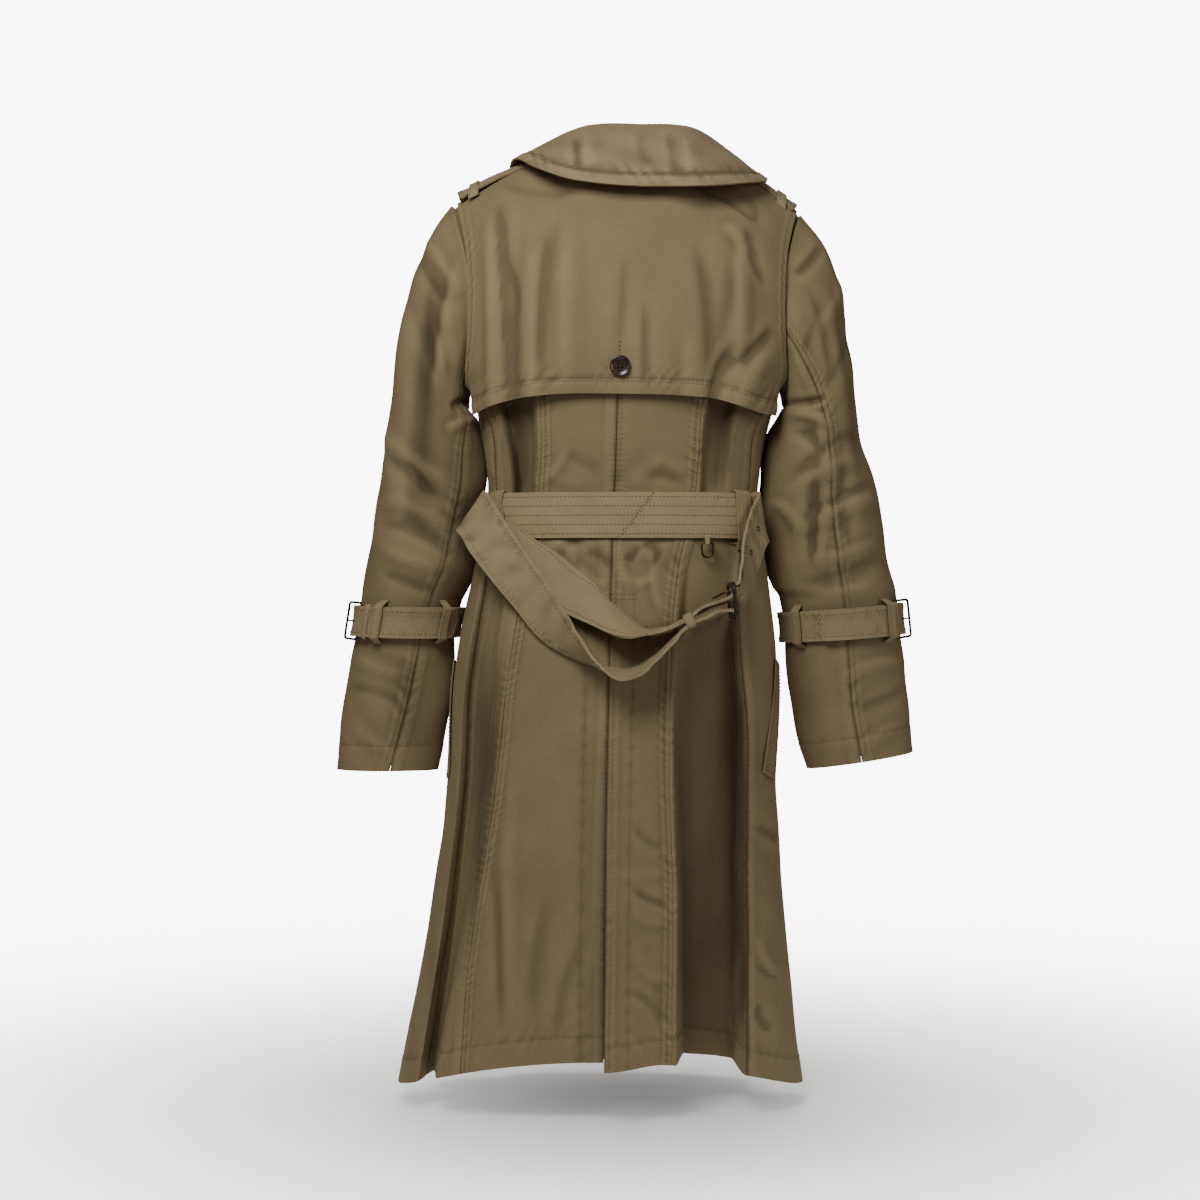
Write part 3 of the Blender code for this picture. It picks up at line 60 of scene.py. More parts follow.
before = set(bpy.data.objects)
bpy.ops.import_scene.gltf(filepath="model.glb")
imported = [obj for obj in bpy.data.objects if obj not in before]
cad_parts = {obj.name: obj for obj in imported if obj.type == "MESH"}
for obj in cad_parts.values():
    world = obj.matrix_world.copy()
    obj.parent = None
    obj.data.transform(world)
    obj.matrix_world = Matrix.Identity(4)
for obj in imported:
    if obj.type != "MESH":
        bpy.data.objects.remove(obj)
FRAME_BOX = [list(corner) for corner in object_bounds()]

# ---- sizes of the cut pieces
CLOTH = 0.0016            # gabardine with its interlining
FIRM_CLOTH = 0.0022       # collar and straps, which are doubled
LOOP_CLOTH = 0.0012       # the loops of the epaulettes and cuff straps
BELT_LOOP_CLOTH = 0.0014
CHEST_DROP = 0.272        # neck point to the chest ring, just under the arms
BACK_LENGTH = 0.956       # neck point to the hem at the centre back
SIDE_LENGTH = 1.0         # neck point to the hem at the sides and the front
VENT_TOP = 0.478          # neck point to the top of the vent
SHOULDER_SAG = 0.009      # how much lower the right shoulder hangs than the left one
UNDER_FRONT = 0.0115      # how far the left front is pressed in under the right one
HEM_FLARE_LIFT = 0.015    # how far the free edge of the vent stands out at the hem
HEM_FLARE_DROP = 0.008    # how much lower that edge hangs
ARMPIT = 0.91             # share of the way from the shoulder tip down to the chest ring
# Angles round the body, in degrees from the centre back; the wearer's left is above zero.
NECK_CORNER = 25.0
TIP = 62.0
FRONT_TIP = 118.0
FRONT_NECK_CORNER = 155.0
FRONT_EDGE = 205.0
LEFT_FRONT_EDGE = 202.0
RECESS_ENTRY = 3.2        # width of the steep wall of a pleat
TUCK_TURN = 0.45          # a side back reaches this far under the centre back,
TUCK_DEPTH = 0.0018       # and lies this much lower there

BELT_WIDTH = 0.05
BELT_THICKNESS = 0.0028
BELT_TOP = -0.3668
BELT_BOTTOM = -0.415
BELT_MIDDLE = -0.391
BELT_ROWS = (0.005, 0.0148, 0.0246, 0.0344, 0.0442)
# x and z
BELT_EYELETS = ((-0.134, -0.405), (-0.1255, -0.4295), (-0.114, -0.455))
CUFF_STRAP_WIDTH = 0.034
CUFF_HALF = CUFF_STRAP_WIDTH / 2
CUFF_STRAP_BASE = 0.0042  # underside of the strap above the sleeve
CUFF_LAYER = FIRM_CLOTH + 0.0012      # what each layer of strap adds

# Sewing: distance of a row of stitches from the edge of its piece.
PRINCESS_ROW = 0.0055
VENT_EDGE_ROW = 0.0048
VENT_ROW = 0.0245
FLAP_ROWS = (0.013, 0.0172)
COLLAR_ROWS = (0.0118, 0.0152)
GROOVE_HALF = 0.0009      # half width of the groove of a seam
ALLOWANCE_RISE = 0.0005   # how much the cloth doubled under a seam lifts it
STITCH_SINK = 0.0004      # how far a row of stitches sinks,
STITCH_HALF = 0.0013      # and half the width of its furrow
HEM_PITCH = 0.016         # length of a pucker of the hems
PUCKER_SLANT = 0.6        # how far a pucker leans along the seam for each step away from it
COLLAR_PAINTED_SHADE = 0.35        # painted shade: the collar's colour is made a little darker

# drop, how far the sleeve's inner side is full there, and over what height
SLEEVE_FULLNESS = {"left": ((0.312, 0.01, 0.04), (0.357, 0.006, 0.028), (0.435, 0.0115, 0.032)),
                   "right": ((0.318, 0.013, 0.048), (0.388, 0.0058, 0.03), (0.442, 0.0105, 0.034))}
# heights between which a sleeve lies flat under its strap
UNDER_STRAP = {"left": (-0.545, -0.47), "right": (-0.55, -0.465)}
# rows of the sleeve's head that turn in under the shoulder: how far inward, and how far sunk
SLEEVE_HEAD = ((0.006, 0.0034), (0.0032, 0.0026), (0.0004, 0.0006))

STORM_BUTTON_AT = (1.0, 0.235)        # angle and drop
# share of the radius, height
BUTTON_PROFILE = ((0.0, 0.0), (0.9, 0.0), (0.97, 0.0005), (1.0, 0.0014), (0.99, 0.0024), (0.95, 0.0031),
                  (0.89, 0.0034), (0.82, 0.0032), (0.74, 0.0026), (0.62, 0.0022), (0.3, 0.002), (0.0, 0.002))

# ---- stage
FLOOR_RADIUS = 1.85
CAMERA_PLACE = (0.0327, 2.6, -0.48)
CAMERA_LENS = 71.6
# name, place, target, power, size
LIGHTS = (("key light", (0.38, 1.1, 0.44), (0.0, 0.0, -0.2), 14.2, 0.6),
          ("left fill", (1.9, 1.3, 0.1), (0.1, 0.0, -0.4), 2.5, 1.2),
          ("right fill", (-1.9, 1.3, 0.1), (0.0, 0.0, -0.45), 9.5, 1.2),
          ("low fill", (-0.1, 2.2, -0.7), (0.0, 0.0, -0.75), 0.5, 1.2),
          ("front light", (0.0, -1.9, 0.9), (0.0, 0.0, -0.42), 30, 1.4))

UP = np.array([0.0, 0.0, 1.0])


# ---- reading tables
class Profile:
    """Columns that are read smoothly along the first column of a short table."""

    def __init__(self, *rows):
        table = np.array(rows, dtype=float)
        self.keys = table[:, 0]
        self.values = table[:, 1:]
        self.slopes = np.gradient(self.values, self.keys, axis=0)

    def at(self, key):
        """Return one array for each column, at every key."""
        key = np.clip(np.asarray(key, dtype=float), self.keys[0], self.keys[-1])
        row = np.clip(np.searchsorted(self.keys, key) - 1, 0, len(self.keys) - 2)
        span = (self.keys[row + 1] - self.keys[row])[..., None]
        t = (key - self.keys[row])[..., None] / span
        values = hermite(self.values[row], self.slopes[row] * span,
                         self.values[row + 1], self.slopes[row + 1] * span, t)
        return np.moveaxis(values, -1, 0)


def hermite(start, start_slope, end, end_slope, t):
    """Blend two ends and their slopes by a cubic."""
    square = t * t
    cube = square * t
    return ((2 * cube - 3 * square + 1) * start + (cube - 2 * square + t) * start_slope
            + (3 * square - 2 * cube) * end + (cube - square) * end_slope)


def ease(t):
    """Rise smoothly from 0 to 1."""
    t = np.clip(t, 0.0, 1.0)
    return t * t * (3.0 - 2.0 * t)


def signed_power(value, exponent):
    """Raise to a power and keep the sign."""
    return np.sign(value) * np.abs(value) ** exponent


def unit(vectors):
    """Scale vectors to length one."""
    return vectors / np.maximum(np.linalg.norm(vectors, axis=-1, keepdims=True), 1e-12)


def mix(start, end, t):
    """Return what lies a fraction of the way between two values."""
    return start * (1 - t) + end * t


def run_along(points):
    """Return the run of a line up to each of its points."""
    return np.concatenate([[0], np.cumsum(np.linalg.norm(np.diff(points, axis=0), axis=1))])


def read_along(run, rows, places):
    """Read rows of three numbers at places along a run."""
    return np.stack([np.interp(places, run, rows[:, axis]) for axis in range(3)], axis=-1)


def nearest(face, x, z, least_y=-1.0):
    """Return the row and column of the point nearest to x and z, beyond a least y."""
    far = np.hypot(face[..., 0] - x, face[..., 2] - z) + (face[..., 1] < least_y)
    return np.unravel_index(np.argmin(far), far.shape)


# ---- the body's form
# drop at the side, half width, centre x, depth to the back, depth to the front, squareness
SECTIONS = Profile(
    (0.272, 0.161, 0.005, 0.112, 0.118, 0.72),
    (0.325, 0.15, 0.007, 0.103, 0.112, 0.68),
    (0.384, 0.1465, 0.009, 0.093, 0.104, 0.66),
    (0.44, 0.158, 0.011, 0.103, 0.116, 0.74),
    (0.545, 0.174, 0.015, 0.122, 0.13, 0.82),
    (0.69, 0.179, 0.02, 0.131, 0.138, 0.85),
    (0.85, 0.197, 0.026, 0.139, 0.145, 0.87),
    (1.0, 0.219, 0.033, 0.146, 0.15, 0.88))

# height of a point above the neck, and how far the coat's axis leans there
LEAN = Profile((-0.272, 0.005), (-0.15, 0.0045), (-0.05, 0.0035), (0.0, -0.002), (0.04, -0.01))

# The upper edge of the body, for the left half. Each stretch is smooth and ends in a corner.
# angle, x from the axis, y, z, tilt of the cloth from straight down in degrees
UPPER_EDGE = (
    Profile((0, 0.0, 0.062, -0.016, 30),      # back neck
            (12, 0.04, 0.055, -0.011, 34),
            (25, 0.074, 0.012, -0.001, 50)),
    Profile((25, 0.074, 0.012, -0.001, 50),   # back shoulder
            (44, 0.128, 0.008, -0.019, 56),
            (62, 0.187, -0.002, -0.053, 44)),
    Profile((118, 0.187, -0.002, -0.053, 44),  # front shoulder
            (136, 0.128, 0.008, -0.019, 52),
            (155, 0.074, 0.012, -0.001, 46)),
    Profile((155, 0.074, 0.012, -0.001, 46),   # front neck and roll line
            (161, 0.069, -0.026, -0.024, 40),
            (169, 0.055, -0.064, -0.064, 28),
            (180, 0.014, -0.098, -0.133, 12),
            (205, -0.08, -0.112, -0.25, 0)))

# The armholes, for the left side: share of the way down to the chest ring, degrees round the
# sleeve, degrees round the body, x from the axis, y, z
ARMHOLE_BACK = Profile(
    (0.0, 0.0, 62.0, 0.187, -0.002, -0.053), (0.045, 13.7, 61.8, 0.185, 0.016, -0.058),
    (0.15, 35.6, 61.0, 0.178, 0.036, -0.08), (0.34, 67.0, 60.0, 0.169, 0.056, -0.118),
    (0.545, 102.0, 60.0, 0.165, 0.068, -0.165), (0.74, 136.0, 63.0, 0.1655, 0.062, -0.212),
    (0.87, 163.0, 72.0, 0.1665, 0.042, -0.243), (0.91, 180.0, 84.0, 0.1672, 0.02, -0.252))
ARMHOLE_FRONT = Profile(
    (0.0, 0.0, 118.0, 0.187, -0.002, -0.053), (0.045, 11.0, 118.0, 0.185, -0.019, -0.058),
    (0.15, 29.4, 118.0, 0.178, -0.038, -0.08), (0.34, 57.0, 117.0, 0.167, -0.06, -0.118),
    (0.545, 87.5, 115.0, 0.161, -0.072, -0.165), (0.74, 116.8, 109.0, 0.164, -0.066, -0.212),
    (0.87, 150.0, 97.0, 0.1665, -0.03, -0.246), (0.91, 180.0, 84.0, 0.1672, 0.02, -0.252))

# The centre-back seam, and below the vent's top the free edge: drop at the back, x
CENTRE_BACK = Profile((0.272, 0.0145), (0.36, 0.0172), (0.425, 0.0205), (0.472, 0.0215), (0.5, 0.0222),
                      (0.56, 0.0232), (0.7, 0.0262), (0.956, 0.029))
PRINCESS_LEFT = Profile((0.0, 40), (0.272, 27), (0.361, 28), (0.498, 34), (0.676, 40),
                        (0.847, 42.5), (0.956, 39))
SIDE_LEFT = Profile((0.2475, 84), (0.272, 69), (0.354, 62), (0.464, 56.5),
                    (0.587, 59), (0.71, 58.5), (0.799, 57), (0.956, 55))
PRINCESS_RIGHT = Profile((0.0, -40), (0.272, -22.5), (0.361, -22.5), (0.443, -16.5), (0.559, -15),
                         (0.785, -17.5), (0.956, -17))
SIDE_RIGHT = Profile((0.2475, -84), (0.272, -66), (0.361, -60),
                     (0.44, -47), (0.498, -44), (0.621, -50), (0.778, -47), (0.956, -42))
LEFT_CREASE = Profile((0.0, 44), (0.272, 30.2), (0.361, 31.2), (0.42, 39), (0.477, 41), (0.58, 41.5),
                      (0.73, 45), (0.847, 47), (0.956, 48.3))
LEFT_RIDGE = Profile((0.0, 54), (0.2475, 56), (0.272, 53), (0.361, 46), (0.42, 47), (0.477, 49),
                     (0.58, 51), (0.73, 53), (0.956, 53.3))
LEVEL = Profile((0.0, 0.0), (1.0, 0.0))

# Folds. Each is a trough pressed inward between two lines:
# start line and offset, end line and offset, entry and exit slope in degrees, depth by drop
FOLDS = (
    (PRINCESS_LEFT, 1.0, LEFT_RIDGE, 0.0, 4, 7,
     Profile((0.2, 0.0), (0.272, 0.022), (0.361, 0.026), (0.41, 0.014), (0.455, 0.0))),
    (LEFT_CREASE, 0.0, SIDE_LEFT, 6.0, 4, 10,
     Profile((0.4, 0.0), (0.477, 0.018), (0.58, 0.031), (0.73, 0.036), (0.847, 0.042), (0.956, 0.05))),
    (PRINCESS_RIGHT, -18.5, PRINCESS_RIGHT, -0.8, 7, 4,
     Profile((0.2, 0.0), (0.272, 0.024), (0.34, 0.018), (0.4, 0.0))),
    (SIDE_RIGHT, 0.8, PRINCESS_RIGHT, -0.8, 4, 4,
     Profile((0.41, 0.0), (0.484, 0.01), (0.559, 0.028), (0.621, 0.044), (0.785, 0.068), (0.956, 0.084))),
    (LEVEL, 97.0, LEVEL, 128.0, 10, 13, Profile((0.43, 0.0), (0.62, 0.016), (0.956, 0.034))),
    (LEVEL, -132.0, LEVEL, -99.0, 13, 10, Profile((0.4, 0.0), (0.6, 0.018), (0.956, 0.037))))


def side_drop_at(back_drop):
    """Return the drop at the side that belongs to a drop at the back below the chest."""
    reach = (back_drop - CHEST_DROP) / (BACK_LENGTH - CHEST_DROP)
    return CHEST_DROP + reach * (SIDE_LENGTH - CHEST_DROP)


def section_point(angle, back_drop):
    """Return points on the body between the chest ring and the hem."""
    side_drop = side_drop_at(back_drop)
    width, centre, back, front, squareness = SECTIONS.at(side_drop)
    sine, cosine = np.sin(np.radians(angle)), np.cos(np.radians(angle))
    x = centre + width * signed_power(sine, squareness)
    y = np.where(cosine > 0, back, front) * signed_power(cosine, squareness)
    towards_side = np.where(cosine > 0, sine * sine, 1.0)
    z = -(back_drop + (side_drop - back_drop) * towards_side)
    return np.stack([x, y, z], axis=-1)


def upper_edge(angle):
    """Return points on the body's upper edge, and the direction in which the cloth leaves it."""
    side = np.where(angle < 0, -1.0, 1.0)
    size = np.abs(angle)
    x, y, z, tilt = np.zeros((4,) + np.shape(size))
    for stretch in UPPER_EDGE:
        inside = (size >= stretch.keys[0]) & (size <= stretch.keys[-1])
        values = stretch.at(size)
        x, y, z, tilt = (np.where(inside, new, old) for new, old in zip(values, (x, y, z, tilt)))
    x = side * x + LEAN.at(z)[0]
    towards_tip = np.minimum(ease((size - NECK_CORNER) / (TIP - NECK_CORNER)),
                             ease((FRONT_NECK_CORNER - size) / (FRONT_NECK_CORNER - FRONT_TIP)))
    past_tip = np.clip((size - TIP) / (FRONT_TIP - TIP), 0.0, 1.0)
    sag = towards_tip * np.cos(np.pi * past_tip) ** 2
    z = z - np.where(side < 0, SHOULDER_SAG, 0.0) * sag
    tilt = np.radians(tilt)
    cosine = np.cos(np.radians(size))
    outward = unit(np.stack([side * 0.25 * np.sin(np.radians(size)), cosine, 0 * size], axis=-1))
    leaving = outward * np.sin(tilt)[..., None] - UP * np.cos(tilt)[..., None]
    return np.stack([x, y, z], axis=-1), leaving


def fold_depth(angle, back_drop):
    """Return how far the folds press the cloth in."""
    around = (angle + 180.0) % 360.0 - 180.0
    depth = np.zeros(np.broadcast(angle, back_drop).shape)
    for start_line, start_offset, end_line, end_offset, entry, leave, profile in FOLDS:
        start = start_line.at(back_drop)[0] + start_offset
        end = end_line.at(back_drop)[0] + end_offset
        pressed = ease((around - start) / entry) * ease((end - around) / leave)
        depth = depth + np.maximum(profile.at(back_drop)[0], 0.0) * pressed
    return depth


def side_angles(side, back_drop):
    """Return the angles at which the back and the front of the body end towards the side."""
    seam_line = np.where(side > 0, SIDE_LEFT.at(back_drop)[0], -SIDE_RIGHT.at(back_drop)[0])
    share = back_drop / CHEST_DROP
    return (np.where(share < ARMPIT, ARMHOLE_BACK.at(share)[1], seam_line),
            np.where(share < ARMPIT, ARMHOLE_FRONT.at(share)[1], seam_line))


def hanging_point(side, top_angle, chest_angle, share):
    """Return points on the cloth that hangs from the upper edge to the chest ring."""
    start, leaving = upper_edge(side * top_angle)
    chest = section_point(side * chest_angle, np.full_like(share, CHEST_DROP))
    below = section_point(side * chest_angle, np.full_like(share, CHEST_DROP + 0.01))
    length = np.linalg.norm(chest - start, axis=-1, keepdims=True)
    return hermite(start, leaving * length, chest, unit(below - chest) * length, share[..., None])


def side_edge(side, at_back, share):
    """Return the outer edge of the upper body: the armhole, then the top of the side seam."""
    hole = np.minimum(share, ARMPIT)
    _, _, x, y, z = np.where(at_back, np.array(ARMHOLE_BACK.at(hole)), np.array(ARMHOLE_FRONT.at(hole)))
    sag = np.where(side < 0, SHOULDER_SAG, 0.0) * (1 - ease(hole / ARMPIT))
    edge = np.stack([side * x + LEAN.at(z)[0], y, z - sag], axis=-1)
    chest, below = (section_point(side * side_angles(side, drop)[0], drop)
                    for drop in (np.full_like(share, CHEST_DROP), np.full_like(share, CHEST_DROP + 0.01)))
    length = np.linalg.norm(chest - edge, axis=-1, keepdims=True)
    t = ((share - hole) / (1 - ARMPIT))[..., None]
    return hermite(edge, chest - edge, chest, unit(below - chest) * length, t)


def upper_point(angle, back_drop):
    """Return points on the body above the chest ring."""
    side = np.where(angle < 0, -1.0, 1.0)
    share = back_drop / CHEST_DROP
    back_end, front_end = side_angles(side, back_drop)
    size = np.abs(angle)
    at_back = size <= (back_end + front_end) / 2
    size = np.where(at_back, np.minimum(size, back_end), np.clip(size, front_end, FRONT_EDGE))
    outward = np.where(at_back, size / back_end, (FRONT_EDGE - size) / (FRONT_EDGE - front_end))
    top = np.where(at_back, outward * TIP, FRONT_EDGE - outward * (FRONT_EDGE - FRONT_TIP))
    tip = np.where(at_back, TIP, FRONT_TIP)
    end = np.where(at_back, back_end, front_end)
    pull = side_edge(side, at_back, share) - hanging_point(side, tip, end, share)
    return hanging_point(side, top, size, share) + pull * (outward ** 3)[..., None]


def body_point(angle, back_drop, folded=True):
    """Return points on the coat's body."""
    angle, back_drop = np.broadcast_arrays(np.asarray(angle, dtype=float),
                                           np.asarray(back_drop, dtype=float))
    lower = section_point(angle, np.maximum(back_drop, CHEST_DROP))
    above = (back_drop < CHEST_DROP)[..., None]
    points = np.where(above, upper_point(angle, np.minimum(back_drop, CHEST_DROP)), lower)
    if folded:
        cosine = np.cos(np.radians(angle))
        to_axis = np.stack([LEAN.at(points[..., 2])[0] - points[..., 0], -points[..., 1]], axis=-1)
        inward = np.where((cosine > 0)[..., None], np.array([0.0, -1.0]), unit(to_axis))
        points[..., :2] = points[..., :2] + inward * fold_depth(angle, back_drop)[..., None]
    return points


def body_normal(angle, back_drop, folded=True):
    """Return outward directions on the body, mitred where it turns a corner."""
    turn = 2.5
    step = 0.003
    here = body_point(angle, back_drop, folded)
    along = body_point(angle, back_drop + step, folded)
    along = along - body_point(angle, np.maximum(back_drop - step, 0.0), folded)
    after = unit(np.cross(body_point(angle + turn, back_drop, folded) - here, along))
    before = unit(np.cross(here - body_point(angle - turn, back_drop, folded), along))
    normal = after + before
    size = np.abs(angle)
    ridge = (size > NECK_CORNER - 0.2) & (size < TIP + 0.2)
    ridge = ridge | ((size > FRONT_TIP - 0.2) & (size < FRONT_NECK_CORNER + 0.2))
    mitre = ridge & (back_drop < 0.002)
    normal[..., 1] = np.where(mitre, 0.0, normal[..., 1])
    return unit(normal)


def grid_normals(grid):
    """Return the directions that stand on a grid of points."""
    return unit(np.cross(np.gradient(grid, axis=0), np.gradient(grid, axis=1)))


def rounded_loop(corners, radius, steps=3):
    """Return a closed loop of points through four corners, each rounded."""
    corners = [np.array(corner, dtype=float) for corner in corners]
    points = []
    for index, corner in enumerate(corners):
        before = corner + unit(corners[index - 1] - corner) * radius
        after = corner + unit(corners[(index + 1) % len(corners)] - corner) * radius
        for t in np.linspace(0, 1, steps + 1):
            points.append((1 - t) ** 2 * before + 2 * t * (1 - t) * corner + t * t * after)
    return points


def seam(profile, drops):
    """Return a seam's angle at each drop."""
    return profile.at(drops)[0]


def centre_back(drops):
    """Return the angle of the centre-back seam, worked out from its distance to the side."""
    width, centre, _, _, squareness = SECTIONS.at(side_drop_at(np.maximum(drops, CHEST_DROP)))
    offset = (CENTRE_BACK.at(drops)[0] - centre) / width
    angle = np.degrees(np.arcsin(signed_power(offset, 1 / squareness)))
    return angle * ease(drops / CHEST_DROP)


def columns_between(edges, steps, gap=0.05):
    """Return angles for every row and column, from rows of edge angles and the steps between them.

    The first and last edges are drawn in by the seam gap, in degrees.
    """
    edges = np.array(edges, dtype=float)
    gap = gap * np.sign(edges[-1] - edges[0])
    edges[0] += gap
    edges[-1] -= gap
    angles = [mix(start, end, t) for start, end, count in zip(edges, edges[1:], steps)
              for t in np.linspace(0, 1, count + 1)[:-1]]
    return np.array(angles + [edges[-1]]).T


def front_tuck(angle, drop):
    """Return how far the left front is pressed in, so as to lie under the right one."""
    start = 155.0 - 28.0 * np.minimum(drop / 0.25, 1.0)
    return -UNDER_FRONT * ease((angle - start) / 28.0)


def seen_from_front(face, x, z):
    """Return the points where a face is met at x and z by lines that run backward."""
    rows, columns = face.shape[:2]
    quads = [(row * columns + column, row * columns + column + 1,
              (row + 1) * columns + column + 1, (row + 1) * columns + column)
             for row, column in np.ndindex(rows - 1, columns - 1)]
    tree = BVHTree.FromPolygons([tuple(point) for point in face.reshape(-1, 3)], quads)
    backward = Vector((0.0, 1.0, 0.0))
    points = [tree.ray_cast(Vector((px, -1.0, pz)), backward)[0] for px, pz in zip(x.flat, z.flat)]
    return np.array(points).reshape(x.shape + (3,))


# angle, drop of the storm flap's hem, then how far its hem stands out
FLAP_HEM = Profile((-72, 0.282), (-50, 0.281), (-25, 0.268), (0, 0.264), (20, 0.264), (42, 0.27),
                   (60, 0.279), (72, 0.282))
FLAP_SWELL = Profile((-72, 0.003), (-62, 0.006), (-50, 0.009), (-38, 0.006), (-18, 0.008), (0, 0.004),
                     (14, 0.006), (30, 0.01), (45, 0.005), (54, 0.008), (64, 0.006), (72, 0.004))
# share of the way down the roll line, x and z of the lapel's outer edge on the left
LAPEL = Profile((0.0, 0.126, -0.104), (0.25, 0.102, -0.15), (0.5, 0.059, -0.19),
                (0.8, -0.008, -0.23), (1.0, -0.052, -0.252))


# ---- sleeves
# height, centre x, half width, centre y, half depth, all for one sleeve below the armpit
SLEEVES = {
    "left": (1, Profile((0.316, 0.215, 0.048, 0.0, 0.074), (0.37, 0.2195, 0.054, -0.004, 0.068),
                        (0.436, 0.23, 0.057, -0.012, 0.062), (0.482, 0.2395, 0.055, -0.016, 0.056),
                        (0.505, 0.244, 0.0535, -0.018, 0.053), (0.545, 0.249, 0.057, -0.019, 0.051),
                        (0.589, 0.2545, 0.059, -0.019, 0.048), (0.665, 0.2665, 0.055, -0.017, 0.043)),
             Profile((0.0, 144.3), (1.0, 133), (1.55, 113), (2.0, 97)), 0.0),
    "right": (-1, Profile((0.316, 0.207, 0.05, 0.0, 0.074), (0.37, 0.21, 0.06, -0.004, 0.068),
                          (0.436, 0.22, 0.062, -0.012, 0.062), (0.482, 0.229, 0.0635, -0.016, 0.056),
                          (0.505, 0.232, 0.0625, -0.018, 0.053), (0.545, 0.2355, 0.065, -0.019, 0.051),
                          (0.589, 0.24, 0.064, -0.019, 0.048), (0.655, 0.252, 0.0572, -0.017, 0.043)),
              Profile((0.0, 121.0), (1.0, 86), (1.55, 90), (2.0, 92)), 0.009),
}
BICEP_DROP = 0.316
FRONT_SEAM = (256.1, 250.0)   # degrees round the sleeve at the armhole and below the armpit
SLEEVE_SET_OUT = 0.0026     # the sleeve's head sits this far outside the armhole's edge


def set_out(side, turn):
    """Return the direction in which the sleeve's head stands off the armhole."""
    return unit(np.stack([side + 0 * turn, 0.5 * np.sin(turn), 0.6 * np.cos(turn / 2) ** 2], axis=-1))


def sleeve_point(side_name, around, reach):
    """Return points on a sleeve.

    around is in degrees: 0 outside, 90 back, 180 inside and 270 front. reach is 0 at the
    armhole, 1 at the armpit's level and 2 at the cuff's hem.
    """
    side, sections, _, hem_tilt = SLEEVES[side_name]
    around, reach = np.broadcast_arrays(np.asarray(around, dtype=float), np.asarray(reach, dtype=float))
    turn = np.radians(around)
    ring_turn = around % 360.0
    at_back = ring_turn <= 180.0
    from_top = np.minimum(ring_turn, 360.0 - ring_turn)
    share = np.where(at_back, np.interp(from_top, ARMHOLE_BACK.values[:, 0], ARMHOLE_BACK.keys),
                     np.interp(from_top, ARMHOLE_FRONT.values[:, 0], ARMHOLE_FRONT.keys))
    armhole = side_edge(np.full_like(share, side), at_back, share)
    armhole = armhole + set_out(side, turn) * SLEEVE_SET_OUT
    cuff_drop = sections.keys[-1]

    def ring(drop):
        centre, width, middle, depth = sections.at(drop)
        height = -drop + hem_tilt * np.cos(turn) * ease((drop - 0.52) / (cuff_drop - 0.52))
        return np.stack([side * (centre + width * np.cos(turn)), middle + depth * np.sin(turn),
                         height], axis=-1)

    bicep = ring(np.full_like(turn, BICEP_DROP))
    below = ring(np.full_like(turn, BICEP_DROP + 0.01))
    length = np.linalg.norm(bicep - armhole, axis=-1, keepdims=True)
    inner = np.sin(turn / 2) ** 2
    outward = 0.7 * (1 - inner) ** 2 + 0.25 * np.abs(np.sin(turn)) + 0.45 * inner ** 6
    leaving = np.stack([side * outward, 0.35 * np.sin(turn), -0.7 - 0.25 * inner], axis=-1)
    t = np.clip(reach, 0, 1)[..., None]
    cap = hermite(armhole, leaving * length, bicep, unit(below - bicep) * length, t)
    lower = ring(BICEP_DROP + np.clip(reach - 1, 0, 1) * (cuff_drop - BICEP_DROP))
    return np.where(t < 1, cap, lower)


def sleeve_normal(side_name, around, reach):
    """Return outward directions on a sleeve."""
    side = SLEEVES[side_name][0]
    across = sleeve_point(side_name, around + 2.0, reach) - sleeve_point(side_name, around - 2.0, reach)
    along = (sleeve_point(side_name, around, np.minimum(reach + 0.01, 2.0))
             - sleeve_point(side_name, around, np.maximum(reach - 0.01, 0.0)))
    return unit(np.cross(across, along)) * -side


# ---- collar
# share of the half collar, x from the axis, y, z of the fold, then of the outer edge, and lean
COLLAR = Profile(
    (0.0, 0.0, 0.064, 0.024, 0.0, 0.108, -0.0485, 0.0),
    (0.2, 0.034, 0.059, 0.0255, 0.055, 0.104, -0.0458, 0.032),
    (0.35, 0.053, 0.042, 0.025, 0.088, 0.09, -0.0395, 0.045),
    (0.5, 0.062, 0.016, 0.019, 0.118, 0.064, -0.028, 0.075),
    (0.62, 0.068, -0.007, 0.009, 0.1335, 0.034, -0.019, 0.09),
    (0.75, 0.068, -0.029, -0.006, 0.14, -0.01, -0.0175, 0.048),
    (0.88, 0.063, -0.048, -0.028, 0.137, -0.06, -0.058, 0.02),
    (1.0, 0.056, -0.066, -0.056, 0.12, -0.098, -0.1, 0.0))
# share of the half collar, height of the roll over the straight line from fold to edge
COLLAR_ROLL = Profile((0.0, 0.004), (0.3, 0.005), (0.5, 0.011), (0.65, 0.012), (0.8, 0.008), (1.0, 0.004))
EDGE_SHIFT = -0.008       # the edge sits this far off the coat's axis at the back


def collar_lines(share):
    """Return the collar's fold line and outer edge for shares from -1 (right) to 1 (left)."""
    side = np.where(share < 0, -1.0, 1.0)
    fold_x, fold_y, fold_z, edge_x, edge_y, edge_z, lean = COLLAR.at(np.abs(share))
    axis = LEAN.at(fold_z)[0]
    fold = np.stack([side * fold_x + axis, fold_y, fold_z + 0.4 * lean * side * fold_x], axis=-1)
    shift = EDGE_SHIFT * (1 - ease((np.abs(share) - 0.7) / 0.3))
    edge = np.stack([side * edge_x + axis + shift, edge_y, edge_z + lean * side * edge_x], axis=-1)
    return fold, edge


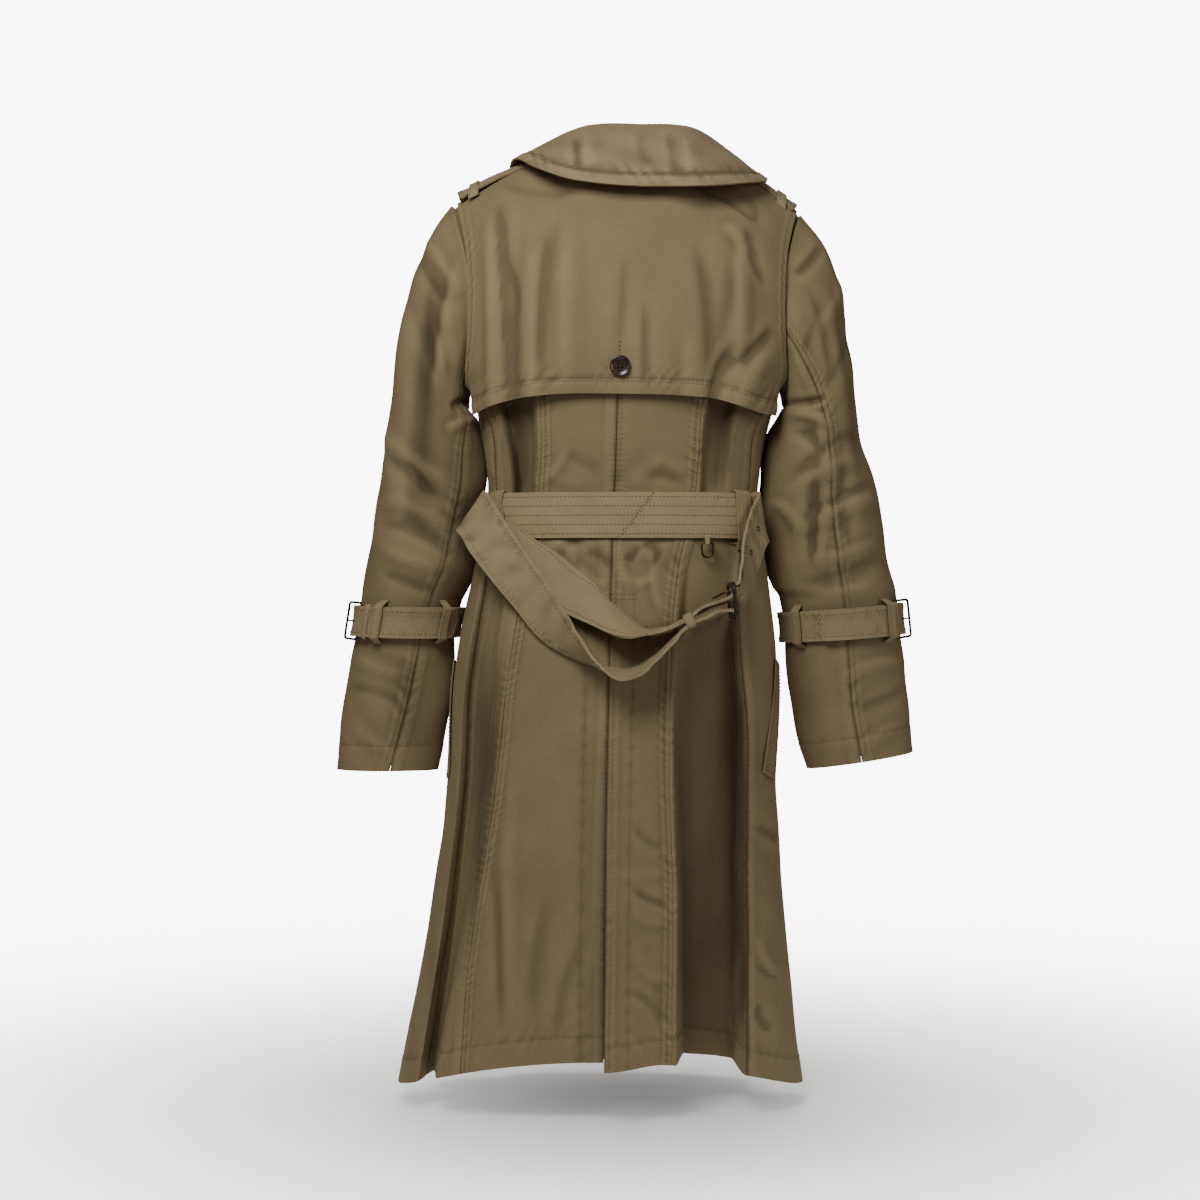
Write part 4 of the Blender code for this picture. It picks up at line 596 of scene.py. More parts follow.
# ---- epaulettes
# distance from the coat's axis, height of the strap's underside above the shoulder seam
EPAULETTE_RISE_LEFT = Profile((0.1, 0.0066), (0.13, 0.0072), (0.148, 0.0096), (0.164, 0.0102),
                              (0.184, 0.0125))
EPAULETTE_RISE_RIGHT = Profile((0.1, 0.0074), (0.184, 0.008))
EPAULETTE_HALF_WIDTH = Profile((0.1, 0.0175), (0.17, 0.0215), (0.181, 0.0205), (0.184, 0.013))


def shoulder_ridge(side, size):
    """Return the height of the shoulder seam at a distance from the coat's axis."""
    ridge, _ = upper_edge(side * np.linspace(NECK_CORNER, TIP, 60))
    distance = side * (ridge[:, 0] - LEAN.at(ridge[:, 2])[0])
    return np.interp(size, distance, ridge[:, 2])


def epaulette_grid(side, rise, distance, half_width, across):
    """Return points under an epaulette, arched over the shoulder seam."""
    y = across * half_width
    z = (shoulder_ridge(side, distance) + rise.at(distance)[0])[:, None] - y ** 2 / 0.046
    x = side * distance[:, None] + LEAN.at(z)[0]
    return np.stack([x, y + 0.003 + 0 * x, z], axis=-1)


# ---- cuff straps
def reach_of(side_name, heights):
    """Return the sleeve's reach value at real heights."""
    cuff_drop = SLEEVES[side_name][1].keys[-1]
    return 1 + (-heights - BICEP_DROP) / (cuff_drop - BICEP_DROP)


def strap_surface(side_name, around, heights, lift):
    """Return points at real heights on a sleeve, moved out by lift."""
    reach = reach_of(side_name, heights)
    points = sleeve_point(side_name, around, reach)
    return points + sleeve_normal(side_name, around, reach) * np.broadcast_to(lift, reach.shape)[..., None]


# start angle, angle of the free tip, height at the back, slope of the strap, loop angles, keeper angle
CUFF_STRAPS = {
    "left": (27.0, 153.0, -0.5035, 0.0, (64.0, 131.0), 49.0),
    "right": (27.0, 118.0, -0.505, 0.075, (47.0, 138.0), 38.0),
}


def strap_height(side_name, around):
    """Return the height of the strap's middle at an angle round the sleeve."""
    _, _, height, slope, _, _ = CUFF_STRAPS[side_name]
    return height + slope * 0.06 * np.cos(np.radians(around))


# ---- belt
# The route of the belt: one edge then the other, from the end that holds the buckle, down and
# round to the fold at the left loop, and then, past the back, from the right loop to the tip.
BELT_LEFT = (
    (-0.1085, 0.144, -0.4905, -0.11, 0.096, -0.4905),
    (-0.0928, 0.147, -0.4905, -0.097, 0.099, -0.4925),
    (-0.076, 0.153, -0.497, -0.0803, 0.105, -0.5005),
    (-0.0594, 0.16, -0.5038, -0.0612, 0.112, -0.5032),
    (-0.042, 0.168, -0.5224, -0.0422, 0.12, -0.5185),
    (-0.0232, 0.174, -0.542, -0.0212, 0.126, -0.5381),
    (-0.0059, 0.177, -0.5566, -0.0025, 0.13, -0.5494),
    (0.0134, 0.178, -0.5595, 0.0203, 0.13, -0.5504),
    (0.0327, 0.174, -0.5471, 0.0431, 0.126, -0.5453),
    (0.0523, 0.165, -0.5195, 0.0721, 0.124, -0.534),
    (0.069, 0.147, -0.4911, 0.094, 0.118, -0.5195),
    (0.086, 0.13, -0.4624, 0.1185, 0.112, -0.4913),
    (0.1047, 0.113, -0.4362, 0.1435, 0.104, -0.4622),
    (0.1347, 0.0935, -0.3927, 0.1681, 0.088, -0.4311),
    (0.1507, 0.074, -0.3674, 0.1815, 0.068, -0.4098),
    (0.1554, 0.062, -0.3638, 0.1856, 0.057, -0.4065),
    (0.1525, 0.052, -0.366, 0.18, 0.048, -0.41))
BELT_RIGHT = (
    (-0.1345, 0.06, -0.3645, -0.1402, 0.0572, -0.4165),
    (-0.136, 0.065, -0.367, -0.145, 0.0602, -0.419),
    (-0.1315, 0.074, -0.375, -0.144, 0.065, -0.42),
    (-0.1236, 0.087, -0.394, -0.141, 0.068, -0.426),
    (-0.118, 0.102, -0.4145, -0.1375, 0.074, -0.436),
    (-0.1145, 0.118, -0.4424, -0.129, 0.081, -0.456),
    (-0.108, 0.133, -0.469, -0.1185, 0.09, -0.471),
    (-0.0975, 0.143, -0.4785, -0.102, 0.097, -0.48),
    (-0.0762, 0.14, -0.4852, -0.0851, 0.101, -0.4863),
    (-0.0578, 0.153, -0.4983, -0.0617, 0.108, -0.497),
    (-0.035, 0.163, -0.5097, -0.0384, 0.121, -0.5072),
    (-0.0167, 0.165, -0.5147, -0.0152, 0.125, -0.5112),
    (0.0028, 0.168, -0.5172, 0.0005, 0.126, -0.4997),
    (0.0177, 0.162, -0.5158, 0.0174, 0.126, -0.4866),
    (0.0409, 0.142, -0.5063, 0.0389, 0.122, -0.4638),
    (0.0721, 0.128, -0.4914, 0.0619, 0.112, -0.4438),
    (0.0984, 0.114, -0.4717, 0.0834, 0.106, -0.4269),
    (0.1196, 0.102, -0.4591, 0.099, 0.1, -0.4175),
    (0.1379, 0.09, -0.4442, 0.1147, 0.0955, -0.405),
    (0.15, 0.078, -0.433, 0.129, 0.089, -0.3955))
BELT_BACK_ANGLES = (66.0, -60.0)
BELT_CLEARANCE = 0.0036
BELT_KEEPER = (-0.06, 0.1335, -0.5011)
D_RING = (-0.0798, 0.101, -0.42)
# side of the coat, angles of the loop's two edges
BELT_LOOPS = (("left", 65.0, 50.5), ("right", -45.0, -57.5))
BELT_BUCKLE = ((-0.1045, 0.155, -0.464), (-0.1069, 0.155, -0.4964), (-0.104, 0.0905, -0.497),
               (-0.102, 0.0905, -0.4644))
BELT_PRONG = ((-0.1105, 0.1535, -0.4645), (-0.0832, 0.1495, -0.4785))


def under_belt(angle, height, lift):
    """Return points on the straight band between the belt's two edges, moved out by lift.

    The band touches the coat at the belt's top and bottom edges and bridges the waist between.
    """
    angle, height = np.broadcast_arrays(np.asarray(angle, dtype=float), np.asarray(height, dtype=float))
    top = body_point(angle, np.full_like(angle, -BELT_TOP), folded=False)
    bottom = body_point(angle, np.full_like(angle, -BELT_BOTTOM), folded=False)
    t = ((height - top[..., 2]) / (bottom[..., 2] - top[..., 2]))[..., None]
    normal = body_normal(angle, np.full_like(angle, -(BELT_TOP + BELT_BOTTOM) / 2), folded=False)
    normal[..., 2] = 0.0
    return top + (bottom - top) * t + unit(normal) * np.broadcast_to(lift, angle.shape)[..., None]


def back_belt_rows():
    """Return the belt's edges where it crosses the back, just clear of the panels."""
    angles = np.linspace(*BELT_BACK_ANGLES, 13)
    top = under_belt(angles, BELT_TOP, BELT_CLEARANCE)
    bottom = under_belt(angles, BELT_BOTTOM, BELT_CLEARANCE)
    return list(np.concatenate([top, bottom], axis=-1))


def belt_route(step):
    """Return the belt's two edges, evenly spaced along its whole length."""
    rows = np.array(list(BELT_LEFT) + back_belt_rows() + list(BELT_RIGHT))
    middle = (rows[:, :3] + rows[:, 3:]) / 2
    travel = run_along(middle)
    route = Profile(*[(place, *row) for place, row in zip(travel, rows)])
    places = np.linspace(0, travel[-1], int(travel[-1] / step))
    return np.moveaxis(np.array(route.at(places)), 0, -1)


# ---- creases
# Each row, in millimetres: x and z where a crease starts, x and z where it ends, bow to one side,
# width, and height; a trough is below zero.
FLAP_CREASES = (
    (140, -60, 127, -175, 3, 9, -5), (130, -130, 124, -300, 2, 11, -8.5), (150, -80, 146, -300, -2, 9, 4.5),
    (105, -100, 104, -300, 0, 10, 2.8), (85, -91, 97, -257, 4, 9, -3), (69, -81, 70, -264, 0, 10, 1.6),
    (8, -124, 15, -221, 0, 7, -0.9), (-13, -173, -14, -264, 0, 5, -1.4), (-69, -110, -81, -269, -6, 12, -3),
    (-115, -108, -114, -275, 0, 8, 2.6), (-66, -36, -140, -78, -8, 11, -6.5), (-100, -82, -122, -120, -3, 9, 3),
    (-122, -85, -142, -150, 3, 7, -3), (-112, -110, -104, -220, -3, 12, 3),
    (-150, -194, -104, -236, -4, 8, -4.5), (-104, -215, -80, -300, 3, 9, -7),
    (-140, -215, -106, -290, 0, 11, 4), (-62, -200, -60, -290, 0, 12, 2), (141, -32, 56, -49, 6, 9, -1.5))
BACK_CREASES = (
    (97, -360, 66, -322, 3, 6, 1.8), (75, -327, 32, -348, -3, 8, -1.3), (95, -341, 46, -358, 4, 9, 1.2),
    (1, -358, -31, -329, 3, 9, 1.6), (-11, -348, -55, -358, -3, 7, -1.5), (-26, -327, -62, -346, 3, 7, 1),
    (87, -423, 58, -437, -6, 6, 1.8), (75, -437, 51, -418, -6, 6, -1.8), (56, -447, 27, -466, 3, 5, 1.5),
    (46, -428, 21, -447, -4, 7, -1.6), (15, -425, 3, -466, 4, 6, 2.2), (3, -440, -9, -423, 0, 5, -1.8),
    (-11, -421, -26, -442, -8, 6, -2.6), (-23, -442, -32, -495, 3, 6, 2.4), (-4, -466, -23, -457, 0, 5, 1.4),
    (-38, -529, -40, -673, 0, 4, 1.4))
SKIRT_CREASES = (
    (125, -672, 127, -920, 4, 8, 1.6), (146, -751, 135, -920, -3, 8, -1.8), (88, -793, 104, -909, 4, 10, -1),
    (51, -829, 77, -931, 6, 9, -1.2), (-2, -778, -38, -796, 3, 5, -1.9), (1, -800, -38, -813, 3, 7, 1.3),
    (-2, -713, -33, -737, 4, 6, -1.2), (-4, -829, -33, -876, 8, 8, 1.2), (4, -881, -31, -923, -8, 6, -1.4),
    (-23, -871, -33, -921, 0, 7, -1.2), (14, -763, -38, -758, 4, 7, 0.9), (-134, -719, -158, -738, 0, 5, -2),
    (-132, -832, -156, -883, 4, 6, 1.6), (-132, -864, -156, -883, 0, 3, -1.6),
    (-132, -904, -148, -934, 4, 5, -2))
# Drag lines of the front: from the lapels' fold, round the waist and down the skirt.
FRONT_CREASES = (
    (130, -300, 70, -345, 5, 10, 2), (120, -330, 60, -370, -4, 9, -1.8), (-130, -290, -80, -350, -5, 10, 2),
    (-120, -340, -50, -375, 4, 9, -1.8), (40, -300, 60, -420, 6, 9, -1.4), (-30, -310, -20, -430, -5, 9, -1.2),
    (110, -420, 60, -470, 5, 8, 1.6), (-110, -410, -60, -460, -5, 8, 1.6), (90, -560, 110, -900, 8, 14, 2),
    (-80, -580, -100, -880, -8, 14, 1.8), (10, -620, 20, -930, 5, 12, -1.5), (50, -700, -10, -760, 4, 8, 1))
SLEEVE_CREASES = (
    (212, -125, 236, -420, 4, 15, -7), (238, -150, 268, -400, 5, 12, 4), (183, -120, 206, -260, 3, 9, 3.5),
    (168, -262, 190, -278, 2, 5, -4.5), (170, -285, 196, -300, 2, 6, 3), (-166, -270, -206, -266, 3, 4, -6),
    (-176, -281, -212, -298, -3, 6, 4.5), (-180, -300, -206, -328, -3, 7, -5),
    (-200, -300, -222, -360, 4, 8, 3.5), (-192, -150, -214, -250, -4, 9, -3.5),
    (-222, -160, -250, -360, -5, 12, -5), (-194, -350, -196, -436, 2, 7, -6), (-206, -380, -202, -446, 2, 5, 4),
    (-160, -372, -184, -410, -3, 5, 3.5), (-224, -330, -232, -420, 3, 9, -4),
    (232, -100, 188, -166, 6, 9, -2.5), (222, -90, 183, -150, 0, 7, 2), (240, -140, 192, -252, 8, 10, -3),
    (205, -180, 188, -250, 0, 7, -2.4), (262, -300, 200, -352, 6, 9, 2.4), (262, -318, 196, -372, 6, 9, -2.4),
    (268, -372, 198, -402, -6, 10, 2.6), (266, -398, 190, -430, -6, 9, -2.8), (272, -420, 200, -446, 4, 9, 2.2),
    (268, -450, 205, -474, 0, 7, -1.8), (300, -540, 240, -560, 4, 8, 1.6), (305, -575, 250, -590, -4, 7, -1.6),
    (300, -610, 262, -640, 4, 8, 1.4), (-205, -98, -176, -132, -3, 6, -4), (-200, -180, -178, -223, 0, 7, -2.5),
    (-232, -128, -190, -200, -6, 9, 2.4), (-245, -180, -200, -262, -6, 9, -2.4),
    (-246, -300, -176, -345, 5, 9, -2.6), (-250, -325, -170, -365, 5, 9, 2.6),
    (-262, -368, -176, -412, 5, 9, 2.6), (-262, -352, -180, -392, 0, 8, -2.6),
    (-266, -416, -183, -436, -5, 8, 2.2), (-266, -436, -188, -461, -4, 9, -2.6),
    (-262, -462, -195, -482, 0, 7, 1.8), (-296, -540, -225, -566, 4, 8, 1.6),
    (-300, -575, -235, -596, -4, 8, -1.6), (-296, -612, -250, -640, 4, 8, 1.4))
COLLAR_CREASES = (
    (60, 10, 56, -30, 0, 5, -1.6), (48, 16, 44, -30, 0, 8, 1.4), (-10, 16, -18, -30, 2, 8, -1),
    (-40, 16, -46, -34, 0, 7, -1.4), (-56, 10, -64, -34, 0, 7, 1.2))
# Each row, in millimetres: x and z where a deep shade starts, x and z where it ends, width, and its
# strength from 0 to 1.
LEFT_RECESS_SHADE = (
    (121, -255, 117, -385, 14, 1), (156, -520, 160, -960, 14, 1), (135, -540, 150, -700, 9, 0.5))
RIGHT_RECESS_SHADE = (
    (-108, -265, -88, -370, 10, 0.7), (-52, -540, -58, -970, 11, 0.6), (-75, -480, -88, -970, 24, 0.4),
    (-106, -500, -122, -990, 15, 1.1), (-116, -560, -130, -990, 8, 0.4))
BACK_SHADE = (
    (70, -438, -70, -440, 11, 0.4), (20, -470, 12, -500, 6, 0.35), (40, -600, 36, -960, 30, 0.2),
    (85, -740, 100, -960, 14, 0.22), (-30, -640, -34, -960, 8, 0.18))
FLAP_SHADE = (
    (118, -90, 112, -235, 13, 0.3), (-105, -130, -92, -235, 8, 0.32), (-52, -100, -70, -235, 12, 0.18))
SLEEVE_SHADE = (
    (211, -125, 221, -415, 15, 0.95), (240, -535, 247, -640, 18, 0.55), (190, -300, 186, -460, 9, 0.45),
    (-182, -150, -192, -300, 9, 0.35), (-200, -350, -198, -440, 8, 0.4))
# What turns a crease of a sleeve's back into one of its front.
FRONT_OF_SLEEVE = (1, 1, 1, 1, -1, 1, 0.8)


def creases(points, facing, rows, back=True):
    """Return how far creases lift the cloth on the half that faces backward or forward."""
    lift = np.zeros(points.shape[:2])
    shown = ease(0.5 + 2.2 * (facing[..., 1] if back else -facing[..., 1]))
    x, z = points[..., 0], points[..., 2]
    for x0, z0, x1, z1, bow, width, height in np.array(rows) * 0.001:
        run = np.array([x1 - x0, z1 - z0])
        length = np.hypot(*run)
        run = run / length
        t = ((x - x0) * run[0] + (z - z0) * run[1]) / length
        near = ((x - x0) * -run[1] + (z - z0) * run[0] - bow * 4 * t * (1 - t)) / width
        steep = near * np.where(near > 0, 1.25, 0.85)
        ends = ease((t + 0.12) / 0.4) * ease((1.12 - t) / 0.4)
        lift += height * np.exp(-steep * steep) * ends * shown
    return lift


def swells(points, size, seed):
    """Return a smooth, uneven field between about -1 and 1, of a given size in metres."""
    total = np.zeros(points.shape[:-1])
    for step in range(5):
        turn = seed * 1.7 + step * 2.39
        direction = np.array([math.cos(turn), math.sin(turn * 1.3), math.sin(turn)])
        pitch = size * (0.75 + 0.22 * step)
        total += np.sin(points @ direction * 2 * math.pi / pitch + seed * 3.1 + step * 1.9)
    return total / 3.2


# ---- fine cloth
class Cloth:
    """A fine grid of points on the coat that is sewn, creased and then built as a closed sheet."""

    def __init__(self, points, normals, thickness=CLOTH):
        self.base = points
        self.normals = normals
        self.thickness = thickness
        # dark holds painted shade, which darkens the cloth's colour.
        self.lift, self.dark, self.gather = np.zeros((3,) + points.shape[:2])
        self.steps = [np.linalg.norm(np.diff(points, axis=axis), axis=-1) for axis in (1, 0)]
        self.across = np.pad(np.cumsum(self.steps[0], axis=1), ((0, 0), (1, 0)))
        self.along = np.pad(np.cumsum(self.steps[1], axis=0), ((1, 0), (0, 0)))

    def away(self, side):
        """Return each point's distance from one side of the grid."""
        return {"first": self.across, "last": self.across[:, -1:] - self.across,
                "top": self.along, "hem": self.along[-1:] - self.along}[side]

    def sew(self, side, rows=(), pucker=0.0, pitch=0.011, reach=0.0075, allowance=0.01, groove=0.0009,
            seed=0.0, travel=None):
        """Sew one side: its groove, the cloth doubled under it, stitch rows and their puckers."""
        away = self.away(side)
        upright = side in ("first", "last")
        if travel is None:
            travel = self.along if upright else self.across
        middle = rows[0] if rows else 0.0
        wander = 0.34 * np.sin(travel / pitch * 1.17 + seed) + 0.45 * np.sin(travel / pitch * 0.43 + 2 * seed)
        strength = 0.5 + 0.5 * np.sin(travel / 0.031 + seed) * np.sin(travel / 0.0137 + 2.3 * seed)
        wave = np.sin(2 * math.pi * (travel / pitch + PUCKER_SLANT * away / pitch + wander))
        self.lift += pucker * strength * wave * np.exp(-((away - middle) / reach) ** 2)
        if allowance:
            self.lift += ALLOWANCE_RISE * (1 - ease((away - allowance) / 0.002))
        self.lift -= groove * np.exp(-away / GROOVE_HALF)
        # Painted shade: the cloth darkens along the seam's groove.
        self.dark += 0.38 * np.exp(-away / 0.0011) * (groove > 0)
        beside = np.exp(-((away - middle) / 0.0055) ** 2) * (0.55 + 0.45 * strength)
        self.gather += 0.65 * beside if upright else -0.35 * beside
        for offset in rows:
            row = np.exp(-((away - offset) / STITCH_HALF) ** 2)
            self.lift -= STITCH_SINK * row
            # Painted shade: the cloth darkens in each stitch row's furrow.
            self.dark += 0.13 * row

    def sew_hem(self, seed):
        """Turn up and sew the hem of a body panel."""
        sizes = bpy.context.scene.coat_sizes
        self.sew("hem", (sizes.hem_depth,), 0.5 * sizes.seam_pucker, pitch=HEM_PITCH, reach=HEM_PITCH,
                 allowance=sizes.hem_depth, groove=0, seed=seed)

    def crease(self, *tables, back=True):
        """Lay listed creases on the side that faces backward or forward."""
        for rows in tables:
            self.lift += creases(self.base, self.normals, rows, back)

    def in_shade(self, rows):
        """Paint shade into the colour of the cloth that lies deep in a fold; rows run like creases, with a
        strength.
        """
        for x0, z0, x1, z1, width, strength in rows:
            self.dark += strength * creases(self.base, self.normals, ((x0, z0, x1, z1, 0, width, 1000.0),))

    def settle(self, amount=0.0008, size=0.095, seed=1.0):
        """Let the cloth lie a little unevenly."""
        self.lift += amount * swells(self.base, size, seed)

    def surface(self):
        """Return the outer face."""
        return self.base + self.normals * self.lift[..., None]

    def line(self, side, offset, margin=0.0, above=None, below=None):
        """Return points and directions along a line at an offset from one side."""
        away, face, normals = self.away(side), self.surface(), self.normals
        if side in ("top", "hem"):
            away, face, normals = away.T, face.swapaxes(0, 1), normals.swapaxes(0, 1)
        if side in ("last", "hem"):
            away, face, normals = away[:, ::-1], face[:, ::-1], normals[:, ::-1]
        points, directions = (np.array([read_along(distance, row, offset) for distance, row in zip(away, grid)
                                        if distance[-1] >= offset]) for grid in (face, normals))
        run = run_along(points)
        keep = (run >= margin) & (run <= run[-1] - margin)
        if above is not None:
            keep = keep & (points[:, 2] > above)
        if below is not None:
            keep = keep & (points[:, 2] < below)
        return points[keep], directions[keep]

    def lines(self, *sides, offset, margin=0.0):
        """Return one line for each side, all at one offset."""
        return [self.line(side, offset, margin) for side in sides]

    def shade(self):
        """Return the tone painted into the cloth: above zero on ridges, pale from wear and as painted highlight,
        and below zero as painted shade in grooves, stitch furrows and folds.
        """
        blur = self.lift.copy()
        for _ in range(6):
            padded = np.pad(blur, 1, mode="edge")
            blur = (padded[:-2, 1:-1] + padded[2:, 1:-1] + padded[1:-1, :-2] + padded[1:-1, 2:]) / 4
        return np.clip((self.lift - blur) / 0.0006, -1, 1) * 0.6 - self.dark

    def sheet(self, name, material):
        """Build a closed mesh between the two faces, with its cloth measured in metres as UV."""
        outer = self.surface()
        inner = outer - self.normals * self.thickness
        rows, columns = outer.shape[:2]
        count = rows * columns
        index = np.arange(count).reshape(rows, columns)
        quads = np.stack([index[:-1, :-1], index[:-1, 1:], index[1:, 1:], index[1:, :-1]], axis=-1).reshape(-1, 4)
        rim = np.concatenate([index[0], index[1:, -1], index[-1, -2::-1], index[-2:0:-1, 0]])
        after = np.roll(rim, -1)
        faces = np.concatenate([quads, quads[:, ::-1] + count,
                                np.stack([after, rim, rim + count, after + count], axis=-1)])
        row, column = rows // 2, columns // 2
        normal = np.cross(outer[row, column] - outer[row - 1, column - 1],
                          outer[row, column - 1] - outer[row - 1, column])
        if np.dot(normal, outer[row, column] - inner[row, column]) < 0:
            faces = faces[:, ::-1]
        points = np.concatenate([outer.reshape(-1, 3), inner.reshape(-1, 3)])
        piece = add_piece(name, points.tolist(), faces.tolist(), material)
        data = piece.data
        corners = np.empty(len(data.loops), dtype=np.int32)
        data.loops.foreach_get("vertex_index", corners)
        measured = np.stack([self.across.ravel(), -self.along.ravel()], axis=-1)
        data.uv_layers.new(name="cloth").data.foreach_set("uv", np.tile(measured, (2, 1))[corners].ravel())
        # The first attribute holds pale wear with painted highlight on ridges, and painted shade in grooves and
        # folds.
        for key, values in (("wear_and_painted_light", self.shade()), ("gathered", self.gather)):
            values = np.concatenate([values.ravel(), 0 * values.ravel()]).astype(np.float32)
            data.attributes.new(key, "FLOAT", "POINT").data.foreach_set("value", values)
        return piece

    def build(self, name, lines=(), held="hung", rests_on=(), firm=False, stitch=None):
        """Stitch the lines and build the sheet in its frame node's place."""
        kinds = materials()
        sewn = [stitching(f"{name}_stitching", lines, kinds["spun polyester thread"], stitch)] if lines else []
        piece = self.sheet(f"{name}_cloth", kinds["firm cotton gabardine" if firm else "cotton gabardine"])
        put_on(piece, "gabardine", name)


# ---- stitches and small solids
def add_piece(name, verts, faces, material, sharp=50):
    """Put a mesh into the scene, smooth but for its sharp edges."""
    data = bpy.data.meshes.new(name)
    data.from_pydata(verts, [], faces)
    data.materials.append(material)
    data.shade_smooth()
    data.set_sharp_from_angle(angle=math.radians(sharp))
    piece = bpy.data.objects.new(name, data)
    bpy.context.scene.collection.objects.link(piece)
    return piece


def put_on(piece, slot, *nodes):
    """Let a piece ride on the coat in place of its frame nodes."""
    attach(piece, "root")
    if nodes:
        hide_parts(*nodes)
    return piece


def spaced(points, directions, pitch):
    """Return evenly spaced places along a line, with the run of the line and its directions."""
    run = run_along(points)
    places = np.arange(pitch / 2, run[-1] - pitch / 2, pitch)
    at = read_along(run, points, places)
    ahead = read_along(run, points, places + pitch / 3)
    return at, unit(ahead - at), unit(read_along(run, directions, places))


# share of a stitch's length, share of its radius, and rise above the cloth in radii
STITCH_RINGS = ((-0.5, 0.35, -0.6), (-0.3, 1.0, 0.5), (0.3, 1.0, 0.5), (0.5, 0.35, -0.6))


def stitching(name, lines, material, length=None, radius=0.00042):
    """Build one mesh of thread stitches along several lines of points and directions."""
    length = length or bpy.context.scene.coat_sizes.stitch_length
    verts, faces = [], []
    ring = [(math.cos(a), math.sin(a)) for a in (0.3, 1.87, 3.44, 5.01)]
    for points, directions in lines:
        if len(points) < 3:
            continue
        at, run, up = spaced(points, directions, length * 1.3)
        side = unit(np.cross(run, up))
        for place, ahead, across, out in zip(at, run, side, up):
            first = len(verts)
            for share, grow, rise in STITCH_RINGS:
                centre = place + ahead * share * length + out * rise * radius
                verts.extend(centre + radius * grow * (across * c + out * s) for c, s in ring)
            for near in range(first, first + 12):
                far = near + 1 if (near - first) % 4 < 3 else near - 3
                faces.append((near, far, far + 4, near + 4))
            faces.append((first + 3, first + 2, first + 1, first))
            faces.append((first + 12, first + 13, first + 14, first + 15))
    return put_on(add_piece(name, verts, faces, material), "gabardine")


def side_and_up(normal):
    """Return a direction as a unit vector, and the level and the upward direction across it."""
    normal = unit(np.array(normal))
    side = unit(np.cross(normal, UP))
    return normal, side, np.cross(side, normal)


def eyelet(place, normal, radius):
    """Return the lines of a round eyelet's stitches."""
    normal, side, up = side_and_up(normal)
    turns = np.linspace(0, 2 * math.pi, 26)[:, None]
    return [(place + (side * np.cos(turns) + up * np.sin(turns)) * size, normal + 0 * turns)
            for size in (radius, radius * 0.72, radius * 0.45)]


def buttonhole(place, normal, length):
    """Return the lines of an upright worked buttonhole with a bar at its top."""
    normal, side, up = side_and_up(normal)
    t = np.linspace(-0.5, 0.5, 20)[:, None]
    return ([(place + side * shift + up * length * t, normal + 0 * t)
             for shift in (-0.0011, -0.0005, 0.0005, 0.0011)]
            + [(place + up * (length / 2 + rise) + side * 0.0042 * t, normal + 0 * t)
               for rise in (0.0, 0.0008)])


def other_face(lines, thickness):
    """Return the same lines on the cloth's other face."""
    return [(points - unit(directions) * thickness, -directions) for points, directions in lines if len(points)]


def face_outward(piece):
    """Turn a closed mesh's faces outward."""
    mesh = bmesh.new()
    mesh.from_mesh(piece.data)
    bmesh.ops.recalc_face_normals(mesh, faces=mesh.faces)
    mesh.to_mesh(piece.data)
    mesh.free()
    return piece


def tube_faces(rings, sides, closed=True):
    """Return the faces of a tube of rings."""
    return [(here * sides + corner, here * sides + (corner + 1) % sides,
             (here + 1) % rings * sides + (corner + 1) % sides, (here + 1) % rings * sides + corner)
            for here in range(rings if closed else rings - 1) for corner in range(sides)]


def swept(name, points, radii, material, sides=16, closed=True, flat=None):
    """Build a tube through points; radii is one pair (across, out) for all of it."""
    points = np.array(points)
    count = len(points)
    centre = points.mean(axis=0)
    if flat is None:
        flat = unit(np.cross(points[0] - centre, points[count // 4] - centre))
    run = np.roll(points, -1, axis=0) - np.roll(points, 1, axis=0) if closed else np.gradient(points, axis=0)
    side = unit(np.cross(unit(run), flat))
    turns = np.linspace(0, 2 * math.pi, sides, endpoint=False)
    rings = points[:, None] + (side[:, None] * np.cos(turns)[None, :, None] * radii[0]
                               + flat * np.sin(turns)[None, :, None] * radii[1])
    faces = tube_faces(count, sides, closed)
    if not closed:
        faces.append(tuple(range(sides))[::-1])
        faces.append(tuple(range((count - 1) * sides, count * sides)))
    return face_outward(add_piece(name, rings.reshape(-1, 3).tolist(), faces, material, 60))


def turned(name, profile, place, axis, material, sides=48):
    """Turn a closed profile of (radius, height) about an axis through a place."""
    verts, faces, rings = [], [], []
    turns = np.linspace(0, 2 * math.pi, sides, endpoint=False)
    spin = Vector((0, 0, 1)).rotation_difference(Vector(axis)).to_matrix()
    for radius, height in profile:
        rings.append((len(verts), 1 if radius == 0 else sides))
        corners = [(radius * math.cos(turn), radius * math.sin(turn), height) for turn in turns[:rings[-1][1]]]
        verts.extend(tuple(spin @ Vector(corner) + Vector(place)) for corner in corners)
    for (low, low_count), (high, high_count) in zip(rings, rings[1:]):
        for corner in range(sides):
            after = (corner + 1) % sides
            if low_count == 1:
                faces.append((low, high + corner, high + after))
            elif high_count == 1:
                faces.append((low + corner, low + after, high))
            else:
                faces.append((low + corner, low + after, high + after, high + corner))
    return face_outward(add_piece(name, verts, faces, material, 40))


# share of the width, share of the thickness, round the section of a band
BAND_SECTION = ((-0.5, 0.15), (-0.42, 1), (0, 1.12), (0.42, 1), (0.5, 0.15), (0.42, 0), (-0.42, 0))
BAND_SQUARENESS = 0.35


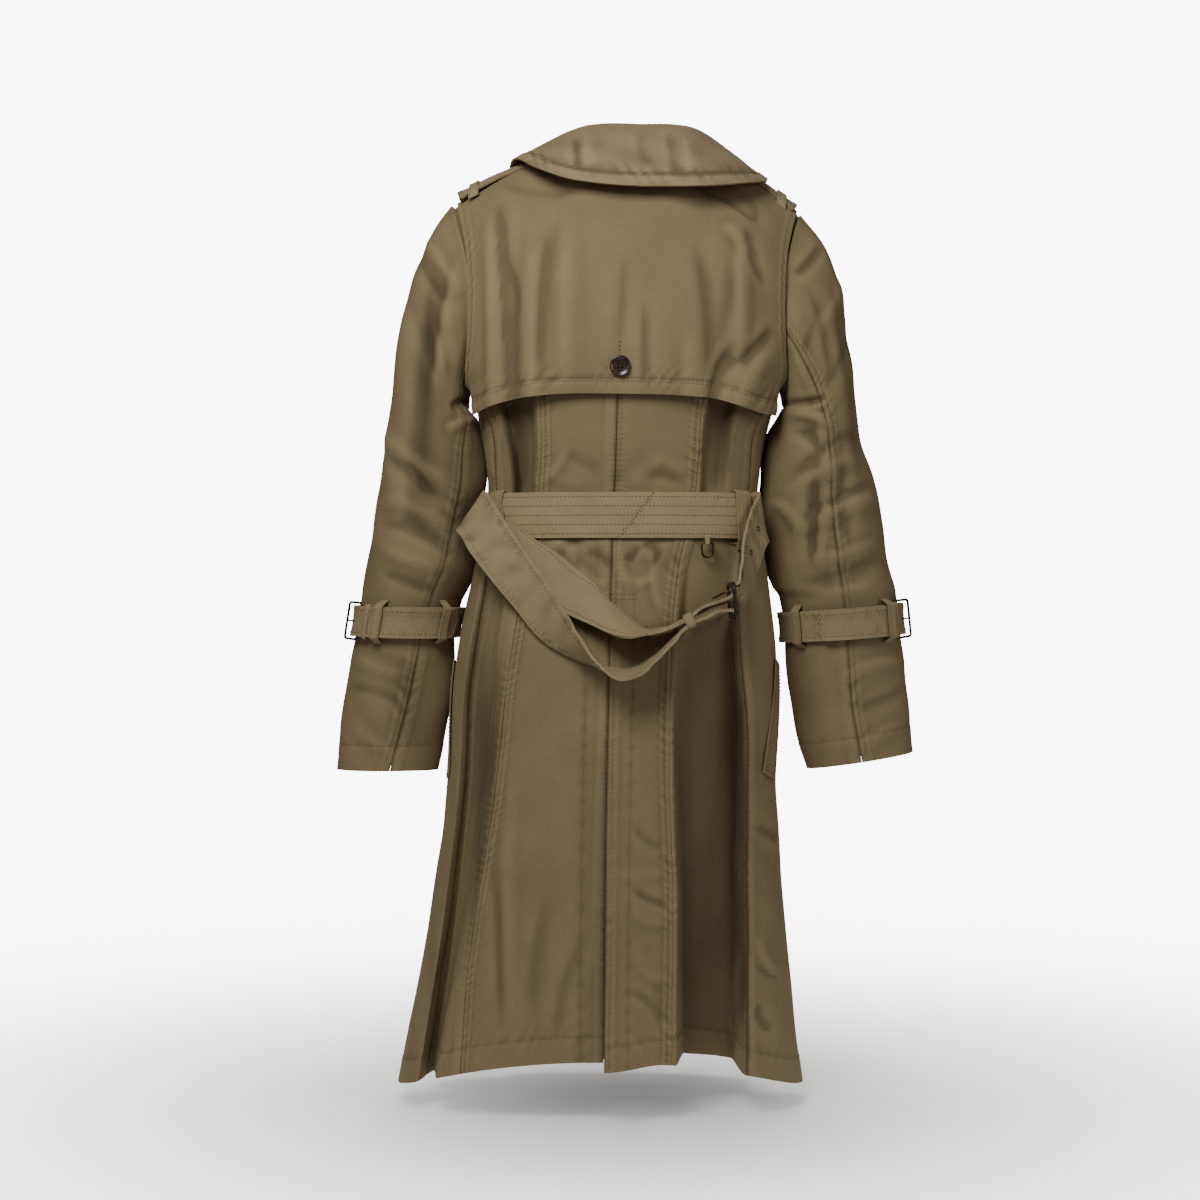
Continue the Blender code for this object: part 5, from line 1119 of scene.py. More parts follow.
def band(name, centre, upward, normal, half_length, half_depth, width, thickness):
    """Make a narrow flat band that closes round a strap."""
    across = unit(np.cross(upward, normal))
    turns = np.linspace(0, 2 * math.pi, 72, endpoint=False)
    along = signed_power(np.cos(turns), BAND_SQUARENESS) * half_length
    rise = signed_power(np.sin(turns), BAND_SQUARENESS) * half_depth
    loop = centre + along[:, None] * unit(upward) + rise[:, None] * unit(normal)
    out = unit(np.stack([np.cos(turns) / half_length, np.sin(turns) / half_depth], axis=-1))
    out = out[:, :1] * unit(upward) + out[:, 1:] * unit(normal)
    verts = [place + across * width * side + outward * thickness * share
             for place, outward in zip(loop, out) for side, share in BAND_SECTION]
    faces = tube_faces(len(loop), len(BAND_SECTION))
    piece = add_piece(f"{name}_band", verts, faces, materials()["firm cotton gabardine"], 60)
    return put_on(face_outward(piece), "gabardine", name)


def joined(name, pieces):
    """Make one mesh of several pieces."""
    bpy.ops.object.select_all(action="DESELECT")
    for piece in pieces:
        piece.select_set(True)
    bpy.context.view_layer.objects.active = pieces[0]
    bpy.ops.object.join()
    pieces[0].name = pieces[0].data.name = name
    return pieces[0]


# ---- materials
WAVE = 0.314      # a wave texture of this scale repeats once a metre


def linear(code):
    """Turn an sRGB hex code into linear light."""
    parts = [int(code[place:place + 2], 16) / 255 for place in (1, 3, 5)]
    return [part / 12.92 if part <= 0.04045 else ((part + 0.055) / 1.055) ** 2.4 for part in parts] + [1.0]


def node(tree, kind, settings=None, links=None, **values):
    """Add a shader node with its properties, input values and links; a linked node gives its first output."""
    made = tree.nodes.new("ShaderNode" + kind)
    for key, value in (settings or {}).items():
        setattr(made, key, value)
    for key, value in values.items():
        made.inputs[key.replace("_", " ")].default_value = value
    for key, source in (links or {}).items():
        tree.links.new(source.outputs[0] if isinstance(source, bpy.types.Node) else source, made.inputs[key])
    return made


def set_ramp(ramp, *stops):
    """Give a colour ramp's two stops their positions and colours."""
    for stop, (position, colour) in zip(ramp.color_ramp.elements, stops):
        stop.position = position
        stop.color = colour


def dimmed(colour, share):
    """Return a colour made darker or lighter."""
    return [part * share for part in colour[:3]] + [1]


def new_material(name, roughness, specular=0.5, metallic=0.0):
    """Start a material and return it with its tree and its shader."""
    material = bpy.data.materials.new(name)
    material.use_nodes = True
    shader = material.node_tree.nodes["Principled BSDF"]
    shader.inputs["Roughness"].default_value = roughness
    shader.inputs["Specular IOR Level"].default_value = specular
    shader.inputs["Metallic"].default_value = metallic
    return material, material.node_tree, shader


def woven_cotton_gabardine(name, colour, firmness=1.0):
    """Cotton gabardine: a tight twill, matt, with a faint diagonal line, soft pale wear and painted highlight on
    ridges, and painted shade in grooves and folds.
    """
    material, tree, shader = new_material(name, 0.86, specular=0.22)
    shader.inputs["Sheen Weight"].default_value = 0.12
    shader.inputs["Sheen Roughness"].default_value = 0.55
    shader.inputs["Sheen Tint"].default_value = linear("#C9B48E")
    measured = node(tree, "UVMap", {"uv_map": "cloth"})
    place = node(tree, "TexCoord").outputs["Object"]
    # A twill line every 0.5 mm is too fine to show, so it is drawn 1.5 mm apart.
    slanted = node(tree, "Mapping", links={"Vector": measured}, Rotation=(0, 0, math.radians(27)))
    twill = node(tree, "TexWave", {"wave_type": "BANDS", "bands_direction": "X"},
                 {"Vector": slanted}, Scale=WAVE / 0.0015, Distortion=1.2, Detail=2.0)
    threads = node(tree, "Mapping", links={"Vector": measured}, Scale=(1.0, 0.28, 1.0))
    slubs = node(tree, "TexNoise", links={"Vector": threads}, Scale=900.0, Detail=3.0)
    patches = node(tree, "TexNoise", links={"Vector": place}, Scale=22.0, Detail=4.0,
                   Roughness=0.6)
    tones = node(tree, "ValToRGB", links={"Fac": patches})
    set_ramp(tones, (0.3, dimmed(colour, 0.93)), (0.72, dimmed(colour, 1.06)))
    thread_tone = node(tree, "MapRange", links={"Value": slubs}, From_Min=0.3, From_Max=0.7, To_Min=0.72,
                       To_Max=1.12)
    grain = node(tree, "MixRGB", {"blend_type": "MULTIPLY"}, {"Color1": tones, "Color2": thread_tone}, Fac=0.3)
    # Ridges mix toward a pale tone, as wear and painted highlight; grooves, folds and recesses mix toward dark
    # brown, as painted shade.
    wear_and_painted_light = node(tree, "Attribute", {"attribute_name": "wear_and_painted_light"})
    pale = node(tree, "MapRange", links={"Value": wear_and_painted_light.outputs["Fac"]}, From_Min=0.0, From_Max=1.0,
                To_Min=0.0, To_Max=0.32)
    wear_and_highlight = node(tree, "MixRGB", {"blend_type": "MIX"},
                {"Fac": pale, "Color1": grain}, Color2=linear("#B9A27C"))
    deep = node(tree, "MapRange", links={"Value": wear_and_painted_light.outputs["Fac"]}, From_Min=-1.2, From_Max=0.0,
                To_Min=0.72, To_Max=0.0)
    shown = node(tree, "MixRGB", {"blend_type": "MIX"},
                 {"Fac": deep, "Color1": wear_and_highlight}, Color2=linear("#2E2010"))
    tree.links.new(shown.outputs["Color"], shader.inputs["Base Color"])
    # Each stitch draws the cloth in, so short dents stand across a seam about 5.5 mm apart.
    gathered = node(tree, "Attribute", {"attribute_name": "gathered"})
    dents = []
    for direction, sign in (("Y", 1.0), ("X", -1.0)):
        waves = node(tree, "TexWave", {"wave_type": "BANDS", "bands_direction": direction},
                     {"Vector": measured}, Scale=WAVE / 0.0055, Distortion=3.0, Detail=1.0)
        amount = node(tree, "MapRange", links={"Value": gathered.outputs["Fac"]}, From_Min=0.0, From_Max=sign,
                      To_Min=0.0, To_Max=1.0)
        dents.append(node(tree, "Math", {"operation": "MULTIPLY"},
                          {0: waves.outputs["Fac"], 1: amount}))
    drawn_in = node(tree, "Math", {"operation": "ADD"}, dict(enumerate(dents)))
    sewn_bump = node(tree, "Bump", links={"Height": drawn_in}, Strength=0.6, Distance=0.0011)
    line_bump = node(tree, "Bump", links={"Height": twill.outputs["Fac"], "Normal": sewn_bump},
                     Strength=0.1 * firmness, Distance=0.0004)
    thread_bump = node(tree, "Bump", links={"Height": slubs, "Normal": line_bump},
                       Strength=0.22 * firmness, Distance=0.0005)
    soft = node(tree, "TexNoise", links={"Vector": place}, Scale=160.0, Detail=3.0)
    soft_bump = node(tree, "Bump", links={"Height": soft, "Normal": thread_bump},
                     Strength=0.16, Distance=0.0016)
    # Doubled, quilted cloth shows its grain as a 3 mm pebble.
    pebble = node(tree, "TexNoise", links={"Vector": place}, Scale=330.0, Detail=2.0)
    pebble_bump = node(tree, "Bump", links={"Height": pebble, "Normal": soft_bump},
                       Strength=0.55 * (firmness - 0.9), Distance=0.0016)
    tree.links.new(pebble_bump.outputs["Normal"], shader.inputs["Normal"])
    return material


def spun_polyester_thread(name, colour):
    """Polyester thread: twisted, a little glossier than the cloth."""
    material, tree, shader = new_material(name, 0.6, specular=0.35)
    shader.inputs["Base Color"].default_value = colour
    place = node(tree, "TexCoord").outputs["Object"]
    twist = node(tree, "TexNoise", links={"Vector": place}, Scale=1500.0)
    bump = node(tree, "Bump", links={"Height": twist}, Strength=0.3, Distance=0.0003)
    tree.links.new(bump.outputs["Normal"], shader.inputs["Normal"])
    return material


def polished_horn(name, colour):
    """Buffalo horn, turned and polished: nearly black with brown streaks under a clear gloss."""
    material, tree, shader = new_material(name, 0.22)
    shader.inputs["Coat Weight"].default_value = 0.4
    shader.inputs["Coat Roughness"].default_value = 0.08
    place = node(tree, "TexCoord").outputs["Object"]
    stretched = node(tree, "Mapping", links={"Vector": place}, Scale=(1.0, 1.0, 3.0))
    streaks = node(tree, "TexNoise", links={"Vector": stretched}, Scale=140.0, Detail=4.0,
                   Distortion=1.5)
    tones = node(tree, "ValToRGB", links={"Fac": streaks})
    set_ramp(tones, (0.42, colour), (0.75, linear("#5A4230")))
    tree.links.new(tones.outputs["Color"], shader.inputs["Base Color"])
    return material


def covered_leather(name, colour):
    """Thin calf leather stretched over a metal frame: dark, with a fine grain and a soft shine."""
    material, tree, shader = new_material(name, 0.38)
    place = node(tree, "TexCoord").outputs["Object"]
    grain = node(tree, "TexVoronoi", links={"Vector": place}, Scale=1100.0)
    bump = node(tree, "Bump", links={"Height": grain}, Strength=0.25, Distance=0.0004)
    tree.links.new(bump.outputs["Normal"], shader.inputs["Normal"])
    patches = node(tree, "TexNoise", links={"Vector": place}, Scale=180.0, Detail=3.0)
    tones = node(tree, "ValToRGB", links={"Fac": patches})
    set_ramp(tones, (0.0, colour), (1.0, dimmed(colour, 2.2)))
    tree.links.new(tones.outputs["Color"], shader.inputs["Base Color"])
    return material


def aged_brass(name, colour):
    """Cast brass, tumbled and darkened: warm metal, dull in its hollows."""
    material, tree, shader = new_material(name, 0.34, metallic=1.0)
    place = node(tree, "TexCoord").outputs["Object"]
    tarnish = node(tree, "TexNoise", links={"Vector": place}, Scale=420.0, Detail=4.0)
    tones = node(tree, "ValToRGB", links={"Fac": tarnish})
    set_ramp(tones, (0.35, dimmed(colour, 0.4)), (0.65, colour))
    tree.links.new(tones.outputs["Color"], shader.inputs["Base Color"])
    return material


def painted_hole_shade(name):
    """Painted shade for a button's hole: a dull, almost black disc."""
    material, _, shader = new_material(name, 0.8, specular=0.1)
    shader.inputs["Base Color"].default_value = linear("#060403")
    return material


def materials():
    """Return the coat's materials, made once."""
    colours = bpy.context.scene.coat_colours
    makers = {
        "cotton gabardine": lambda name: woven_cotton_gabardine(name, colours.cloth),
        "firm cotton gabardine": lambda name: woven_cotton_gabardine(name, colours.belt_cloth, 1.6),
        "spun polyester thread": lambda name: spun_polyester_thread(name, colours.thread),
        "polished horn": lambda name: polished_horn(name, colours.horn),
        "covered leather": lambda name: covered_leather(name, colours.leather),
        "aged brass": lambda name: aged_brass(name, colours.brass),
        "waxed button thread": lambda name: spun_polyester_thread(name, linear("#4A3824")),
        "painted hole shade": lambda name: painted_hole_shade(name)}
    return {name: bpy.data.materials.get(name) or make(name) for name, make in makers.items()}


# ---- settings
class CoatSizes(bpy.types.PropertyGroup):
    """Sizes of the sewing."""

    stitch_length: bpy.props.FloatProperty(
        name="Stitch length", description="Length of one stitch of the topstitching",
        default=0.0032, min=0.001, max=0.008, precision=4, unit="LENGTH")
    seam_pucker: bpy.props.FloatProperty(
        name="Seam pucker", description="Height of the puckers beside the stitched seams",
        default=0.0005, min=0.0, max=0.003, precision=4, unit="LENGTH")
    hem_depth: bpy.props.FloatProperty(
        name="Hem depth", description="Distance from the hem to its row of stitches",
        default=0.026, min=0.005, max=0.06, precision=3, unit="LENGTH")
    button_diameter: bpy.props.FloatProperty(
        name="Button diameter", description="Diameter of the coat's buttons",
        default=0.022, min=0.01, max=0.035, precision=3, unit="LENGTH")
    floor_gap: bpy.props.FloatProperty(
        name="Floor gap", description="Height of the hem above the floor",
        default=0.02, min=0.0, max=0.5, precision=3, unit="LENGTH")


class CoatColours(bpy.types.PropertyGroup):
    """Colours of the cloth and the trimmings."""

    cloth: bpy.props.FloatVectorProperty(
        name="Cloth", description="Colour of the gabardine", subtype="COLOR", size=4,
        default=linear("#897859"), min=0, max=1)
    belt_cloth: bpy.props.FloatVectorProperty(
        name="Belt cloth", description="Colour of the stiffened cloth of the belt and straps",
        subtype="COLOR", size=4, default=linear("#9C8969"), min=0, max=1)
    thread: bpy.props.FloatVectorProperty(
        name="Thread", description="Colour of the topstitching", subtype="COLOR", size=4,
        default=linear("#7F6B4A"), min=0, max=1)
    horn: bpy.props.FloatVectorProperty(
        name="Horn", description="Colour of the buttons", subtype="COLOR", size=4,
        default=linear("#1D1410"), min=0, max=1)
    leather: bpy.props.FloatVectorProperty(
        name="Leather", description="Colour of the covered buckles", subtype="COLOR", size=4,
        default=linear("#1C130E"), min=0, max=1)
    brass: bpy.props.FloatVectorProperty(
        name="Brass", description="Colour of the ring and the prongs", subtype="COLOR", size=4,
        default=linear("#5A4730"), min=0, max=1)


# ---- the pieces
class CoatOperator:
    """What every operator of the coat shares."""

    bl_options = {"REGISTER", "UNDO"}


def body_cloth(angles, drops, lift=0.0, drop_shift=0.0):
    """Return fine cloth on the body's surface."""
    drops = np.broadcast_to(drops[:, None], angles.shape)
    normals = body_normal(angles, drops)
    points = body_point(angles, drops)
    points[..., 2] -= drop_shift
    return Cloth(points + normals * np.broadcast_to(lift, angles.shape)[..., None], normals)


def panel_drops(step=0.0027):
    """Return the drops of a panel's rows."""
    return np.linspace(0.0004, BACK_LENGTH, int(BACK_LENGTH / step))


def fade_in(drops, start, length):
    """Return a column that is 0 above a drop and 1 below it."""
    return ease((drops[:, None] - start) / length)


class COAT_OT_backs(CoatOperator, bpy.types.Operator):
    """Make the centre backs, the side backs and the vent's underlap"""

    bl_idname = "coat.backs"
    bl_label = "Back panels"

    def execute(self, context):
        sizes = context.scene.coat_sizes
        drops = panel_drops()
        self.centres(drops, sizes)
        self.sides(drops, sizes)
        edge_drops = np.linspace(VENT_TOP + 0.004, BACK_LENGTH - 0.003, 120)
        edge = centre_back(edge_drops)
        strip = body_cloth(columns_between((edge + 5.5, edge - 7.5), (14,), gap=0.0), edge_drops,
                           -CLOTH - 0.0014)
        strip.settle(0.0003, seed=7.0)
        strip.build("vent_underlap")
        return {"FINISHED"}

    def centres(self, drops, sizes):
        """Make the two centre backs; the free edge of the right one stands out at the vent."""
        depth = drops[:, None]
        free = fade_in(drops, VENT_TOP, BACK_LENGTH - VENT_TOP)
        below_vent = fade_in(drops, VENT_TOP - 0.02, 0.02)
        wavy = 0.5 + 0.5 * np.sin(depth / 0.023 * math.pi + 2 * np.sin(depth / 0.05)) ** 4
        for name, side, princess_line in (("left", 1, PRINCESS_LEFT), ("right", -1, PRINCESS_RIGHT)):
            on_top = side < 0
            princess, middle = seam(princess_line, drops), centre_back(drops)
            angles = columns_between((middle, mix(middle, princess, 0.62), princess), (24, 16))
            opened = free * ease(1 - (middle[:, None] - angles) / 15.0) * on_top
            panel = body_cloth(angles, drops, HEM_FLARE_LIFT * opened, HEM_FLARE_DROP * opened)
            panel.sew("last", (PRINCESS_ROW,), sizes.seam_pucker, seed=1.0 + side, travel=depth)
            panel.sew("first", (VENT_EDGE_ROW,) if on_top else (), 0.45 * sizes.seam_pucker, pitch=0.021,
                      seed=4.0, travel=depth, groove=0.0008)
            dents = np.exp(-((panel.away("first") - VENT_ROW) / 0.005) ** 2) * below_vent
            panel.lift -= 0.0006 * dents * wavy
            panel.sew_hem(2.0)
            panel.crease(BACK_CREASES, SKIRT_CREASES)
            panel.settle(seed=2.0 + side)
            panel.in_shade(BACK_SHADE)
            lines = [panel.line("last", PRINCESS_ROW), panel.line("hem", sizes.hem_depth),
                     panel.line("first", VENT_ROW, below=-VENT_TOP + 0.008)]
            if on_top:
                lines += [panel.line("first", VENT_EDGE_ROW, above=-VENT_TOP + 0.008),
                          panel.line("last", 0.011, below=-0.42)]
                lines += [self.vent_bar(panel, height) for height in (-0.474, -0.48)]
            else:
                lines += [panel.line("last", 0.0115)]
            panel.build(f"back_{name}", lines)

    @staticmethod
    def vent_bar(panel, height):
        """Return a level line across the top of the vent."""
        face = panel.surface()
        row = int(np.argmin(np.abs(face[:, face.shape[1] // 2, 2] - height)))
        shown = (face[row, :, 0] > -0.009) & (face[row, :, 0] < 0.026)
        return face[row, shown], panel.normals[row, shown]

    @staticmethod
    def sides(drops, sizes):
        """Make the side backs: the left with its recess, the right with a deep pleat below the belt."""
        left_side = side_angles(np.full_like(drops, 1), drops)[0]
        right_side = -side_angles(np.full_like(drops, -1), drops)[0]
        crease = seam(LEFT_CREASE, drops)
        princess = seam(PRINCESS_RIGHT, drops)
        foot = princess - RECESS_ENTRY - 1.6
        left_edges = (seam(PRINCESS_LEFT, drops), crease, crease + RECESS_ENTRY, seam(LEFT_RIDGE, drops),
                      left_side)
        right_edges = (princess, foot, mix(foot, right_side, 0.5), right_side)
        for name, side, edges, steps, seeds, shade in (
                ("left", 1, left_edges, (9, 12, 9, 9), (2.0, 5.0, 3.0), LEFT_RECESS_SHADE),
                ("right", -1, right_edges, (16, 12, 12), (0.0, 6.0, 4.0), RIGHT_RECESS_SHADE)):
            angles = columns_between(edges, steps)
            # The sewn edge is tucked under the centre panel.
            angles = np.concatenate([angles[:, :1] - side * TUCK_TURN, angles], axis=1)
            panel = body_cloth(angles, drops)
            panel.lift[:, 0] -= TUCK_DEPTH
            panel.sew("first", (), sizes.seam_pucker, seed=seeds[0], travel=drops[:, None])
            panel.sew("last", (), 0.5 * sizes.seam_pucker, pitch=0.014, seed=seeds[1], travel=drops[:, None])
            panel.sew_hem(seeds[2])
            panel.crease(BACK_CREASES, SKIRT_CREASES)
            panel.settle(seed=seeds[1])
            panel.in_shade(shade)
            panel.build(f"side_back_{name}", [panel.line("hem", sizes.hem_depth)])


class COAT_OT_fronts(CoatOperator, bpy.types.Operator):
    """Make the two fronts, which lap at the centre, and the lapels turned back on them"""

    bl_idname = "coat.fronts"
    bl_label = "Fronts and lapels"

    def execute(self, context):
        sizes = context.scene.coat_sizes
        drops = panel_drops(0.0042)
        depth = drops[:, None]
        neck = (FRONT_EDGE - FRONT_NECK_CORNER) / (FRONT_EDGE - FRONT_TIP)
        for name, side, last in (("left", 1, LEFT_FRONT_EDGE), ("right", -1, FRONT_EDGE)):
            start = side_angles(np.full_like(drops, side), drops)[1]
            width = FRONT_EDGE - start
            edges = (start, start + 6.0, FRONT_EDGE - neck * width, FRONT_EDGE - 0.4 * width, last + 0 * drops)
            angles = columns_between(edges, (4, 28, 12, 18))
            panel = body_cloth(side * angles, drops, front_tuck(angles, depth) if side > 0 else 0.0)
            panel.sew("first", (), 0.5 * sizes.seam_pucker, pitch=0.014, seed=5.0, travel=depth)
            panel.sew("last", (0.008,), 0.25 * sizes.seam_pucker, pitch=0.02, groove=0, seed=8.0 + side)
            panel.sew_hem(9.0)
            panel.crease(FRONT_CREASES, back=False)
            panel.crease(SKIRT_CREASES)
            panel.settle(0.0009, seed=8.0 + side)
            z = panel.base[..., 2]
            at_belt = (z < BELT_TOP + 0.02) & (z > BELT_BOTTOM - 0.02)
            panel.lift = np.where(at_belt, np.minimum(panel.lift, 0.0006), panel.lift)
            panel.build(f"front_{name}", [panel.line("last", 0.008), panel.line("hem", sizes.hem_depth)])
            self.lapel(name, side, panel.surface())
        return {"FINISHED"}

    @staticmethod
    def lapel(name, side, face):
        """Make a turned-back upper front, which lies on the front from the roll line outward."""
        across = np.linspace(0, 1, 30)
        down = np.linspace(0, 1, 70)
        roll, _ = upper_edge(side * (170.0 + 30.0 * down))
        outer_x, outer_z = LAPEL.at(down)
        x = mix((roll[:, 0] + side * 0.003)[:, None], side * outer_x[:, None], across)
        z = mix((roll[:, 2] - 0.007)[:, None], outer_z[:, None], across)
        points = seen_from_front(face, x, z)
        normals = grid_normals(points) * side
        lift = (0.0016 + 0.0014 * ease(across / 0.4))[:, None] + CLOTH
        piece = Cloth(points + normals * lift, normals)
        piece.sew("last", (0.007,), 0.0003, pitch=0.016, groove=0, seed=1.0)
        piece.settle(0.0004, seed=3.0)
        piece.build(f"lapel_{name}", [piece.line("last", 0.007)], held="folded", rests_on=[f"front_{name}"])


class COAT_OT_storm_flap(CoatOperator, bpy.types.Operator):
    """Make the free yoke that hangs over the upper back"""

    bl_idname = "coat.storm_flap"
    bl_label = "Storm flap"

    def execute(self, context):
        fall = np.linspace(0.0004, CHEST_DROP, 96) / CHEST_DROP
        armhole = ARMHOLE_BACK.at(fall)[1] - 1.2
        outer, inner = mix(45, 48, fall), mix(25, 22, fall)
        edges = (-np.minimum(armhole, 64.5), -outer, -inner, 0 * fall, inner, outer, np.minimum(armhole, 67.5))
        angles = columns_between(edges, (20, 20, 18, 18, 20, 20), gap=0.0)
        drops = np.maximum(fall * CHEST_DROP, 0.0035)[:, None] + 0 * angles
        points = body_point(angles, drops, folded=False)
        normals = body_normal(angles, drops, folded=False)
        points[..., 2] -= (FLAP_HEM.at(angles)[0] - CHEST_DROP) * (fall ** 2)[:, None]
        lift = 0.0027 + 0.0012 * ease(fall / 0.3)[:, None] + FLAP_SWELL.at(angles)[0] * (fall ** 2)[:, None]
        flap = Cloth(points + normals * (lift + CLOTH)[..., None], normals)
        for offset in FLAP_ROWS:
            flap.sew("hem", (offset,), 0.0003, pitch=0.014, reach=0.012, allowance=0.013, groove=0, seed=offset)
        flap.sew("first", (0.006,), 0.0004, pitch=0.013, groove=0, seed=1.0)
        flap.sew("last", (0.006,), 0.0004, pitch=0.013, groove=0, seed=2.0)
        flap.crease(FLAP_CREASES)
        flap.settle(0.0011, 0.12, seed=4.0)
        flap.in_shade(FLAP_SHADE)
        flap.lift = np.maximum(flap.lift, 0.0006 - lift)
        lines = [flap.line("hem", offset) for offset in FLAP_ROWS]
        lines += [flap.line("first", 0.006, below=-0.1), flap.line("last", 0.006, below=-0.1)]
        button = body_point(*STORM_BUTTON_AT, folded=False)
        place = nearest(flap.surface(), button[0], button[2] + 0.018)
        lines += buttonhole(flap.surface()[place], flap.normals[place], 0.01)
        flap.build("storm_flap", lines, rests_on=("back_left", "back_right"))
        return {"FINISHED"}


class COAT_OT_sleeves(CoatOperator, bpy.types.Operator):
    """Make both sleeves, each of an upper and an under piece"""

    bl_idname = "coat.sleeves"
    bl_label = "Sleeves"

    def execute(self, context):
        reach = np.concatenate([[0, 0, 0], np.linspace(0, 1, 84)[:-1], np.linspace(1, 2, 112)])
        for side_name, (_, _, back_seam, _) in SLEEVES.items():
            back = back_seam.at(reach)[0]
            front = np.interp(reach, (0.0, 1.0), FRONT_SEAM)
            self.piece(side_name, "upper", reach, columns_between((front - 360, back), (84,), gap=0.15))
            self.piece(side_name, "under", reach, columns_between((back, front), (46,), gap=0.15))
        return {"FINISHED"}

    @staticmethod
    def piece(side_name, part, reach, around):
        """Make the upper or the under piece of a sleeve, its head turned in under the shoulder."""
        sizes = bpy.context.scene.coat_sizes
        upper = part == "upper"
        hem = sizes.hem_depth * 1.1
        points = sleeve_point(side_name, around, reach[:, None])
        normals = sleeve_normal(side_name, around, reach[:, None])
        outward = set_out(SLEEVES[side_name][0], np.radians(around[0]))
        for row, (inward, sunk) in enumerate(SLEEVE_HEAD):
            points[row] = points[3] - outward * inward - normals[3] * sunk
            normals[row] = normals[3]
        sleeve = Cloth(points, normals)
        travel = reach[:, None] * 0.3
        sleeve.sew("last" if upper else "first", (0.006,) if upper else (), sizes.seam_pucker, seed=3.0,
                   travel=travel)
        sleeve.sew("first" if upper else "last", (), 0.4 * sizes.seam_pucker, pitch=0.014, seed=7.0,
                   travel=travel)
        sleeve.sew("hem", (hem,), 0.4 * sizes.seam_pucker, pitch=0.014, allowance=hem, groove=0, seed=5.0)
        sleeve.lift -= 0.001 * np.exp(-sleeve.away("top") / 0.0015)
        sleeve.lift += 0.0012 * np.exp(-((sleeve.away("top") - 0.006) / 0.005) ** 2)
        sleeve.crease(SLEEVE_CREASES)
        sleeve.crease(np.array(SLEEVE_CREASES) * FRONT_OF_SLEEVE, back=False)
        sleeve.settle(0.0014, 0.085, seed=len(side_name) + len(part))
        sleeve.in_shade(SLEEVE_SHADE)
        height = sleeve.base[..., 2]
        inside = np.exp(-(((around % 360.0) - 180.0) / 55.0) ** 2)
        for drop, most, spread in SLEEVE_FULLNESS[side_name]:
            sleeve.lift += most * inside * np.exp(-((height + drop) / spread) ** 2)
        low, high = UNDER_STRAP[side_name]
        quiet = ease((height - low) / 0.012) * ease((high - height) / 0.012)
        sleeve.lift = np.where(sleeve.lift > 0, sleeve.lift * (1 - 0.75 * quiet), sleeve.lift)
        lines = [sleeve.line("hem", hem)] + ([sleeve.line("last", 0.006, margin=0.01)] if upper else [])
        sleeve.build(f"sleeve_{part}_{side_name}", lines)


class COAT_OT_collar(CoatOperator, bpy.types.Operator):
    """Make the collar's stand and the fall that turns down over it"""

    bl_idname = "coat.collar"
    bl_label = "Collar"

    def execute(self, context):
        self.fall()
        self.stand()
        return {"FINISHED"}

    @staticmethod
    def fall():
        """Make the part that turns down, rolled over from the fold line to its edge."""
        share = np.linspace(-1, 1, 190)
        fold, edge = collar_lines(share)
        t = np.linspace(0, 1, 32)[:, None, None]
        shoulder = fold + (edge - fold) * np.array([0.42, 0.42, 0.0])
        shoulder[..., 2] += COLLAR_ROLL.at(np.abs(share))[0]
        grid = (1 - t) ** 2 * fold + 2 * t * (1 - t) * shoulder + t * t * edge
        normals = grid_normals(grid)
        normals = normals * (1 if normals[16, 95, 2] > 0 else -1)
        piece = Cloth(grid + normals * FIRM_CLOTH / 2, normals, FIRM_CLOTH)
        # Painted shade: the whole collar is darkened evenly.
        piece.dark += COLLAR_PAINTED_SHADE
        for offset in COLLAR_ROWS:
            piece.sew("hem", (offset,), 0.00035, pitch=0.015, reach=0.01, allowance=0.012, groove=0, seed=offset)
        for end in ("first", "last"):
            piece.sew(end, (0.009,), 0.0002, groove=0)
        piece.crease(COLLAR_CREASES)
        piece.settle(0.0007, 0.045, seed=3.0)
        piece.build("collar_fall", [piece.line("hem", offset, margin=0.004) for offset in COLLAR_ROWS],
                    held="folded", rests_on=["storm_flap"], firm=True)

    @staticmethod
    def stand():
        """Make the part that stands between the neck seam and the fold line."""
        share = np.linspace(-0.88, 0.88, 120)
        fold, _ = collar_lines(share)
        coarse = np.concatenate([np.linspace(-0.88, -0.5, 6), np.linspace(-0.42, 0.42, 9),
                                 np.linspace(0.5, 0.88, 6)])
        size = np.abs(coarse)
        angle = np.where(size <= 0.5, np.interp(size, (0, 0.2, 0.35, 0.5), (0, 10, 18, 24.9)),
                         np.interp(size, (0.5, 0.62, 0.75, 0.88), (155.1, 158, 161, 165)))
        seam_line, _ = upper_edge(np.where(coarse < 0, -angle, angle))
        seam_line = read_along(coarse, seam_line, share)
        seam_line[..., 2] += 0.002
        top = fold - 0.0022 * unit(fold - UP * fold[..., 2:]) - UP * 0.004
        t = np.linspace(0, 1, 12)[:, None, None]
        bow = np.stack([np.sign(share) * 0.002, np.where(np.abs(share) < 0.5, 0.002, 0.0), 0 * share], axis=-1)
        grid = mix(seam_line, top, t) + bow * 4 * t * (1 - t)
        normals = grid_normals(grid)
        normals = normals * (1 if normals[6, 60, 1] > 0 else -1)
        piece = Cloth(grid + normals * FIRM_CLOTH / 2, normals, FIRM_CLOTH)
        piece.settle(0.0003, seed=6.0)
        piece.build("collar_stand", firm=True)


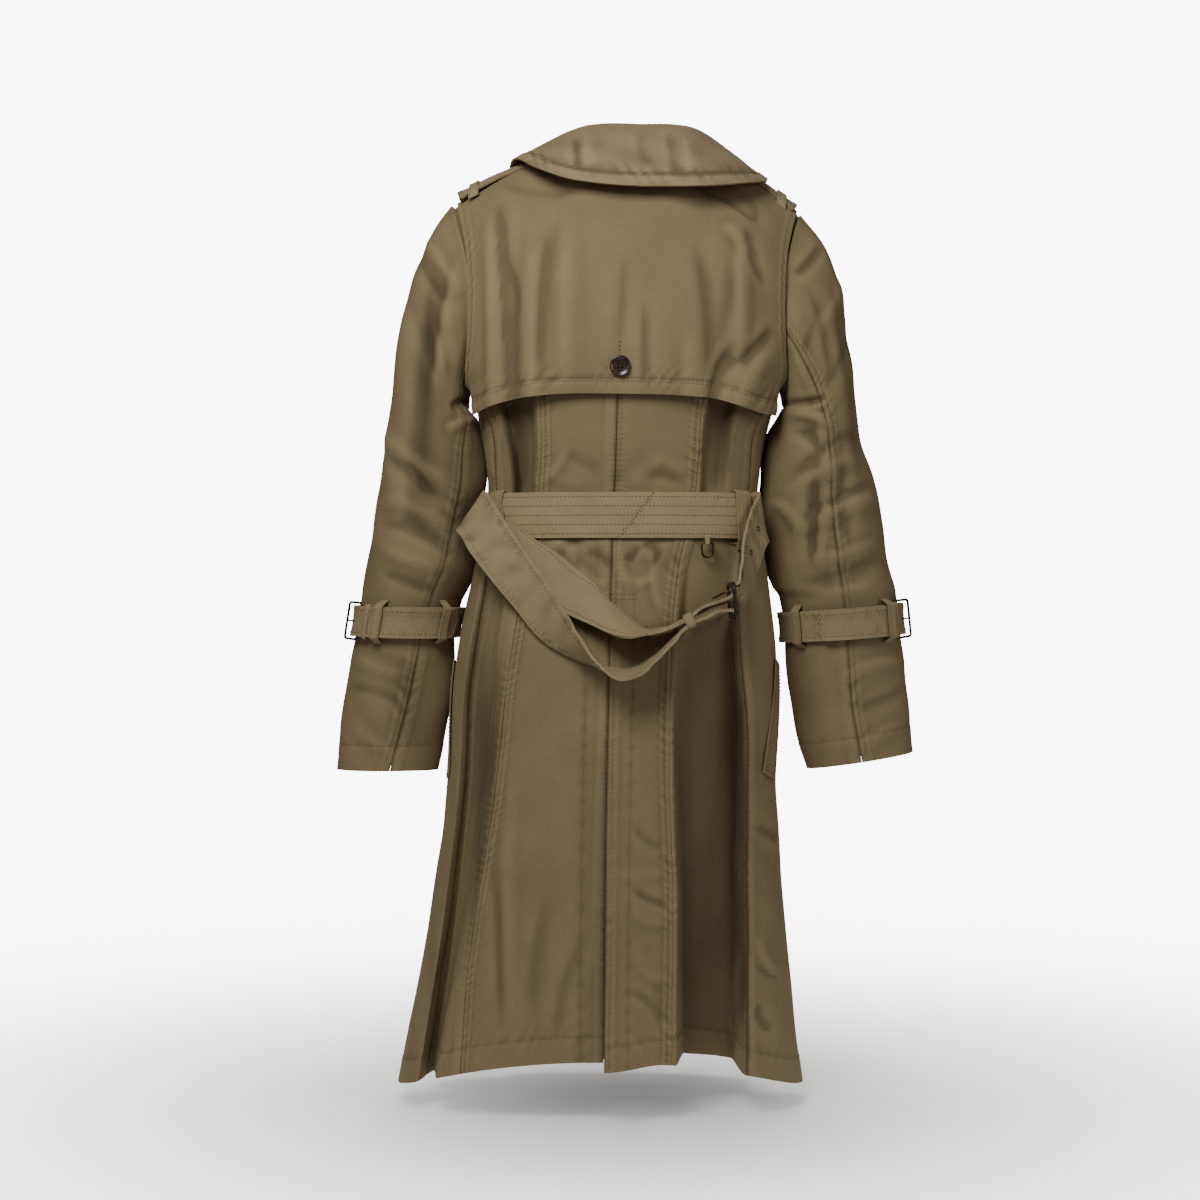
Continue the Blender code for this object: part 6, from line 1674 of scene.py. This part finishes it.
class COAT_OT_epaulettes(CoatOperator, bpy.types.Operator):
    """Make the shoulder straps, which arch over the shoulder seams, and their loops"""

    bl_idname = "coat.epaulettes"
    bl_label = "Epaulettes"

    def execute(self, context):
        for name, side, rise in (("left", 1, EPAULETTE_RISE_LEFT), ("right", -1, EPAULETTE_RISE_RIGHT)):
            distance = np.linspace(0.1, 0.184, 42)
            grid = epaulette_grid(side, rise, distance, EPAULETTE_HALF_WIDTH.at(distance)[0][:, None],
                                  np.linspace(-1, 1, 24))
            normals = grid_normals(grid) * side
            strap = Cloth(grid + normals * FIRM_CLOTH, normals, FIRM_CLOTH)
            edges = ("first", "last", "hem")
            for edge in edges:
                strap.sew(edge, (0.005,), 0.0002, allowance=0.006, groove=0, seed=2.0)
            strap.settle(0.0003, 0.03, seed=3.0)
            strap.build(f"epaulette_{name}", strap.lines(*edges, offset=0.005, margin=0.005), held="laid",
                        rests_on=["storm_flap"], firm=True)

            across = np.linspace(-1, 1, 40)
            grid = epaulette_grid(side, rise, np.linspace(0.1605, 0.1705, 8), 0.0275, across)
            over = FIRM_CLOTH + 0.001 - 0.003 * ease((np.abs(across) - 0.8) / 0.2)
            normals = grid_normals(grid) * side
            loop = Cloth(grid + normals * (over + LOOP_CLOTH)[:, None], normals, LOOP_CLOTH)
            loop.settle(0.0002, 0.02, seed=1.0)
            loop.build(f"epaulette_loop_{name}", loop.lines("top", "hem", offset=0.0018), held="stretched",
                       rests_on=[f"epaulette_{name}"], firm=True)
        return {"FINISHED"}


class COAT_OT_cuff_straps(CoatOperator, bpy.types.Operator):
    """Make the buckled strap of each cuff with its loops, keeper and buckle"""

    bl_idname = "coat.cuff_straps"
    bl_label = "Cuff straps"

    def execute(self, context):
        for side_name in SLEEVES:
            self.strap(side_name)
            self.loops(side_name)
            self.keeper(side_name)
            self.buckle(side_name)
        return {"FINISHED"}

    @staticmethod
    def on_sleeve(side_name, turn, heights, lift, thickness=FIRM_CLOTH):
        """Return cloth that lies round a sleeve at real heights, its inner face at lift."""
        around = np.broadcast_to(turn, heights.shape)
        normals = sleeve_normal(side_name, around, reach_of(side_name, heights))
        points = strap_surface(side_name, around, heights, lift)
        return Cloth(points + normals * thickness, normals, thickness)

    def strap(self, side_name):
        """Make the strap, whose tip overlaps its own start."""
        start, tip = CUFF_STRAPS[side_name][:2]
        turn = np.linspace(start + 9, tip + 360, 210)
        lift = CUFF_STRAP_BASE + CUFF_LAYER * ease((turn - start - 345) / 16)
        point = ease((turn[-1] - turn) / 11.0)
        narrow = np.minimum(CUFF_HALF, 0.006 + point * CUFF_HALF)[:, None]
        heights = strap_height(side_name, turn)[:, None] + np.linspace(-1, 1, 13) * narrow
        strap = self.on_sleeve(side_name, turn[:, None], heights, lift[:, None])
        for edge in ("first", "last"):
            strap.sew(edge, (0.0045,), 0.0003, pitch=0.01, reach=0.006, allowance=0.0055, groove=0, seed=2.0)
        strap.settle(0.0003, 0.03, seed=2.0)
        lines = strap.lines("first", "last", offset=0.0045) + [strap.line("hem", 0.0045, margin=0.003)]
        for share in (0.3, 0.36):
            row = int(share * 209)
            lines += eyelet(strap.surface()[row, 6], strap.normals[row, 6], 0.0026)
        strap.build(f"cuff_strap_{side_name}", lines, held="folded",
                    rests_on=(f"sleeve_upper_{side_name}", f"sleeve_under_{side_name}"), firm=True)

    def loops(self, side_name):
        """Make the two sewn loops that carry the strap."""
        tip, loops = CUFF_STRAPS[side_name][1], CUFF_STRAPS[side_name][4]
        for label, middle in zip(("a", "b"), loops):
            turn = np.linspace(middle - 4.5, middle + 4.5, 8)
            across = np.linspace(-1, 1, 40)
            heights = strap_height(side_name, middle) + across[:, None] * (CUFF_HALF + 0.0065) + 0 * turn
            layers = 2 if middle < tip else 1
            high = CUFF_STRAP_BASE + layers * CUFF_LAYER + 0.0006
            lift = 0.0012 + high * ease((1 - np.abs(across)) / 0.24)[:, None]
            loop = self.on_sleeve(side_name, turn, heights, lift, LOOP_CLOTH)
            lines = loop.lines("top", "hem", offset=0.0018)
            lines += loop.lines("first", "last", offset=0.0015, margin=0.004)
            loop.build(f"cuff_loop_{label}_{side_name}", lines, held="stretched",
                       rests_on=[f"cuff_strap_{side_name}"], firm=True, stitch=0.0022)

    @staticmethod
    def keeper(side_name):
        """Make the narrow band that holds the strap's tip down."""
        middle = np.array([CUFF_STRAPS[side_name][5]])
        height = strap_height(side_name, middle)
        depth = CUFF_LAYER + FIRM_CLOTH
        centre = strap_surface(side_name, middle, height, CUFF_STRAP_BASE + depth / 2)[0]
        normal = sleeve_normal(side_name, middle, reach_of(side_name, height))[0]
        upward = unit(strap_surface(side_name, middle, height + 0.01, 0.0)[0]
                      - strap_surface(side_name, middle, height - 0.01, 0.0)[0])
        band(f"cuff_keeper_{side_name}", centre, upward, normal, CUFF_HALF + 0.0012, depth / 2 + 0.0009,
             0.007, 0.001)

    @staticmethod
    def buckle(side_name):
        """Make the covered buckle with the prong that runs through the strap."""
        kinds = materials()
        start = CUFF_STRAPS[side_name][0]
        corners = []
        for turn, lift, sign in ((start + 4.5, 0.005, -1), (start + 4.5, 0.005, 1),
                                 (start - 12, 0.0124, 1), (start - 12, 0.0124, -1)):
            height = strap_height(side_name, np.array([turn])) + sign * (CUFF_HALF + 0.0032)
            corners.append(strap_surface(side_name, np.array([turn]), height, lift)[0])
        frame = swept(f"cuff_buckle_{side_name}_frame", rounded_loop(corners, 0.0035, steps=8),
                      (0.0014, 0.0014), kinds["covered leather"])
        put_on(frame, "buckle_leather", f"cuff_buckle_{side_name}")
        near, far = (corners[0] + corners[1]) / 2, (corners[2] + corners[3]) / 2
        t = np.linspace(0.02, 1.06, 16)[:, None]
        outward = unit(sleeve_normal(side_name, np.array([start - 4.0]), np.array([1.5])))[0]
        arch = 0.0042 * np.sin(np.pi * np.clip(t, 0, 1)) ** 0.7
        prong = swept(f"cuff_prong_{side_name}", mix(near, far, t) + outward * arch, (0.001, 0.001),
                      kinds["aged brass"], 12, closed=False, flat=unit(corners[1] - corners[0]))
        put_on(prong, "ring_metal")


class COAT_OT_belt(CoatOperator, bpy.types.Operator):
    """Make the belt, its buckle, keeper and ring, and the loops that carry it"""

    bl_idname = "coat.belt"
    bl_label = "Belt"

    def execute(self, context):
        route = belt_route(0.0033)
        grid = mix(route[:, None, :3], route[:, None, 3:], np.linspace(0, 1, 19)[:, None])
        normals = grid_normals(grid)
        belt = Cloth(grid + normals * BELT_THICKNESS / 2, normals, BELT_THICKNESS)
        for edge in ("first", "last"):
            belt.sew(edge, (BELT_ROWS[0],), 0.0006, pitch=0.01, reach=0.006, allowance=0.006, groove=0, seed=3.0)
        belt.settle(0.0007, 0.035, seed=5.0)
        lines = belt.lines("first", offset=BELT_ROWS[0])
        for offset in BELT_ROWS[1:-1]:
            points, directions = belt.line("first", offset)
            flat = (np.abs(points[:, 2] - BELT_MIDDLE) < 0.03) & (np.abs(points[:, 0]) < 0.135)
            lines.append((points[flat], directions[flat]))
        lines += belt.lines("first", offset=BELT_ROWS[-1])
        lines += [self.across_back(belt, -0.0249 + shift, 0.0117 + shift) for shift in (0.0, 0.0022)]
        belt.build("belt", lines + other_face(lines, BELT_THICKNESS), rests_on=("back_left", "back_right"),
                   firm=True)
        self.eyelets(belt)
        self.buckle()
        self.keeper(route)
        self.ring()
        self.loops()
        return {"FINISHED"}

    @staticmethod
    def across_back(belt, top_x, bottom_x):
        """Return a slanting line across the belt where it crosses the back."""
        face = belt.surface()
        columns = np.arange(face.shape[1])
        target = mix(top_x, bottom_x, columns / columns[-1])
        off = np.abs(face[..., 0] - target) + (np.abs(face[..., 2] - BELT_MIDDLE) > 0.03)
        rows = np.argmin(off, axis=0)
        return face[rows, columns], belt.normals[rows, columns]

    @staticmethod
    def eyelets(belt):
        """Sew three round eyelets across the strand that hangs from the right loop."""
        face = belt.surface()
        lines = []
        for x, z in BELT_EYELETS:
            place = nearest(face, x, z, least_y=0.06)
            outside = belt.normals[place][1] > 0
            normal = belt.normals[place] if outside else -belt.normals[place]
            lines += eyelet(face[place] + (0 if outside else normal * BELT_THICKNESS), normal, 0.003)
        stitching("belt_eyelet_stitching", lines, materials()["waxed button thread"], 0.0024, 0.0005)

    @staticmethod
    def buckle():
        """Make the covered frame, flat in section, with its prong."""
        kinds = materials()
        frame = swept("belt_buckle_frame", rounded_loop(BELT_BUCKLE, 0.006, steps=10), (0.003, 0.002),
                      kinds["covered leather"], 20)
        put_on(frame, "buckle_leather", "belt_buckle")
        t = np.linspace(0, 1, 18)[:, None]
        near, far = np.array(BELT_PRONG)
        points = mix(near, far, t) + np.array([0.0, 0.0035, 0.0]) * np.sin(np.pi * t)
        prong = swept("belt_prong", points, (0.0015, 0.0012), kinds["aged brass"], 14, closed=False, flat=UP)
        put_on(prong, "ring_metal")

    @staticmethod
    def keeper(route):
        """Make the band that holds the two strands together."""
        middle = (route[:, :3] + route[:, 3:]) / 2
        place = int(np.argmin(np.linalg.norm(middle - BELT_KEEPER, axis=-1)))
        upward = route[place, :3] - route[place, 3:]
        standing = np.cross(upward, middle[place + 1] - middle[place - 1])
        band("belt_keeper", np.array(BELT_KEEPER), upward, standing, BELT_WIDTH / 2 + 0.004, 0.0064, 0.01, 0.0014)

    @staticmethod
    def ring():
        """Make the ring and the tab that it hangs from."""
        x, y, z = D_RING
        corners = ((x - 0.0065, y, z), (x + 0.0065, y, z), (x + 0.005, y, z - 0.015),
                   (x - 0.005, y, z - 0.015))
        ring = swept("d_ring_metal", rounded_loop(corners, 0.0045, steps=8), (0.0011, 0.0011),
                     materials()["aged brass"])
        put_on(ring, "ring_metal", "d_ring")
        band("d_ring_tab", np.array([x, y, z + 0.0028]), UP, np.array([0, 1.0, 0]), 0.0046, 0.0018, 0.005, 0.001)

    @staticmethod
    def loops():
        """Make the two loops at the side panels."""
        across = np.linspace(0, 1, 14)
        down = np.linspace(0, 1, 40)[:, None]
        heights = BELT_TOP + 0.007 + (BELT_BOTTOM - BELT_TOP - 0.014) * down + 0 * across
        share = ease(np.minimum(down, 1 - down) / 0.12)[..., None]
        for name, start, end in BELT_LOOPS:
            angles = start + (end - start) * across + 0 * down
            normals = body_normal(angles, -heights, folded=False)
            seated = body_point(angles, -heights, folded=False) + normals * BELT_LOOP_CLOTH
            over = under_belt(angles, heights, BELT_CLEARANCE + BELT_THICKNESS / 2 + 0.0012)
            loop = Cloth(mix(seated, over, share) + normals * BELT_LOOP_CLOTH, normals, BELT_LOOP_CLOTH)
            loop.settle(0.0003, 0.02, seed=4.0)
            lines = loop.lines("first", "last", offset=0.002, margin=0.003)
            lines += loop.lines("top", "hem", offset=0.003)
            loop.build(f"belt_loop_{name}", lines, held="stretched", rests_on=["belt"], firm=True, stitch=0.0026)


class COAT_OT_pockets(CoatOperator, bpy.types.Operator):
    """Make the slanting welts of the side pockets"""

    bl_idname = "coat.pockets"
    bl_label = "Pocket welts"

    def execute(self, context):
        down = np.linspace(0, 1, 50)[:, None]
        across = np.linspace(0, 1, 14)
        drops = 0.528 + 0.117 * down + 0.006 * across
        edges = ("first", "last", "top", "hem")
        for name, side, top, bottom in (("left", 1, 88.0, 76.0), ("right", -1, 74.0, 60.0)):
            angles = side * (mix(top, bottom, down) + 14.0 * across)
            normals = body_normal(angles, drops)
            welt = Cloth(body_point(angles, drops) + normals * (0.0006 + CLOTH), normals, 0.0013)
            for edge in edges:
                welt.sew(edge, (0.005,), 0.0002, allowance=0.006, groove=0, seed=2.0)
            welt.build(f"pocket_welt_{name}", welt.lines(*edges, offset=0.005, margin=0.002), held="laid",
                       rests_on=[f"front_{name}"])
        return {"FINISHED"}


class COAT_OT_buttons(CoatOperator, bpy.types.Operator):
    """Make the front's two columns of buttons and the one on the storm flap"""

    bl_idname = "coat.buttons"
    bl_label = "Buttons"

    def execute(self, context):
        places = [(f"button_{column}_{row + 1}", angle, 0.292 + 0.098 * row, True, 0.0018)
                  for column, angle in (("left", -196.0), ("right", -164.0)) for row in range(4)]
        places.append(("button_storm_flap", *STORM_BUTTON_AT, False, 0.0098))
        for name, angle, drop, folded, lift in places:
            normal = body_normal(np.array([angle]), np.array([drop]), folded)[0]
            self.button(name, body_point(angle, drop, folded) + normal * lift, normal,
                        context.scene.coat_sizes.button_diameter / 2)
        return {"FINISHED"}

    @staticmethod
    def button(name, place, normal, radius):
        """Make one button with a raised rim, a dished middle and four holes, shown as dark discs of painted
        shade, with thread sewn through.
        """
        kinds = materials()
        profile = [(radius * share, height) for share, height in BUTTON_PROFILE]
        disc = turned(f"{name}_horn", profile, place, normal, kinds["polished horn"])
        put_on(disc, "button_horn", name)
        normal, side, up = side_and_up(normal)
        face = place + normal * 0.0021
        gap = radius * 0.17
        # Each hole is a thin near-black disc on the face: painted shade standing for its hollow.
        hole = ((0.0, 0.0), (radius * 0.085, 0.0), (radius * 0.085, 0.00012), (0.0, 0.00012))
        hole_shades = [turned(f"{name}_hole", hole, face + side * gap * across + up * gap * rise, normal,
                        kinds["painted hole shade"], 16) for across in (-1, 1) for rise in (-1, 1)]
        put_on(joined(f"{name}_holes", hole_shades), "button_horn")
        ends = np.linspace(-1, 1, 12)[:, None]
        strand = face + up * gap * ends * 1.05 + normal * 0.0005 * (1 - ends ** 2)
        lines = [(strand + side * (gap * across + shift), normal + 0 * ends)
                 for across in (-1, 1) for shift in (-0.0003, 0.0003)]
        stitching(f"{name}_thread", lines, kinds["waxed button thread"], radius * 0.28, 0.00026)


class COAT_OT_stage(CoatOperator, bpy.types.Operator):
    """Make the pale floor and backdrop, the soft lights and the camera"""

    bl_idname = "coat.stage"
    bl_label = "Stage"

    def execute(self, context):
        self.floor(FRAME_BOX[0][2] - context.scene.coat_sizes.floor_gap)
        self.backdrop()
        for name, place, target, energy, size in LIGHTS:
            data = bpy.data.lights.new(name, "AREA")
            data.energy, data.size = energy, size
            light = self.put(name, data, place)
            light.rotation_euler = (Vector(target) - light.location).to_track_quat("-Z", "Y").to_euler()
        lens = bpy.data.cameras.new("camera")
        lens.lens = CAMERA_LENS
        lens.sensor_width = 36
        lens.clip_start = 0.01
        camera = self.put("camera", lens, CAMERA_PLACE)
        camera.rotation_euler = (math.radians(90), 0, math.radians(180))
        context.scene.camera = camera
        return {"FINISHED"}

    @staticmethod
    def put(name, data, place):
        """Put a light or a camera into the scene."""
        made = bpy.data.objects.new(name, data)
        made.location = place
        bpy.context.scene.collection.objects.link(made)
        return made

    @staticmethod
    def floor(height):
        """Lay a disc of paper that thins out to nothing at its rim, so no horizon line shows."""
        paper, tree, shader = new_material("matt paper", 0.9, specular=0.1)
        shader.inputs["Base Color"].default_value = linear("#F4F3F1")
        shader.inputs["Emission Color"].default_value = linear("#FFFFFF")
        shader.inputs["Emission Strength"].default_value = 0.22
        place = node(tree, "TexCoord").outputs["Object"]
        spread = node(tree, "Mapping", links={"Vector": place}, Scale=(0.55, 0.55, 0.55))
        round_fade = node(tree, "TexGradient", {"gradient_type": "SPHERICAL"}, {"Vector": spread})
        cover = node(tree, "MapRange", {"interpolation_type": "SMOOTHSTEP"}, {"Value": round_fade.outputs["Fac"]},
                     From_Min=0.0, From_Max=1.0)
        tree.links.new(cover.outputs["Result"], shader.inputs["Alpha"])
        rim = [(FLOOR_RADIUS * math.cos(turn), FLOOR_RADIUS * math.sin(turn), 0.0)
               for turn in np.linspace(0, 2 * math.pi, 96, endpoint=False)]
        sheet = add_piece("floor", rim, [tuple(range(96))], paper)
        sheet.location.z = height

    @staticmethod
    def backdrop():
        """Show a white surround to the camera and light the coat with a dim warm one."""
        world = bpy.data.worlds.new("pale studio")
        world.use_nodes = True
        tree = world.node_tree
        lit = tree.nodes["Background"]
        lit.inputs["Color"].default_value = linear("#EFE1CC")
        lit.inputs["Strength"].default_value = 0.07
        seen = node(tree, "Background", Color=linear("#FFFFFF"), Strength=9.0)
        rays = node(tree, "LightPath")
        both = node(tree, "MixShader", links={"Fac": rays.outputs["Is Camera Ray"], 1: lit,
                                              2: seen})
        tree.links.new(both.outputs["Shader"], tree.nodes["World Output"].inputs["Surface"])
        bpy.context.scene.world = world


class COAT_PT_panel(bpy.types.Panel):
    """Lists the coat's pieces, its sizes and its colours"""

    bl_idname = "COAT_PT_panel"
    bl_label = "Trench Coat"
    bl_space_type = "VIEW_3D"
    bl_region_type = "UI"
    bl_category = "Coat"

    def draw(self, context):
        for group in (context.scene.coat_sizes, context.scene.coat_colours):
            box = self.layout.box()
            for key in group.__annotations__:
                box.prop(group, key)
        for operator in OPERATORS:
            self.layout.operator(operator.bl_idname)


OPERATORS = (COAT_OT_backs, COAT_OT_fronts, COAT_OT_storm_flap, COAT_OT_sleeves, COAT_OT_collar,
             COAT_OT_epaulettes, COAT_OT_cuff_straps, COAT_OT_belt, COAT_OT_pockets, COAT_OT_buttons,
             COAT_OT_stage)
CLASSES = (CoatSizes, CoatColours) + OPERATORS + (COAT_PT_panel,)


def register():
    """Register the coat's classes and settings."""
    for made in CLASSES:
        bpy.utils.register_class(made)
    bpy.types.Scene.coat_sizes = bpy.props.PointerProperty(type=CoatSizes)
    bpy.types.Scene.coat_colours = bpy.props.PointerProperty(type=CoatColours)


def unregister():
    """Remove the coat's classes and settings."""
    del bpy.types.Scene.coat_sizes
    del bpy.types.Scene.coat_colours
    for made in reversed(CLASSES):
        bpy.utils.unregister_class(made)


def main():
    """Make the whole coat and its stage."""
    register()
    bpy.ops.coat.backs()
    bpy.ops.coat.fronts()
    bpy.ops.coat.storm_flap()
    bpy.ops.coat.sleeves()
    bpy.ops.coat.collar()
    bpy.ops.coat.epaulettes()
    bpy.ops.coat.belt()
    bpy.ops.coat.cuff_straps()
    bpy.ops.coat.pockets()
    bpy.ops.coat.buttons()
    bpy.ops.coat.stage()


if __name__ == "__main__":
    main()
